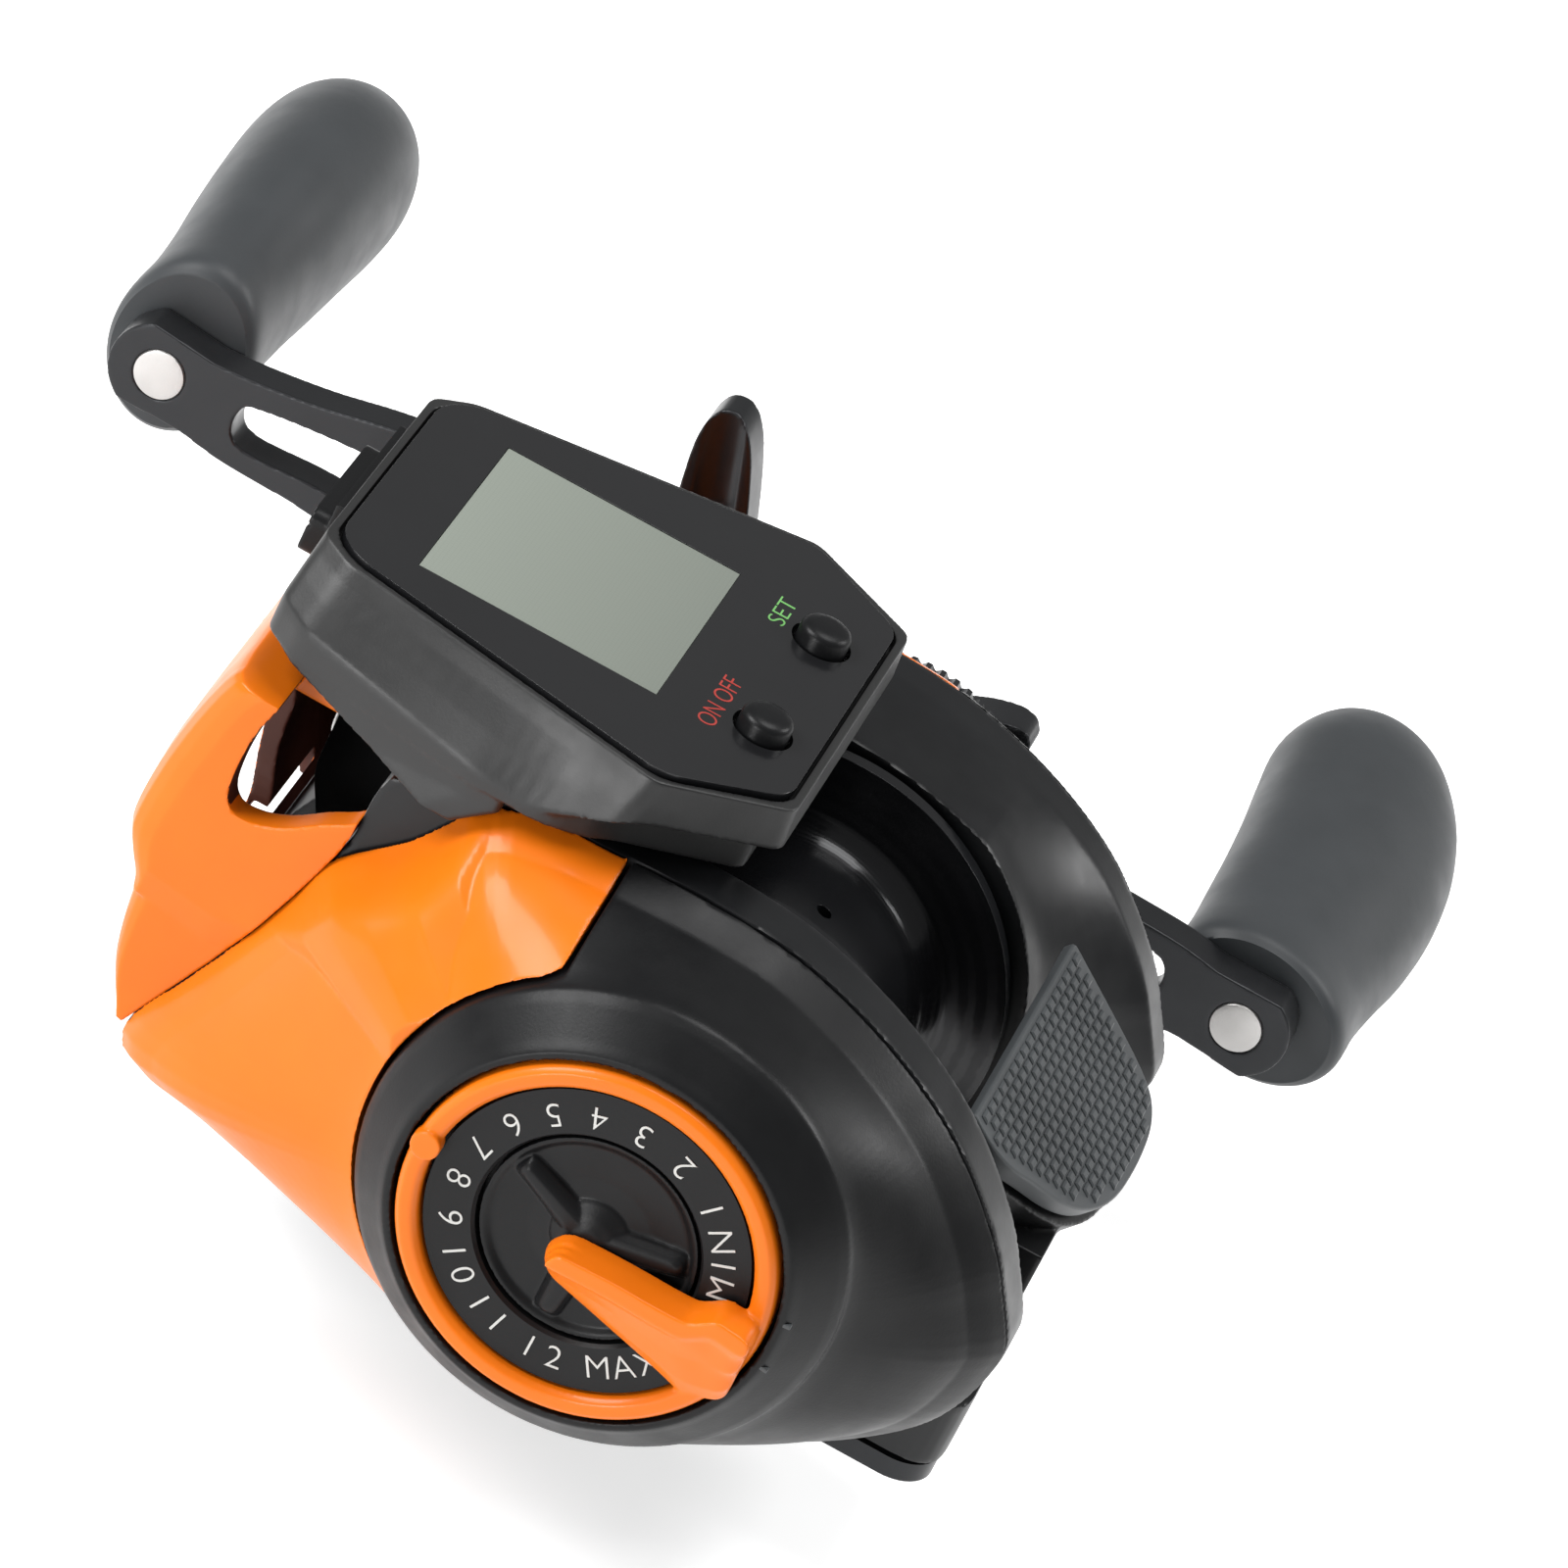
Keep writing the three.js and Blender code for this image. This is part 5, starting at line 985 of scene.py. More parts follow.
@dataclass
class Foot:
    """The foot that the rod's seat clamps, and its two rivets."""

    half_width: float = 7.5
    half_length: float = 28.5
    thickness: float = 1.5
    front_corner: float = 7
    rear_corner: float = 3
    rivets: Line = ((0, 19), (0, -23))
    head: float = 2
    shank: float = 1.1
    head_depth: float = 1.05
    rivet_profile: Line = ((0, 0.2), (1.7, 0.2), (2, 0.45), (2, 0.8), (1.1, 0.8), (1.1, 3.8), (0, 3.8))

    def outline(self) -> list[Point]:
        """The foot's outline with its corner rounds."""
        x, y = self.half_width, self.half_length
        points = []
        for sx, sy, radius in ((1, 1, self.front_corner), (-1, 1, self.front_corner),
                               (-1, -1, self.rear_corner), (1, -1, self.rear_corner)):
            corner = [(sx * (x - radius + radius * math.cos(a)), sy * (y - radius + radius * math.sin(a)))
                      for a in (math.radians(90 * k / 12) for k in range(13))]
            points += corner if sx * sy > 0 else corner[::-1]
        return points

    def build(self) -> None:
        """Models the foot and the rivets."""
        foot = Bench.plate("foot", self.outline(), 0, self.thickness, Axis.Z)
        for place in self.rivets:
            foot = Bench.cut(foot, Bench.rod(self.head + SLIP_GAP, -OVERRUN, self.head_depth, place, Axis.Z),
                             Bench.rod(self.shank + SLIP_GAP, -OVERRUN, self.thickness * 2, place, Axis.Z))
        Bench.bevel(foot, 0.35)
        finish_off(foot, "foot_plate", ANODISED, "reel_foot", place=Matrix.Identity(4))
        for k, (x, y) in enumerate(self.rivets):
            rivet = Bench.bevel(Bench.spun("rivet", self.rivet_profile, Axis.Z, 40), 0.1)
            finish_off(rivet, f"foot_rivet_head_{k + 1}", DARK_STEEL, f"foot_rivet_{k + 1}",
                       place=Matrix.Translation((x, y, 0)))


@dataclass
class Dome:
    """A domed side cover between an inner outline and the body's outline, as wide as it is deep."""

    seam: float
    side: int
    depth: float
    reach: Reaching
    inner: Reaching
    wall: float = 1.7
    shoulder_inset: float = 1.0
    shoulder_share: float = 0.28
    hollow_share: float = 0.7
    shares: Line = (
        (0, 1), (0.14, 0.965), (0.28, 0.89), (0.45, 0.75), (0.62, 0.55), (0.8, 0.29), (0.93, 0.09), (1, 0))

    def rings(self, hollow: bool) -> list[Ring]:
        """The rings of the outer skin, or of the hollow inside it."""
        wall = self.wall if hollow else 0
        rings = []
        for k, (along, out) in enumerate(smooth_line(self.shares, steps=4)):
            back = wall if k or not hollow else -OVERRUN
            at = self.seam + self.side * (along * self.depth - back)
            inset = self.shoulder_inset * min(1, along / self.shoulder_share)

            def skin(angle: float, out: float = out, inset: float = inset) -> float:
                """The reach of one ring, between the inner outline and the body's."""
                inner = self.inner(angle)
                return inner + (self.reach(angle) - inset - inner) * out - wall * self.hollow_share
            rings.append(ring_at(at, skin))
        return rings


@dataclass
class PalmSide:
    """The palm side cover in black with its orange front, round the brake dial."""

    body: BodyShape
    depth: float = 10
    collar_radius: float = 16.2
    collar_depth: float = 3.5
    collar_lip: float = 13.3
    dial_seat: float = -29
    dial_radius: float = 12.45
    wall: float = 1.7
    colour_line: float = 9.2
    split: float = 0.3
    boss_radius: float = 5.6
    boss_right: float = -20.5
    boss_bore: float = 4.25
    boss_left: float = -26.1
    recess_depth: float = 7
    mask_degrees: tuple[int, int] = (52, -67)
    far: float = 57
    mark_low: Spot = (-30.95, 12.95, -0.13)
    mark_high: Spot = (-30.3, 13.75, 0.13)
    mark_degrees: Point = (172.7, -171.9)
    facet_rings: int = 48
    facet_slope: float = 0.43
    facet_fall: float = 1.6
    facet_soft: float = 0.7
    facet_sink: float = 0.25
    facet_widths: Line = ((-4, 0), (0, 0.6), (8, 4.2), (14, 5.4), (20, 6.1), (29, 6.3), (37, 4.9), (43, 1.2), (48, 0))
    collar_shares: Line = ((0.12, 0.03), (0.3, 0.2), (0.55, 0.5), (0.8, 0.8), (0.94, 0.95), (1, 1.03))

    def dome(self) -> Piece:
        """The hollow cover, with its collar and the dial's recess."""
        shape = Dome(self.body.palm_seam, -1, self.depth, self.body.palm(), lambda angle: self.collar_radius,
                     self.wall)
        top = self.body.palm_seam - self.depth
        outer = shape.rings(False)
        for along, share in self.collar_shares:
            radius = self.collar_radius - (self.collar_radius - self.collar_lip) * share
            outer.append(ring_at(top - self.collar_depth * along, lambda angle, radius=radius: radius))
        inner = shape.rings(True)
        inner.append(ring_at(self.dial_seat + self.wall, lambda angle: self.dial_radius))
        recess = Bench.rod(self.dial_radius + SEAT_GAP, self.dial_seat - self.recess_depth, self.dial_seat, steps=128)
        facet = Bench.keep(Bench.loft("facet", self.facet()), Bench.rod(60, top, self.body.palm_seam))
        return Bench.cut(Bench.join(Bench.loft("dome", outer), facet), Bench.loft("hollow", inner), recess)

    def facet(self) -> list[Ring]:
        """The raised cheek in front of the collar, which ends in a soft ridge."""
        reach = self.body.palm()
        first, last = self.facet_widths[0][0], self.facet_widths[-1][0]
        sunk = self.dial_radius + OVERRUN
        rings = []
        for k in range(self.facet_rings + 1):
            deep = -1 + k * (self.depth + 1) / self.facet_rings

            def cheek(angle: float, deep: float = deep) -> float:
                """The reach of one ring: a gentle slope, then a steep one past the ridge."""
                degrees = math.degrees(math.atan2(math.sin(angle), math.cos(angle)))
                width = between(self.facet_widths, degrees) if first < degrees < last else 0.0
                if width <= 0:
                    return sunk
                over = deep - width
                past = (over + math.hypot(over, self.facet_soft)) / 2
                full = reach(angle) - self.facet_slope * (deep - past) - self.facet_fall * past
                return max(full - (self.facet_sink if width < 1 else 0.0), sunk)
            rings.append(ring_at(self.body.palm_seam - deep, cheek, 360))
        return rings

    def front_mask(self, gap: float) -> Piece:
        """What lies in front of the colour line, clear of the collar."""
        radius = self.collar_radius + SEAT_GAP - gap
        arc = [(radius * math.cos(math.radians(a)), radius * math.sin(math.radians(a)))
               for a in range(*self.mask_degrees, -2)]
        line, far = self.colour_line - gap, self.far
        outline = [(line, far), (line, arc[0][1] + OVERRUN), *arc, (arc[-1][0] - OVERRUN, -far), (far, -far),
                   (far, far)]
        return Bench.plate("front_mask", outline[::-1], self.body.palm_seam - 2 * self.depth,
                           self.body.palm_seam + OVERRUN)

    def build(self) -> None:
        """Models the black cover and the orange shell."""
        orange = Bench.mould(Bench.keep(self.dome(), self.front_mask(0)), 0.19, 3, 0.5)
        finish_off(orange, "palm_orange_shell", ORANGE, "palm_front_shell", angle=60)
        cover = Bench.cut(self.dome(), self.front_mask(self.split))
        boss = Bench.cut(Bench.rod(self.boss_radius, self.dial_seat + self.wall / 2, self.boss_right),
                         Bench.rod(self.boss_bore, self.boss_left, self.boss_right + OVERRUN))
        cover = Bench.mould(Bench.join(cover, boss), 0.22, 3, 0.5)
        finish_off(cover, "palm_cover", BLACK, "palm_side_cover", angle=60)
        # The two raised index dashes on the collar are real; their grey, paler than the cover, is a painted highlight
        # standing in for the glint on their edges.
        for k, degrees in enumerate(self.mark_degrees):
            mark = Bench.turn(Bench.bevel(Bench.block(self.mark_low, self.mark_high), 0.05, 2), degrees)
            finish_off(mark, f"dial_mark_{k + 1}", GRIP, slot=Slot.BLACK)


@dataclass
class BrakeDial:
    """The orange dial ring with its pointer, over the numbered plate and the ribbed hub."""

    ring_outer: float = 12.45
    ring_inner: float = 10.9
    face: float = -31.5
    seat: float = -29.25
    plate_thickness: float = 1.5
    hub_radius: float = 7.1
    hub_thickness: float = 0.7
    dish_profile: Line = ((0, -0.3), (2.2, -0.12), (4, 0.05), (6.4, -0.1), (6.8, -0.42))
    boss_profile: Line = ((0, -1.1), (0.8, -1.05), (1.6, -0.75), (2.6, -0.2))
    boss_radius: float = 2.8
    rib_rows: tuple[tuple[float, ...], ...] = (
        (0.3, 6.5, 1.35, 1.0), (-0.3, 6.4, 1.2, 0.85), (-0.7, 6.2, 0.85, 0.55), (-0.92, 5.9, 0.4, 0.25))
    pointer_height: float = 2.6
    letter_radius: float = 8.95
    letter_size: float = 2.3736
    letter_pitch_degrees: float = 11
    edge: float = 0.45
    bump_radius: float = 1.0
    bump_place: Point = (11.55, 1.1)
    bump_proud: float = 0.28
    marks: dict[str, float] = field(default_factory=lambda: {
        "MIN": 158, "1": 132.5, "2": 111.5, "3": 91, "4": 72, "5": 53, "6": 34.5, "7": 15.5, "8": -2.5,
        "9": -21.5, "10": -42.5, "11": -67, "12": -94, "MAX": -129})
    hub_rib_degrees: tuple[float, ...] = (25.4, 165.8, 273.6)
    pointer_stations: tuple[Spot, ...] = (
        (2.3, -0.3, -2.3), (1.2, 0.35, -3.1), (-3, 0.5, -4.3), (-6.2, 0.4, -5.2), (-7.9, 0.45, -5.7),
        (-8.7, 1.0, -6.0), (-9.5, 1.7, -6.3), (-12.1, 1.4, -5.3))
    pointer_crest: float = 1.5

    def ring(self) -> Piece:
        """The ring, its grip bump and its pointer in one piece."""
        edge, inner, outer, face = self.edge, self.ring_inner, self.ring_outer, self.face
        band = Bench.spun("band", [(inner, face + edge), (inner + edge * 0.8, face + 0.06), (outer - edge, face),
                                   (outer - 0.1, face + edge * 0.7), (outer, face + edge * 1.6),
                                   (outer, self.seat), (inner, self.seat)], steps=144)
        bump = Bench.rod(self.bump_radius, face - self.bump_proud, face + 1, self.bump_place)
        under, top = face + edge, face + edge - self.pointer_height
        levels = [(under, 1), (face + 0.1, 0.97), (face - 0.5, 0.78), (face - 1.15, 0.42), (top + 0.35, 0.1),
                  (top, 0)]
        fin = Bench.loft("fin", [[(at, y, z) for y, z in self.pointer_line(share)] for at, share in levels])
        return Bench.mould(Bench.join(band, bump, fin), 0.14, 7, 0.7)

    def pointer_line(self, share: float) -> list[Point]:
        """The pointer's outline at one level: an upright upper side, and a lower side that slopes away.

        Args:
            share: 1 at its foot and 0 at its narrow crest.

        Returns:
            Evenly spaced points.
        """
        drawn = 0.35 * (1 - share)
        upper, lower = [], []
        for forward, high, low in self.pointer_stations:
            crest = high - self.pointer_crest
            upper.append((forward, high - drawn))
            lower.append((forward, crest + (low - crest) * share))
        upper[0] = lower[0] = (upper[0][0] - drawn * 2, (upper[0][1] + lower[0][1]) / 2)
        return evenly(rounded(upper[::-1] + lower[1:], 0.9, 6), 140)

    def letters(self) -> None:
        """Prints the numbers round the plate, their tops towards the hub."""
        placed = []
        for word, middle in self.marks.items():
            for k, letter in enumerate(word):
                turn = middle - (k - (len(word) - 1) / 2) * self.letter_pitch_degrees
                placed.append(self.letter(letter, turn))
        finish_off(Bench.merge(placed[0], placed[1:]), "dial_numbers", WHITE_INK)

    def letter(self, letter: str, turn: float) -> Piece:
        """One letter or figure at an angle in degrees round the dial."""
        piece = Bench.text(letter, self.letter_size, 0.03, -0.035)
        upright = Matrix(((0, 0, -1, 0), (-1, 0, 0, 0), (0, 1, 0, 0), (0, 0, 0, 1)))
        spin = Matrix.Rotation(math.radians(turn + 90), 4, "X")
        out = Matrix.Translation((self.seat - self.plate_thickness - 0.02, 0, -self.letter_radius))
        piece.data.transform(spin @ out @ upright)
        return piece

    def hub(self) -> Piece:
        """The hub in the middle, dished between three rounded ribs."""
        floor, seat = self.seat - self.hub_thickness, self.seat
        disc = Bench.spun("disc", [*raised(self.dish_profile, floor), (self.hub_radius, floor - 0.5),
                                   (self.hub_radius, seat), (0, seat)], steps=96)
        cap = Bench.spun("cap", [*raised(self.boss_profile, floor), (self.boss_radius, seat), (0, seat)], steps=48)
        ribs = []
        for degrees in self.hub_rib_degrees:
            rib = Bench.loft("rib", [[(floor + at, y, z) for y, z in evenly(rounded(
                [(0, -root), (reach, -tip), (reach, tip), (0, root)], 0.5), 48)]
                for at, reach, root, tip in self.rib_rows])
            ribs.append(Bench.turn(rib, degrees))
        return Bench.mould(Bench.join(disc, cap, *ribs), 0.13, 5, 0.7)

    def build(self) -> None:
        """Models the dial, the plate under it and the numbers."""
        finish_off(self.ring(), "dial_ring", ORANGE, "brake_dial", body=Body.DIAL, angle=60)
        finish_off(self.hub(), "dial_hub", BLACK, "brake_hub", angle=60)
        face = self.seat - self.plate_thickness
        inner, outer = self.hub_radius + SLIP_GAP, self.ring_inner - SLIP_GAP
        plate = Bench.spun("plate", [(inner, self.seat), (inner, face + 0.25), (inner + 0.2, face),
                                     (outer, face), (outer, self.seat)], steps=128)
        finish_off(plate, "dial_number_plate", BLACK, "number_plate")
        self.letters()


@dataclass
class NoseCover:
    """The orange nose across the front, open at the mouth and windowed at both ends."""

    body: BodyShape
    reach: float = 39
    top: float = 15.3
    bottom: float = 12.6
    wall: float = 1.6
    rear: float = 25.6
    mouth_half_width: float = 10
    mouth: Point = (-9, 9)
    rear_gap: float = 0.02
    drain: Point = (0.862, 0.9)
    outer_shares: Line = (
        (0.935, 1), (0.946, 0.967), (0.968, 0.8), (0.99, 0.536), (1, 0.28), (0.999, 0.15), (0.992, 0.09),
        (0.961, -0.06), (0.952, -0.13), (0.94, -0.4), (0.926, -0.587), (0.908, -0.714), (0.888, -0.82),
        (0.876, -0.89))
    bulge_shares: Line = (
        (-1, 0.8), (-0.985, 0.88), (-0.96, 0.94), (-0.91, 0.975), (-0.8, 0.99), (-0.65, 0.994), (-0.45, 0.997),
        (0, 1), (0.45, 0.997), (0.65, 0.994), (0.8, 0.99), (0.91, 0.975), (0.96, 0.94), (0.985, 0.88), (1, 0.8))
    cheek_proud: float = 0.5
    cheek_levels: Line = ((-2.0, -2.9), (0.0, -2.6), (0.5, -0.3), (2.0, -0.2))
    cheek_line: Line = ((20, 0.6), (27, 0.4), (31, -0.3), (33.5, 0.1), (45, 1.6))
    cheek_top: float = 20
    drain_bottom: float = -15.6
    core_share: float = 0.75
    back_shares: Point = (0.9, 0.7)
    back_steps: int = 16
    facing_in: float = -0.5
    mouth_right_share: float = 0.83
    mouth_top_share: float = 0.8
    window_shares: Line = (
        (0.635, 1.02), (0.645, 0.72), (0.705, 0.6), (0.759, 0.497), (0.805, 0.451), (0.838, 0.451),
        (0.856, 0.497), (0.864, 0.614), (0.859, 0.837), (0.84, 1.02))

    def section(self, inset: float, opening: float) -> list[tuple[float, float, bool]]:
        """The section along Y and Z, with whether each point is on the bulging front."""
        front = []
        centre = Vector((self.reach * self.core_share, 0))
        for along, up in smooth_line(self.outer_shares, steps=5):
            spot = Vector((along * self.reach, up * (self.bottom if up < 0 else self.top)))
            spot += (centre - spot).normalized() * inset
            front.append((spot.x, spot.y, True))
        low, high = self.bottom * self.back_shares[0], self.body.top * self.back_shares[1]
        heights = [-low + (low + high) * k / self.back_steps for k in range(self.back_steps + 1)]
        back = [(self.body.seam_forward(z) + self.rear_gap - opening, z, False) for z in heights]
        return [(self.rear - opening, self.top - inset, False), *front, *back]

    def skin(self, inset: float, opening: float, width: float) -> Piece:
        """The nose as a solid, or its hollow."""
        middle, half = self.body.middle, self.body.half_span - width
        rings = []
        for across, bulge in self.bulge_shares:
            ring = []
            for y, z, bulges in self.section(inset, opening):
                seam = self.body.seam_forward(z)
                ring.append((middle + across * half, seam + (y - seam) * bulge if bulges else y, z))
            rings.append(ring[::-1])
        return Bench.loft("nose", rings)

    def window(self, low: float, high: float) -> Piece:
        """The cutaway beside the line guide, with its round lower corner."""
        corners = [(u * self.reach, v * self.top) for u, v in self.window_shares]
        return Bench.plate("window", smooth_line(corners, steps=6)[::-1], low, high)

    def cheek(self, side: int) -> Piece:
        """The upper part of one end, which stands a little proud and ends in a slanted fold."""
        piece = Bench.move(self.skin(0, 0, 0), side * self.cheek_proud, 0, 0)
        seam = self.body.palm_seam if side < 0 else self.body.handle_seam
        rings = []
        for out, low in self.cheek_levels:
            line = [(y, low + rise) for y, rise in self.cheek_line]
            line += [(self.cheek_line[-1][0], self.cheek_top), (self.cheek_line[0][0], self.cheek_top)]
            rings.append([(seam + side * out, y, z) for y, z in line])
        return Bench.keep(piece, Bench.loft("fold", rings if side > 0 else rings[::-1]))

    def build(self) -> None:
        """Models the nose cover."""
        piece = Bench.join(self.skin(0, 0, 0), self.cheek(-1), self.cheek(1))
        piece = Bench.cut(piece, self.skin(self.wall, OVERRUN * 2, self.wall))
        middle, half = self.body.middle, self.mouth_half_width
        low, high = self.mouth
        mouth = [(middle - half, low), (middle + half * self.mouth_right_share, low),
                 (middle + half * self.mouth_top_share, high), (middle - half * self.mouth_top_share, high)]
        clear = self.body.half_span - self.wall * 2.5
        seam, far = self.body.palm_seam, self.body.handle_seam
        tools = [Bench.plate("mouth", rounded(mouth, half * 0.3), self.reach * 0.7, self.reach * 1.7, Axis.Y),
                 Bench.block((middle - clear, self.reach * self.drain[0], self.drain_bottom),
                             (middle + clear, self.reach * self.drain[1], -self.bottom * 0.7)),
                 self.window(seam - OVERRUN * 2 - self.cheek_proud, seam + self.wall * 3),
                 self.window(far - self.wall * 3, far + OVERRUN * 2 + self.cheek_proud)]
        piece = Bench.mould(Bench.cut(piece, *tools), 0.18, 3, 0.4)
        # Faces that look into the nose get the painted shade in place of the orange, standing in for the shadow
        # inside the nose.
        core = Vector((middle, self.rear - 2, -2))
        inner = [face.index for face in piece.data.polygons if face.normal.dot(face.center - core) < self.facing_in]
        finish_off(piece, "nose_shell", ORANGE, "nose_cover", angle=60)
        piece.data.materials.append(NOSE_INSIDE_SHADE.material())
        for index in inner:
            piece.data.polygons[index].material_index = 1


@dataclass
class HandleSide:
    """The handle side cover over the gears, with its orange front, bosses and three screws."""

    body: BodyShape
    depth: float = 7.2
    wall: float = 1.7
    shaft: Point = SHAFT
    cast_radius: float = 10.4
    margin: float = 1.9
    neck: Line = ((0.75, 10.5), (1, 9.6))
    cast_post: Point = (7.6, 33.6)
    shaft_post: Point = (4.3, 36.2)
    clutch_post: Point = (8.1, 6.85)
    clutch_depth: float = 5.25
    cast_bore: float = 4.25
    shaft_bore: float = 3.25
    screw_bores: Point = (2.25, 1.25)
    screw_length: float = 8
    screw_head: float = 1.2
    colour_line: float = -2.3
    low_line_share: float = 0.16
    far: float = 57
    split: float = 0.3
    screw_seat: float = 27
    boss_radius: float = 2.9
    boss_rim: float = 0.9
    seam_gap: float = 0.02
    screws: Line = ((-15.6, 0), (-6.552, -14.04), (20.979, 9.79))

    @property
    def seam(self) -> float:
        """Where the cover meets the frame."""
        return self.body.handle_seam + self.seam_gap

    @property
    def face(self) -> float:
        """The outer face of the plateau."""
        return self.seam + self.depth

    def plateau(self, angle: float) -> float:
        """How far the raised plateau round the cap and the shaft reaches."""
        reach = 0.0
        for share, radius in ((0, self.cast_radius + self.margin), (0.25, self.cast_radius + self.margin * 0.75),
                              (0.5, self.cast_radius + self.margin / 2), *self.neck):
            cy, cz = self.shaft[0] * share, self.shaft[1] * share
            forward = cy * math.cos(angle) + cz * math.sin(angle)
            sideways = cy * math.sin(angle) - cz * math.cos(angle)
            if abs(sideways) < radius:
                reach = max(reach, forward + math.sqrt(radius * radius - sideways * sideways))
        return reach

    def dome(self) -> Piece:
        """The hollow cover with its screw posts."""
        shape = Dome(self.seam, 1, self.depth, self.body.handle(), self.plateau, self.wall)
        outer, inner = shape.rings(False), shape.rings(True)
        shell = Bench.cut(Bench.loft("dome", outer), Bench.loft("hollow", inner))
        for place in self.screws:
            shell = Bench.join(shell, Bench.rod(self.boss_radius, self.seam, self.screw_seat + self.boss_rim, place))
        for place in self.screws:
            shell = Bench.cut(shell, Bench.rod(self.screw_bores[0], self.screw_seat, 60, place, steps=48),
                              Bench.rod(self.screw_bores[1], self.seam - OVERRUN, self.face, place, steps=48))
        return shell

    def front_mask(self, gap: float) -> Piece:
        """What lies in front of the colour line and outside the plateau."""
        far, low = self.far, self.body.front * self.low_line_share
        line = self.colour_line - gap
        front = Bench.plate("front", [(line, far), (line, 0), (low - gap, 0), (low - gap, -far), (far, -far),
                                      (far, far)], self.seam - OVERRUN, self.face * 2)
        keep = [point[1:] for point in ring_at(0, lambda angle: self.plateau(angle) + SEAT_GAP - gap)]
        return Bench.cut(front, Bench.plate("plateau", keep, self.seam - 2, self.face * 3))

    def build(self) -> None:
        """Models the black cover, the orange shell and the screws."""
        orange = Bench.mould(Bench.keep(self.dome(), self.front_mask(0)), 0.26, 3, 0.6)
        finish_off(orange, "handle_orange_shell", ORANGE, "handle_front_shell", angle=60)
        cover = Bench.cut(self.dome(), self.front_mask(self.split))
        inside = self.face - self.wall
        (cast, cast_end), (post, post_end), (race, race_bore) = self.cast_post, self.shaft_post, self.clutch_post
        cover = Bench.join(cover, Bench.rod(cast, inside, cast_end), Bench.rod(post, inside, post_end, self.shaft),
                           Bench.rod(race, inside - self.clutch_depth, self.face - self.wall / 2, self.shaft))
        cover = Bench.cut(cover, Bench.rod(self.cast_bore, self.seam, cast_end + 1.4),
                          Bench.rod(self.shaft_bore, self.seam, post_end + 0.8, self.shaft),
                          Bench.rod(race_bore, self.seam, inside, self.shaft))
        cover = Bench.mould(cover, 0.26, 3, 0.6)
        finish_off(cover, "handle_cover", BLACK, "handle_side_cover", angle=60)
        for k, place in enumerate(self.screws):
            finish_off(self.screw(place), f"side_screw_head_{k + 1}", DARK_STEEL, f"side_screw_{k + 1}")

    def screw(self, place: Point) -> Piece:
        """One cross-head screw."""
        seat, end = self.screw_seat + SLIP_GAP, self.screw_seat - self.screw_length
        top = seat + self.screw_head
        piece = Bench.spun("screw", [(0, end), (1, end), (1, seat), (2, seat), (2, top - 0.5), (1.6, top - 0.1),
                                     (0, top)], steps=48)
        for y, z in ((1.2, 0.22), (0.22, 1.2)):
            piece = Bench.cut(piece, Bench.block((top - 0.6, -y, -z), (top + 1, y, z)))
        return Bench.bevel(Bench.move(piece, 0, *place), 0.05, 2)


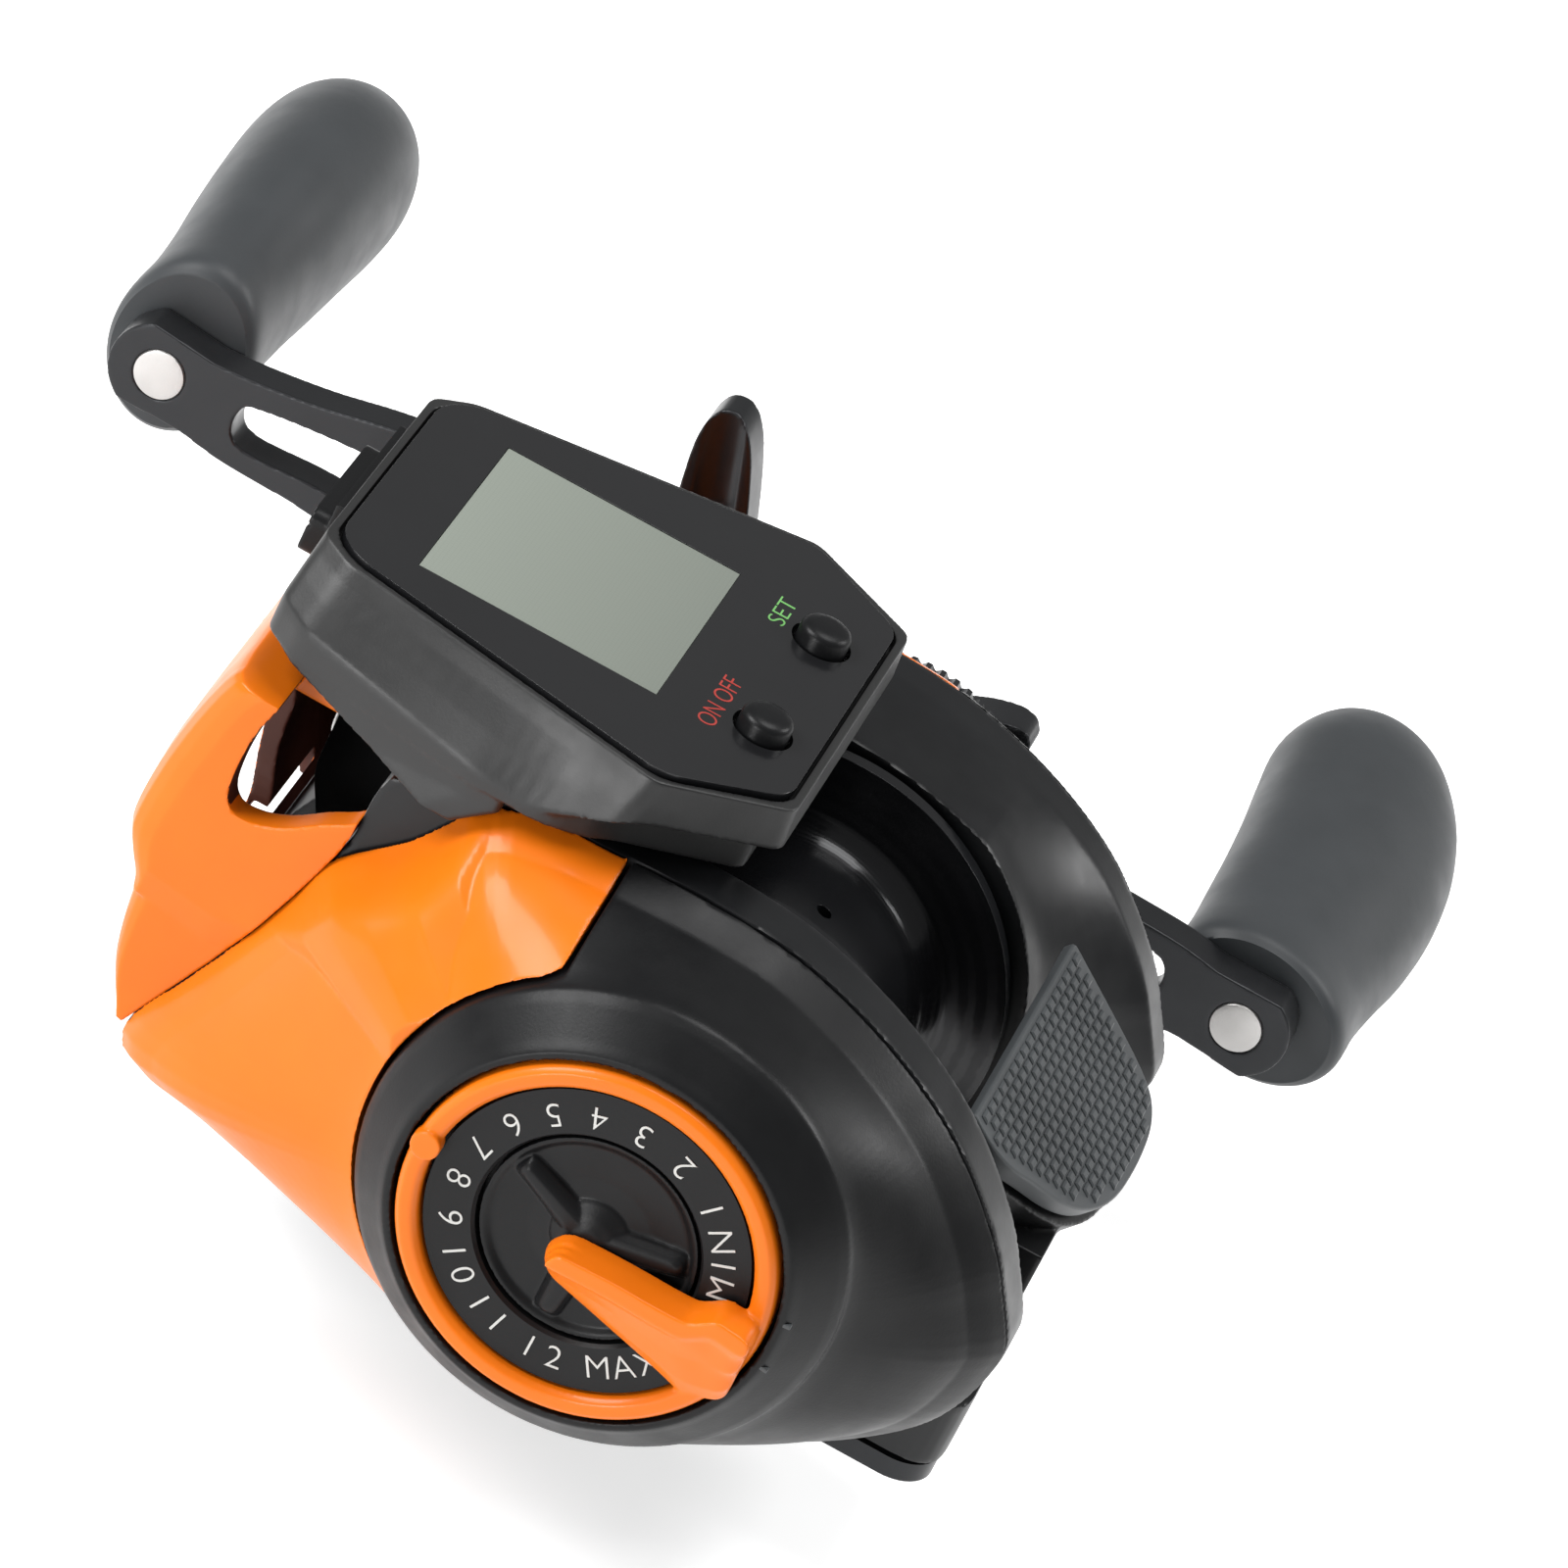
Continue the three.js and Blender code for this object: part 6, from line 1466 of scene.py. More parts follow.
@dataclass
class LineCounter:
    """The line counter's housing, glossy face, display, buttons, battery drawer and words."""

    centre: float = -1
    top: float = 24.7
    bottom: float = 18.1
    keel: float = 15.7
    crease: float = 18.98
    undercut: float = 1.7
    rear: float = 1.2
    front: float = 36.2
    half: float = 18.7
    panel_rear: float = 2
    panel_front: float = 35.2
    panel_half: float = 17.4
    panel_thickness: float = 1.0
    rim_proud: float = 0.55
    rim_drop: float = 0.3
    display: Spot = (8.9, 13, 29.5)
    buttons: dict[str, float] = field(default_factory=lambda: {"set": 5.4, "power": -7.7})
    button_forward: float = 6
    button_radius: float = 1.75
    button_proud: float = 1.35
    undercut_y: Point = (8.5, 16.2)
    crease_rise: float = 2.4
    crease_slope: float = 0.09
    crease_from: float = 17
    keel_rear: Point = (20, 17.6)
    pocket_floor: float = 22.4
    pocket_margin: float = 1.7
    slot_low: Spot = (-3.7, 22.1, 18.6)
    slot_high: Point = (9.7, 21.9)
    screw_hole: float = 1.25
    screw_side: float = 5.5
    screw_forward: float = 16.4
    button_floor: float = 23.03
    drawer_low: Spot = (-3.4, 22.4, 18.9)
    drawer_high: Point = (9.4, 21.6)
    cell_well: float = 6.05
    cell_place: Point = (3, 29.2)
    lip: Line = ((-2, 16.2), (9.4, 16.2), (9.4, 19.5), (-2, 19.5))
    lip_thickness: float = 1.7
    glass: Point = (1.2, 0.04)
    panel_shares: Line = ((0.72, 0), (1, 0.23), (0.695, 0.94), (0.58, 1))
    rim_shares: Line = ((0.72, 0), (1, 0.23), (0.86, 0.56), (0.695, 0.94), (0.58, 1))
    base_shares: Line = ((0.7, 0), (1.01, 0.265), (0.99, 0.54), (0.835, 0.93), (0.73, 1))
    keel_shares: Line = ((0.99, 0), (0.985, 0.13), (0.833, 0.87), (0.725, 1))

    def outline(self, shares: Line, half: float, rear: float, front: float, grow: float = 0) -> list[Point]:
        """A two-sided outline from the shares of its right-hand side."""
        side = [(u * half + grow, rear + v * (front - rear)) for u, v in shares]
        side[0] = (side[0][0], side[0][1] - grow)
        side[-1] = (side[-1][0], side[-1][1] + grow)
        whole = side + [(-x, y) for x, y in reversed(side)]
        return [(x + self.centre, y) for x, y in whole]

    def panel_outline(self, grow: float) -> list[Point]:
        """The glossy face's outline, grown by a margin."""
        corners = self.outline(self.panel_shares, self.panel_half, self.panel_rear, self.panel_front, grow)
        return rounded(corners, 1.5)

    def housing(self) -> Piece:
        """The housing with its bevelled rim, sloping walls, keel and drawer slot."""
        rim = self.top - self.rim_drop
        top = self.outline(self.rim_shares, self.panel_half, self.panel_rear, self.panel_front, self.rim_proud)
        base = self.outline(self.base_shares, self.half, self.rear, self.front)

        def level(share: float, rise: float) -> Ring:
            """A ring share of the way from base to top, below the crease until rise is 0.5."""
            ring = []
            mixed = [tuple(Vector(a).lerp(Vector(b), share)) for a, b in zip(base, top)]
            corners = [Vector(spot) for spot in rounded(mixed, 0.8)]
            for a, b in zip(corners, corners[1:] + corners[:1]):
                for k in range(8):
                    x, y = a.lerp(b, k / 8)
                    aft = 1 - smooth_step(*self.undercut_y, y)
                    crease = (self.crease + self.crease_slope * max(0.0, y - self.crease_from)
                              + self.crease_rise * aft)
                    low = self.bottom + (crease - self.bottom) * min(1.0, rise * 2)
                    under = self.undercut * aft if rise < 0.5 else 0
                    x = self.centre + (x - self.centre) * (1 - under / self.half)
                    ring.append((x, y + under, low + (rim - crease) * max(0.0, rise * 2 - 1)))
            return ring

        body = Bench.loft("housing", [level(share, rise) for share, rise in (
            (0, 0), (0, 0.38), (0.03, 0.5), (0.4, 0.7), (0.78, 0.88), (1, 1))])
        low_line, high_line = (self.outline(self.keel_shares, self.half, rear, self.front - 0.05)
                               for rear in self.keel_rear)
        keel = Bench.loft("keel", [[(x, y, z) for x, y in rounded(points, 0.6)]
                                   for z, points in ((self.keel - 0.7, low_line), (self.bottom - 1, high_line),
                                                     (self.bottom + 0.3, high_line))])
        slant = Bench.plate("slant", [(22, self.keel - 0.8), (self.front + 2, 18.9), (self.front + 2, 10), (22, 10)],
                            -30, 30)
        keel = Bench.cut(keel, slant)
        seat = Bench.plate("seat", self.panel_outline(0), self.top - self.panel_thickness - SLIP_GAP,
                           self.top + OVERRUN, Axis.Z)
        margin = self.pocket_margin
        inside = self.outline(self.panel_shares, self.panel_half - margin, self.panel_rear + 1,
                              self.panel_front - margin)
        pocket = Bench.plate("pocket", rounded(inside, 1.0), self.pocket_floor, self.top, Axis.Z)
        slot = Bench.block(self.slot_low, (self.slot_high[0], self.front + OVERRUN, self.slot_high[1]))
        holes = [Bench.rod(self.screw_hole, self.keel - 1, self.bottom + 0.8,
                           (self.centre + side, self.screw_forward), Axis.Z)
                 for side in (-self.screw_side, self.screw_side)]
        return Bench.cut(Bench.join(body, keel), seat, pocket, slot, *holes)

    def panel(self) -> Piece:
        """The glossy face with its display window and button holes."""
        low = self.top - self.panel_thickness
        piece = Bench.plate("panel", self.panel_outline(-SLIP_GAP), low, self.top, Axis.Z)
        window = self.display_block(SLIP_GAP, low - 1, self.top + 1)
        holes = [Bench.rod(self.button_radius + SEAT_GAP, low - 1, self.top + 1, (x, self.button_forward), Axis.Z)
                 for x in self.buttons.values()]
        return Bench.bevel(Bench.cut(piece, window, *holes), 0.12, 3)

    def display_block(self, grow: float, low: float, high: float) -> Piece:
        """A block over the display, grown by a margin."""
        half, rear, front = self.display
        return Bench.block((self.centre - half - grow, rear - grow, low),
                           (self.centre + half + grow, front + grow, high))

    def button(self, side: float) -> Piece:
        """One push button with a softly rounded cap."""
        low, top, r = self.button_floor, self.top + self.button_proud, self.button_radius
        profile = [(0, low), (r + 0.5, low), (r + 0.5, low + 0.5), (r, low + 0.5), (r, top - 0.55),
                   (r * 0.93, top - 0.28), (r * 0.78, top - 0.1), (r * 0.5, top), (0, top)]
        return Bench.move(Bench.spun("button", profile, Axis.Z, 64), side, self.button_forward, 0)

    def words(self, text: str, spot: Point, size: Point, finish: Finish, name: str) -> None:
        """Prints a word on the face, reading along +X, stretched to its length and height."""
        label = Bench.text(text, 2, 0.015, -0.02)
        stretch = Matrix.Diagonal((size[0] / label.dimensions.x, size[1] / label.dimensions.y, 1, 1))
        label.data.transform(Matrix.Translation((*spot, self.top + 0.005)) @ stretch)
        finish_off(label, name, finish)

    def drawer(self) -> Piece:
        """The battery drawer, whose lip closes the housing's front."""
        front, floor = self.front + SEAT_GAP, self.drawer_low[2]
        drawer = Bench.block(self.drawer_low, (self.drawer_high[0], front + 0.3, self.drawer_high[1]))
        well = Bench.rod(self.cell_well, floor + 0.6, 23, self.cell_place, Axis.Z, 96)
        lip = Bench.plate("lip", rounded(self.lip, 1.1), front, front + self.lip_thickness, Axis.Y)
        groove = Bench.block((-3, front + 1.35, 18.35), (11, front + 3, 18.55))
        return Bench.mould(Bench.cut(Bench.join(drawer, lip), well, groove), 0.16, 3, 0.5)

    def build(self) -> None:
        """Models the line counter."""
        finish_off(Bench.mould(self.housing(), 0.2, 3, 0.5), "counter_housing", HOUSING_BLACK, "display_housing",
                   angle=60)
        finish_off(self.panel(), "counter_face", GLOSS_PANEL, "display_panel")
        under, over = self.glass
        glass = Bench.bevel(self.display_block(SLIP_GAP - 0.03, self.top - under, self.top - over), 0.05, 2)
        finish_off(glass, "display_glass", CRYSTAL, "lcd_module")
        for word, body in (("set", Body.SET_BUTTON), ("power", Body.POWER_BUTTON)):
            finish_off(self.button(self.buttons[word]), f"{word}_button_cap", BLACK, f"{word}_button", body=body)
        finish_off(self.drawer(), "battery_drawer", BLACK, "battery_tray", body=Body.BATTERY, angle=60)
        self.words("SET", (6.4, 9.1), (3.4, 1.2), GREEN_INK, "set_label")
        self.words("ON OFF", (-7.2, 9.2), (6.5, 1.3), RED_INK, "power_label")


@dataclass
class SpoolGroup:
    """The spool and the shaft that it turns with."""

    left: float = -12
    right: float = 9.6
    flange: float = 16.2
    arbor: float = 10.5
    thickness: float = 1.1
    bore: float = 1.45
    line_hole: float = 0.55
    line_hole_place: Point = (0.3, -2.3)
    outer_profile: Line = ((5, 0), (6, 0.5), (12.5, 0.5), (13.5, 0))
    fillet_profile: Line = ((14.6, 0.25), (12.4, 0.7), (11.3, 1.3))
    fillet_depth: float = 2.6

    def build(self) -> None:
        """Models the spool with its filleted arbor and the line holes in it."""
        left, inner = self.left, self.left + self.thickness
        near = [(self.bore, left), *raised(self.outer_profile, left), (self.flange, left), (self.flange, inner),
                *raised(self.fillet_profile, inner), (self.arbor, inner + self.fillet_depth)]
        far = [(r, left + self.right - at) for r, at in reversed(near)]
        piece = Bench.spun("spool", near + far, steps=144)
        for k in range(3):
            hole = Bench.rod(self.line_hole, self.arbor - 2, self.arbor + 1, self.line_hole_place, Axis.Z, steps=32)
            piece = Bench.cut(piece, Bench.turn(hole, 120 * k))
        piece = Bench.bevel(piece, 0.14, 3, 40)
        finish_off(piece, "spool_body", SPOOL_BLACK, "spool", body=Body.SPOOL)
        finish_off(Bench.axle(1.2, -25.5, 33.2, 0.3, 0.4), "spool_axle", STEEL, "spool_shaft", body=Body.SPOOL)


@dataclass
class LevelWind:
    """The line guide on its rod and reversing worm."""

    worm: Point = WORM
    worm_x: Point = (-12.9, 9.8)
    worm_end_radius: float = 1.3
    worm_ends: Point = (-15.4, 14.7)
    worm_radius: float = 2.2
    groove_depth: float = 0.5
    groove_pitch: float = 9.0
    groove_edge: Point = (0.22, 0.42)
    rod: Point = GUIDE_ROD
    centre: float = -1.2
    width: float = 7
    eye_height: float = 8.4
    eye_bore: float = 3.05
    outline: Line = (
        (18.9, -9.4), (25.7, -9.4), (28.8, 0), (30.8, 4.35), (30.8, 12.4), (25.7, 12.4), (22.7, 5.5), (18.9, 0))
    eye_profile: Line = ((1.7, 28.65), (1.95, 26.75), (2.4, 26.2), (2.75, 26.35), (2.8, 26.8))
    eye_middle: float = 28.65
    cap_profile: Line = ((0, -10.45), (1.7, -10.45), (2.1, -10.15), (2.1, -8.65), (0, -8.65))
    worm_bore: float = 2.45
    rod_bore: float = 1.35
    pawl_bore: float = 2.35
    pawl_z: Point = (-10.4, -8.4)
    worm_rings: int = 150

    def worm_shaft(self) -> Piece:
        """The shaft with its crossed helical grooves."""
        rings = []
        left, right = self.worm_x
        for k in range(self.worm_rings + 1):
            at = left + (right - left) * k / self.worm_rings
            turn = math.tau * (at - left) / self.groove_pitch

            def grooved(angle: float, turn: float = turn) -> float:
                """The radius of one ring, less the nearer groove's depth."""
                gaps = [abs(math.atan2(math.sin(angle - way), math.cos(angle - way))) for way in (turn, -turn)]
                return self.worm_radius - self.groove_depth * (1 - smooth_step(*self.groove_edge, min(gaps)))
            rings.append(ring_at(at, grooved, 72))
        ends = [Bench.rod(self.worm_end_radius, self.worm_ends[0], left + 0.5, steps=40),
                Bench.rod(self.worm_end_radius, right - 0.5, self.worm_ends[1], steps=40)]
        return Bench.join(Bench.loft("worm", rings), *ends)

    def guide(self) -> Piece:
        """The carriage that runs on the worm and the rod."""
        low, high = self.centre - self.width / 2, self.centre + self.width / 2
        body = Bench.plate("guide", rounded(list(self.outline), 1.2), low, high)
        tools = [Bench.rod(self.eye_bore, 21, 32, (self.centre, self.eye_height), Axis.Y),
                 Bench.rod(self.worm_bore, low - 1, high + 1, self.worm),
                 Bench.rod(self.rod_bore, low - 1, high + 1, self.rod),
                 Bench.rod(self.pawl_bore, *self.pawl_z, (self.centre, self.worm[0]), Axis.Z)]
        return Bench.bevel(Bench.cut(body, *tools), 0.3, 3)

    def build(self) -> None:
        """Models the level wind."""
        finish_off(self.guide(), "line_carriage", BLACK, "line_guide", body=Body.LEVEL_WIND)
        eye = smooth_line(list(self.eye_profile), steps=5)
        front = [(r, 2 * self.eye_middle - at) for r, at in reversed(eye)]
        ring = Bench.move(Bench.spun("eye", eye + front[:-1], Axis.Y, 72), self.centre, 0, self.eye_height)
        finish_off(ring, "line_eye", CERAMIC, "line_ring", body=Body.LEVEL_WIND, angle=50)
        cap = Bench.spun("cap", list(self.cap_profile), Axis.Z, 48)
        cap = Bench.cut(cap, Bench.block((-1.6, -0.3, -11), (1.6, 0.3, -10.05)))
        Bench.move(cap, self.centre, self.worm[0], 0)
        finish_off(cap, "pawl_screw", ANODISED, "pawl_cap", body=Body.LEVEL_WIND)
        finish_off(Bench.move(self.worm_shaft(), 0, *self.worm), "worm_axle", STEEL, "worm_shaft", body=Body.WORM)
        rod = Bench.axle(1.1, -15.4, 12.85, 0.25, 0.3)
        finish_off(Bench.move(rod, 0, *self.rod), "guide_bar", STEEL, "guide_rod")


@dataclass
class ThumbBar:
    """The thumb bar and its dimpled grip."""

    left: float = -12.9
    right: float = 12.2
    front: float = -17.2
    top: float = 10.4
    slope_degrees: float = 38
    length: float = 13.3
    pad_thickness: float = 1.5
    base_thickness: float = 2.6
    margin: float = 0.6
    dimple_pitch: Point = (1.3, 0.82)
    dimple_levels: tuple[Spot, ...] = ((-0.2, 0.82, 0.8), (0.02, 0.8, 0.78), (0.13, 0.62, 0.42))
    dimple_margin: float = 0.75
    pad_sink: float = 0.05
    spool_clearance: float = 19.4
    spine_low: Spot = (-9.5, -25.2, -3.6)
    spine_high: Spot = (9.5, -22.2, 1.35)
    shares: Line = (
        (-0.5, 0), (-0.495, 0.17), (-0.46, 0.34), (-0.39, 0.5), (-0.3, 0.7), (-0.2, 0.85), (-0.08, 0.95),
        (0.06, 1), (0.3, 1), (0.41, 0.96), (0.475, 0.88), (0.5, 0.74), (0.5, 0))

    def outline(self, margin: float) -> list[Point]:
        """The slab's outline, across and down the slope."""
        width = self.right - self.left - (0 if margin else self.margin)
        corners = [(u * width, -v * (self.length + margin)) for u, v in self.shares]
        return evenly(smooth_line(corners, steps=6), 120)

    def slab(self, name: str, margin: float, low: float, high: float) -> Piece:
        """One flat slab of the bar."""
        return Bench.plate(name, self.outline(margin), low, high, Axis.Z)

    def clearance(self) -> Piece:
        """The room that the bar leaves for the spool."""
        return Bench.rod(self.spool_clearance, self.left - 1, self.right + 1, steps=128)

    def slope(self) -> Matrix:
        """From the flat slab to its place on the reel."""
        return (Matrix.Translation(((self.left + self.right) / 2, self.front, self.top))
                @ Matrix.Rotation(math.radians(self.slope_degrees), 4, "X"))

    def dimples(self) -> list[Piece]:
        """Rows of small raised lands over the grip, modelled once and copied."""
        across, down = self.dimple_pitch
        rings = []
        for z, wide, high in self.dimple_levels:
            x, y = across * wide / 2, down * high / 2
            rings.append([(-x, -y, z), (x, -y, z), (x, y, z), (-x, y, z)])
        first = Bench.loft("land", rings)
        lands = []
        for row in range(1, 18):
            y = -row * down
            for column in range(-9, 10):
                x = column * across + (0.5 * across if row % 2 else 0)
                if not self.inside(x, y):
                    continue
                land = first.copy()
                land.data = first.data.copy()
                bpy.context.collection.objects.link(land)
                lands.append(Bench.move(land, x, y, 0))
        bpy.data.objects.remove(first, do_unlink=True)
        return lands

    def inside(self, x: float, y: float) -> bool:
        """Whether a land at a place stays clear of the grip's edge."""
        line = self.outline(0)
        edge = min(math.hypot(x - u, y - v) for u, v in line)
        crossings = 0
        for (u0, v0), (u1, v1) in zip(line, line[1:] + line[:1]):
            if (v0 > y) != (v1 > y) and x < u0 + (u1 - u0) * (y - v0) / (v1 - v0):
                crossings += 1
        return crossings % 2 == 1 and edge > self.dimple_margin

    def build(self) -> None:
        """Models the grip and the bar under it."""
        pad = Bench.bevel(self.slab("pad", 0, -self.pad_thickness, -self.pad_sink), 0.3, 3)
        pad.data.transform(self.slope())
        pad = Bench.cut(pad, self.clearance())
        lands = self.dimples()
        for land in lands:
            land.data.transform(self.slope())
        Bench.merge(pad, lands)
        finish_off(pad, "thumb_grip", GRIP, "thumb_pad", body=Body.THUMB_BAR)
        high = -self.pad_thickness - SLIP_GAP
        base = self.slab("base", self.margin, high - self.base_thickness, high)
        base.data.transform(self.slope())
        base = Bench.join(Bench.cut(base, self.clearance()), Bench.block(self.spine_low, self.spine_high))
        base = Bench.mould(base, 0.2, 4, 0.5)
        finish_off(base, "thumb_lever", BLACK, "thumb_bar", body=Body.THUMB_BAR, angle=60)


@dataclass
class Crank:
    """The crank arm with its nut and retainer, the star drag under it and the cast control cap."""

    arm_inner: float = 43.5
    arm_thickness: float = 3
    arm_reach: float = 43.5
    end_radius: float = 3.8
    hub_radius: float = 7.5
    pin_radius: float = 1.6
    pin_end: float = 81
    head_radius: float = 1.92
    nut_bore: float = 2.65
    nut_height: float = 4.25
    nut_radius: float = 5.4
    shaft_bore: float = 3.25
    paddle_share: float = 0.66
    star_inner: float = 36.5
    star_arm: float = 2.4
    star_paddle: float = 3.3
    star_tip: float = 25.8
    star_turn_degrees: float = 4.2
    star_arms: int = 5
    cap_radius: float = 10.4
    crown_profile: Line = (
        (0, -2), (9.7, -2), (9.7, -0.8), (9.4, -0.35), (8.9, 0), (7.2, 0), (6.9, -0.3), (3.2, -0.3), (2.9, 0), (0, 0))
    star_hub_profile: Line = (
        (0, 0), (8.5, 0), (8.5, 1.9), (8.0, 2.4), (6.6, 2.7), (6.2, 3.2), (6.2, 4.2), (5.8, 4.6), (0, 4.6))
    retainer_outline: Line = ((-5.4, -2.2), (6.7, -2.2), (6.7, 2.2), (-5.4, 2.2))
    screw_profile: Line = ((0, 0.1), (1.4, 0.1), (1.4, 0.65), (1.1, 0.88), (0, 0.88))
    pin_profile: Line = ((0, 0), (1.5, 0.02), (1.82, 0.09), (1.92, 0.25))
    collar_profile: Line = (
        (3.25, 41.4), (4.8, 41.4), (5, 41.6), (5, 42.1), (4.7, 42.3), (5, 42.5), (5, 43), (4.8, 43.2), (3.25, 43.2))
    cap: Point = (30.8, 36)
    knurls: int = 60
    knurl_depth: float = 0.34
    lower_shares: Line = ((0.93, -0.07), (0.86, -0.078), (0.68, -0.078), (0.45, -0.105), (0.2, -0.15), (0, -0.17))
    upper_shares: Line = (
        (0, 0.17), (0.2, 0.165), (0.42, 0.175), (0.62, 0.14), (0.75, 0.103), (0.86, 0.08), (0.93, 0.07))
    slot_shares: Line = (
        (0.86, -0.01), (0.84, -0.037), (0.68, -0.028), (0.45, -0.04), (0.34, -0.045), (0.33, 0.06), (0.45, 0.085),
        (0.68, 0.067), (0.83, 0.04), (0.855, 0.03))
    star_shares: Line = (
        (0.3, 0.2), (0.36, 0.155), (0.45, 0.13), (0.6, 0.108), (0.78, 0.093), (0.9, 0.076), (0.96, 0.055),
        (0.99, 0.03), (0.998, 0.012))

    def half_arm(self) -> Piece:
        """One half of the arm, from the hub to the knob's boss."""
        lower, upper = (smooth_line(scaled(shares, self.arm_reach), steps=6)
                        for shares in (self.lower_shares, self.upper_shares))
        end = [(self.arm_reach + self.end_radius * math.cos(math.radians(a)),
                self.end_radius * math.sin(math.radians(a))) for a in range(-60, 61, 5)]
        outline = lower[::-1] + end + upper[::-1]
        return Bench.plate("half", outline, self.arm_inner, self.arm_inner + self.arm_thickness)

    def slot(self, low: float, high: float) -> Piece:
        """The lightening slot of one half."""
        line = smooth_line(scaled(self.slot_shares, self.arm_reach), True, 6)
        return Bench.plate("slot", line, low, high)

    def arm(self) -> Piece:
        """The whole arm with softened edges."""
        low, high = self.arm_inner, self.arm_inner + self.arm_thickness
        other = Bench.turn(self.half_arm(), 180)
        piece = Bench.join(Bench.rod(self.hub_radius, low, high, steps=96), self.half_arm(), other)
        low, high = low - 1, high + 1
        tools = [self.slot(low, high), Bench.turn(self.slot(low, high), 180), Bench.rod(self.nut_bore, low, high)]
        tools += [Bench.rod(self.head_radius - 0.02, low, high, (side * self.arm_reach, 0)) for side in (1, -1)]
        return Bench.mould(Bench.cut(piece, *tools), 0.17, 6, 0.5)

    def star(self) -> Piece:
        """The star wheel with its thick, hollow-faced finger tips."""
        low = self.star_inner

        side = smooth_line(scaled(self.star_shares, self.star_tip), steps=5)
        line = [(r, -w) for r, w in side] + side[::-1]
        pieces = []
        for k in range(self.star_arms):
            arm = Bench.plate("arm", line, low, low + self.star_arm)
            paddle = Bench.plate("paddle", line, low, low + self.star_paddle)
            paddle = Bench.keep(paddle, Bench.block((low - 1, self.star_tip * self.paddle_share, -9),
                                                    (low + 9, 40, 9)))
            hollow = Bench.spun("hollow", [(0, 0), (2.3, 0), (2.1, 9), (0, 9)], Axis.Y, 48)
            Bench.move(hollow, low - 1.62, self.star_tip * 0.72, 0)
            arm = Bench.cut(Bench.join(arm, paddle), hollow)
            pieces.append(Bench.turn(arm, 360 * k / self.star_arms + self.star_turn_degrees))
        hub = Bench.spun("hub", raised(self.star_hub_profile, low), steps=96)
        piece = Bench.cut(Bench.join(hub, *pieces), Bench.rod(self.shaft_bore, low - 1, low + 6))
        return Bench.mould(piece, 0.17, 5, 0.6)

    def knurled(self, angle: float) -> float:
        """The radius of the cast control cap's rim at an angle."""
        across = abs(angle * self.knurls / math.pi % 2 - 1)
        return self.cap_radius - self.knurl_depth * smooth_step(0.35, 0.9, across)

    def cast_cap(self) -> Piece:
        """The cast control cap with its knurled rim."""
        low, high = self.cap
        rings = [ring_at(at, lambda angle: self.knurled(angle) - inset, self.knurls * 6)
                 for at, inset in ((low, 0.5), (low + 0.35, 0), (high - 1.3, 0), (high - 0.95, 0.45))]
        crown = Bench.spun("crown", raised(self.crown_profile, high), steps=120)
        piece = Bench.join(Bench.loft("skirt", rings), crown)
        return Bench.cut(piece, Bench.rod(8.0, low - 1, high - 1.6, steps=96))

    def nut(self) -> Piece:
        """The hexagon nut that holds the arm, its corners chamfered."""
        face = self.arm_inner + self.arm_thickness
        low, high = face + SLIP_GAP, face + self.nut_height
        hexagon = Bench.plate("nut", circle(self.nut_radius, 6), low, high)
        barrel = Bench.spun("barrel", [(0, low), (4.9, low), (5.5, low + 0.35), (5.5, high - 0.45), (4.8, high),
                                       (0, high)], steps=96)
        piece = Bench.keep(hexagon, barrel)
        return Bench.bevel(Bench.cut(piece, Bench.rod(self.nut_bore, low - 1, high + 1)), 0.1, 2)

    def retainer(self) -> Piece:
        """The retainer plate over the nut, with its screw."""
        low = self.arm_inner + self.arm_thickness + 4.6
        line = rounded(list(self.retainer_outline), 2.2, 10)
        plate = Bench.plate("retainer", line, low, low + 0.9)
        head = Bench.spun("head", raised(self.screw_profile, low), steps=40)
        ditch = Bench.cut(Bench.rod(1.75, low + 0.5, low + 2), Bench.rod(1.4, low - 1, low + 3))
        plate = Bench.cut(plate, ditch)
        return Bench.bevel(Bench.join(plate, head), 0.12, 2)

    def pin(self) -> Piece:
        """A knob pin with its rounded head."""
        head, end = self.arm_inner - 0.15, self.pin_end
        profile = [*raised(self.pin_profile, head), (self.head_radius, self.arm_inner + 1.2),
                   (self.pin_radius, self.arm_inner + 1.4),
                   (self.pin_radius, end), (0, end)]
        return Bench.spun("pin", profile, steps=64)

    def build(self) -> None:
        """Models everything that the drive shaft carries, and the cast control cap."""
        finish_off(self.arm(), "crank_arm", ANODISED, "handle_arm", body=Body.CRANK, place=ARM_PLACE, angle=60)
        finish_off(self.star(), "star_wheel", ANODISED, "star_drag", body=Body.STAR, place=CRANK_PLACE, angle=60)
        finish_off(self.cast_cap(), "cast_cap_knurled", ANODISED, "cast_control_cap", body=Body.CAST_CAP, angle=40)
        finish_off(self.nut(), "crank_nut", ANODISED, "handle_nut", body=Body.CRANK, place=CRANK_PLACE)
        finish_off(self.retainer(), "crank_retainer", ANODISED, "nut_retainer", body=Body.CRANK, place=CRANK_PLACE)
        collar = Bench.spun("collar", list(self.collar_profile), steps=80)
        finish_off(collar, "crank_collar", ANODISED, "shaft_collar", body=Body.CRANK, place=CRANK_PLACE)
        for side, name in ((1, "front"), (-1, "rear")):
            place = ARM_PLACE @ Matrix.Translation((0, side * self.arm_reach, 0))
            finish_off(self.pin(), f"knob_{name}_pin_head", PIN_STEEL, f"knob_pin_{name}", body=Body.CRANK,
                       place=place)


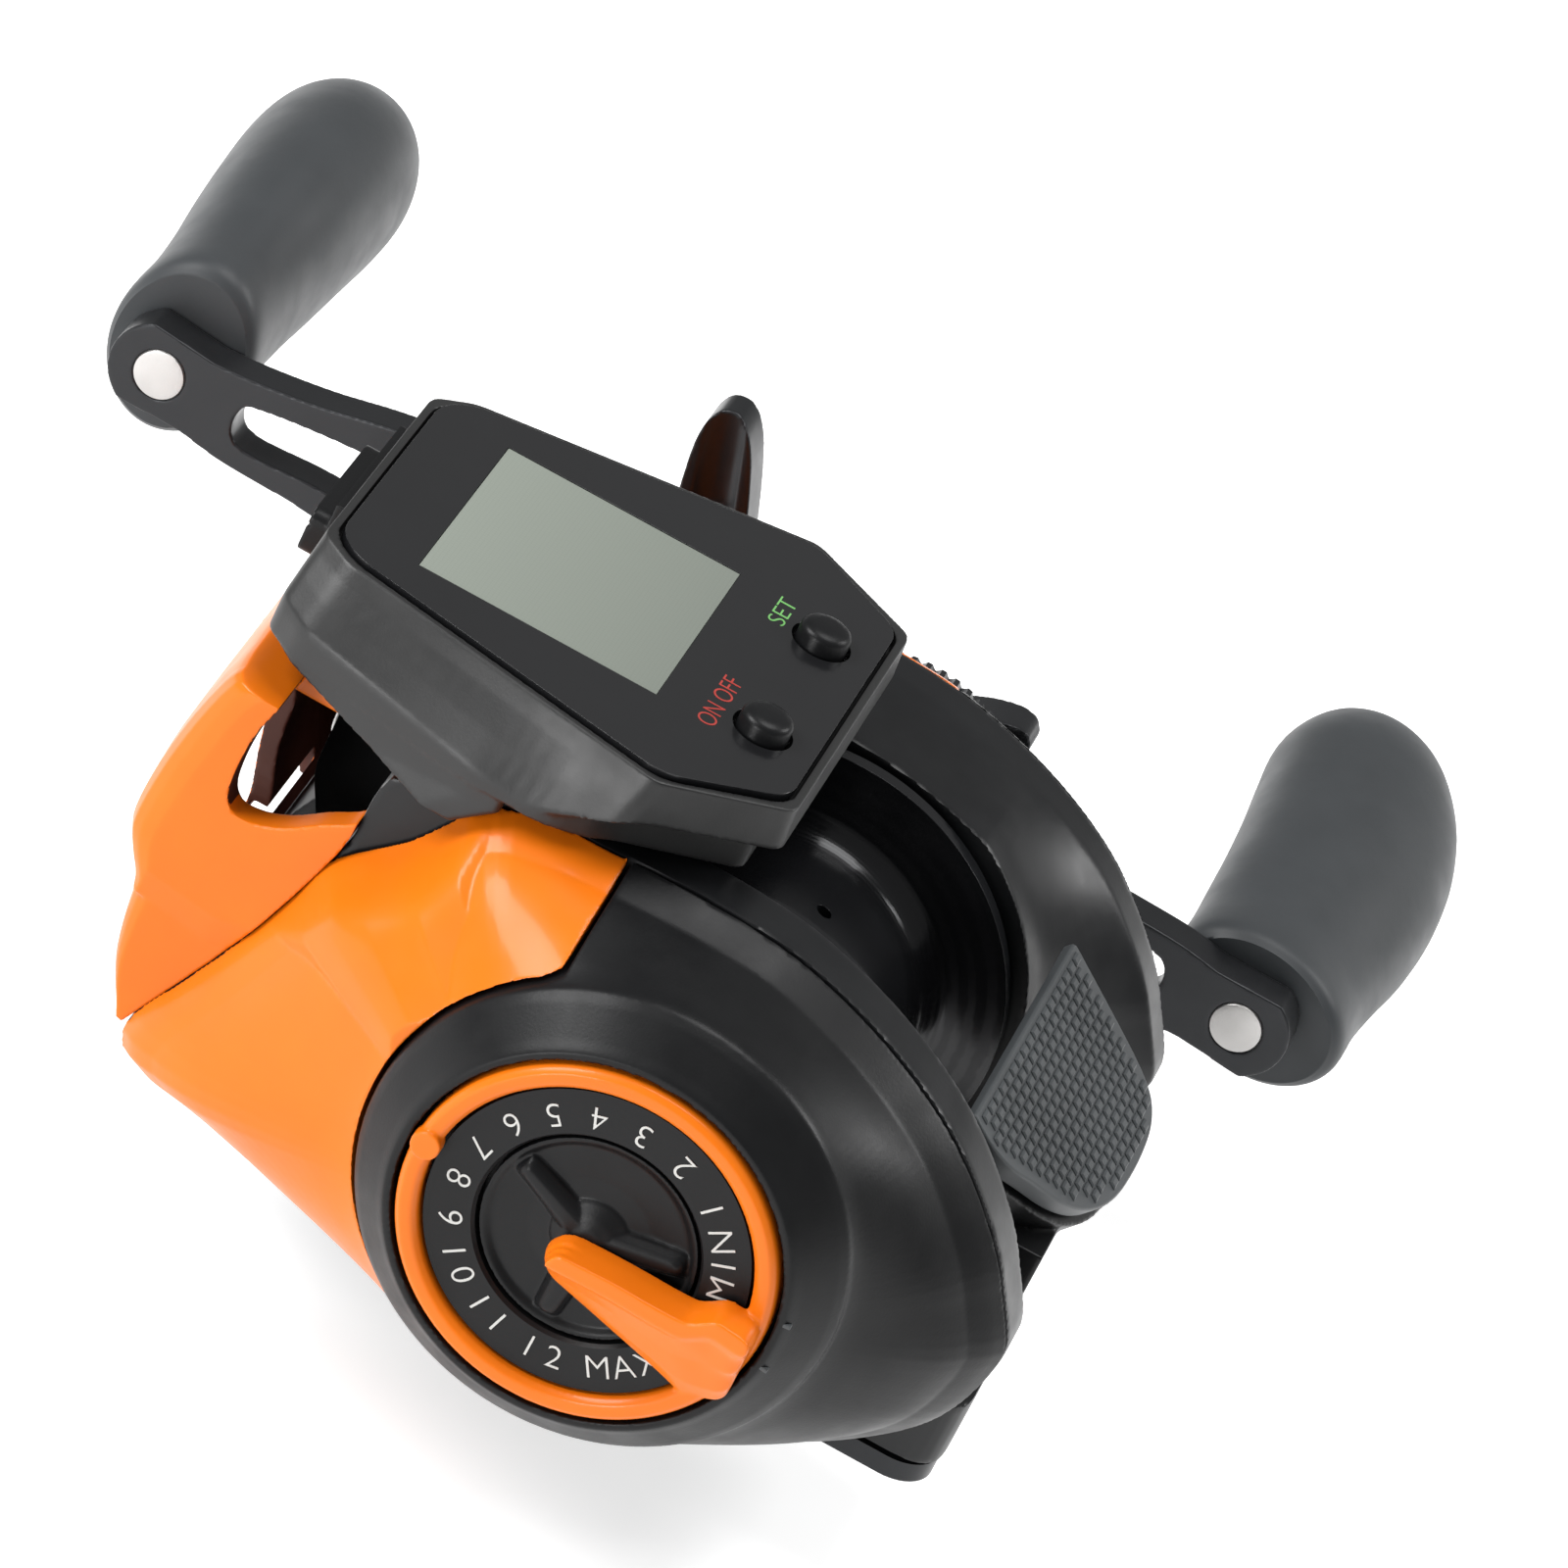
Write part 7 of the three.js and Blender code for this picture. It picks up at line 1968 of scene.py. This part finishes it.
@dataclass
class Knob:
    """A paddle knob, slim on one side and full on the other, swelling towards its end."""

    start: float = 46.8
    length: float = 40.2
    half_width: float = 8
    half_thickness: float = 6.4
    pin_radius: float = 1.6
    end_wall: float = 6
    arm_reach: float = 43.5
    turns: dict[str, float] = field(default_factory=lambda: {"front": 90, "rear": 195})
    shares: tuple[tuple[float, ...], ...] = (
        (0, 0.72, 0.82, 0.74), (0.02, 0.8, 0.92, 0.81), (0.04, 0.82, 0.95, 0.82), (0.14, 0.8, 0.97, 0.8),
        (0.27, 0.8, 1.05, 0.83), (0.4, 0.8, 1.15, 0.9), (0.55, 0.82, 1.2, 0.96), (0.69, 0.86, 1.17, 1),
        (0.8, 0.88, 1.06, 0.985), (0.9, 0.77, 0.84, 0.86), (0.96, 0.58, 0.58, 0.64), (0.99, 0.34, 0.32, 0.38),
        (1, 0.08, 0.07, 0.09))

    def shape(self) -> Piece:
        """The knob with its pin hole."""
        lines = [smooth_line([(share[0], share[k]) for share in self.shares], steps=5) for k in (1, 2, 3)]
        rings = []
        for (along, slim), (_, full), (_, thick) in zip(*lines):
            middle, half = (full - slim) / 2, (full + slim) / 2
            rings.append([(self.start + along * self.length, (middle + u * half) * self.half_width,
                           v * thick * self.half_thickness) for u, v in circle(1, 96)])
        end = self.start + self.length - self.end_wall + SLIP_GAP
        return Bench.cut(Bench.loft("knob", rings), Bench.rod(self.pin_radius + SEAT_GAP, self.start - 1, end,
                                                              steps=48))

    def build(self) -> None:
        """Models both knobs at their places on the arm."""
        for side, name, body in ((1, "front", Body.FRONT_KNOB), (-1, "rear", Body.REAR_KNOB)):
            place = (ARM_PLACE @ Matrix.Translation((0, side * self.arm_reach, 0))
                     @ Matrix.Rotation(math.radians(self.turns[name]), 4, "X"))
            finish_off(self.shape(), f"knob_{name}_grip", RUBBER, f"knob_{name}", body=body, place=place, angle=50)


@dataclass
class Mechanism:
    """The CAD nodes that keep their own shapes, with the finish that each one gets."""

    finishes: dict[str, Finish] = field(default_factory=lambda: {
        "palm_bearing": STEEL, "frame_bearing": STEEL, "end_bearing": STEEL, "one_way_bearing": STEEL,
        "brake_rotor": DARK_STEEL, "magnet_carrier": BLACK, "pinion_gear": BRASS, "worm_gear": BRASS,
        "drive_gear": BRASS, "cross_gear": BRASS, "drive_shaft": STEEL, "drag_washer_1": CARBON,
        "drag_washer_2": DARK_STEEL, "clutch_yoke": DARK_STEEL, "circuit_board": RESIST, "coin_cell": STEEL,
        "display_screw_1": DARK_STEEL, "display_screw_2": DARK_STEEL})

    def dress(self, nodes: dict[str, Piece]) -> None:
        """Paints every node, the hidden ones too."""
        for name, node in nodes.items():
            finish = self.finishes.get(name, BLACK)
            finish.dress(node)
            log.info("%s keeps its CAD shape in %s", name, finish.name)


@dataclass
class Studio:
    """The pale floor, the soft lights and the camera."""

    floor_height: float = -9.8
    floor_size: float = 6.0
    lens: float = 213.75
    camera_place: Spot = (-0.50801, -0.02776, 0.34218)
    camera_degrees: Spot = (56.12253, -22.94392, -72.1256)
    sky: float = 0.3
    target: Spot = (0.01, 0, 0.02)
    lights: dict[str, tuple[Spot, float, float]] = field(default_factory=lambda: {
        "key_light": ((-0.3, 0.85, 0.8), 0.6, 12), "top_light": ((0.15, -0.1, 1.3), 0.8, 10),
        "rim_light": ((0.5, -0.8, 0.7), 0.4, 5), "side_light": ((-0.95, 0.45, 0.2), 0.35, 4.5)})

    def area(self, name: str, place: Spot, size: float, power: float) -> None:
        """Adds a soft light that looks at the reel."""
        bpy.ops.object.light_add(type="AREA", location=place)
        light = bpy.context.active_object
        light.name = name
        light.data.shape = "DISK"
        light.data.size = size
        light.data.energy = power
        light.rotation_euler = (Vector(self.target) - Vector(place)).to_track_quat("-Z", "Y").to_euler()

    def build(self) -> None:
        """Sets the floor, the world, the lights and the camera."""
        bpy.ops.object.select_all(action="DESELECT")
        bpy.ops.mesh.primitive_plane_add(size=self.floor_size, location=(0, 0, self.floor_height * MILLIMETRE))
        floor = bpy.context.active_object
        floor.name = "studio_floor"
        floor.data.materials.append(FLOOR.material())
        world = bpy.data.worlds.new("studio")
        world.use_nodes = True
        sky = world.node_tree.nodes["Background"]
        sky.inputs["Color"].default_value = (1, 1, 1, 1)
        sky.inputs["Strength"].default_value = self.sky
        scene = bpy.context.scene
        scene.world = world
        scene.view_settings.view_transform = "Standard"
        for name, (place, size, power) in self.lights.items():
            self.area(name, place, size, power)
        bpy.ops.object.camera_add(location=self.camera_place,
                                  rotation=tuple(math.radians(a) for a in self.camera_degrees))
        camera = bpy.context.active_object
        camera.name = "main_camera"
        camera.data.lens = self.lens
        camera.data.sensor_width = 36
        camera.data.clip_start = 0.01
        scene.camera = camera


def main() -> None:
    """Builds the reel piece by piece over its frame."""
    logging.basicConfig(level=logging.INFO, format="%(name)s: %(message)s")
    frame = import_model()
    bpy.ops.object.select_all(action="DESELECT")
    Mechanism().dress(frame["nodes"])
    body = BodyShape()
    for group in (Studio(), MainFrame(body), Foot(), PalmSide(body), BrakeDial(), NoseCover(body), HandleSide(body),
                  LineCounter(), SpoolGroup(), LevelWind(), ThumbBar(), Crank(), Knob()):
        group.build()


if __name__ == "__main__":
    main()
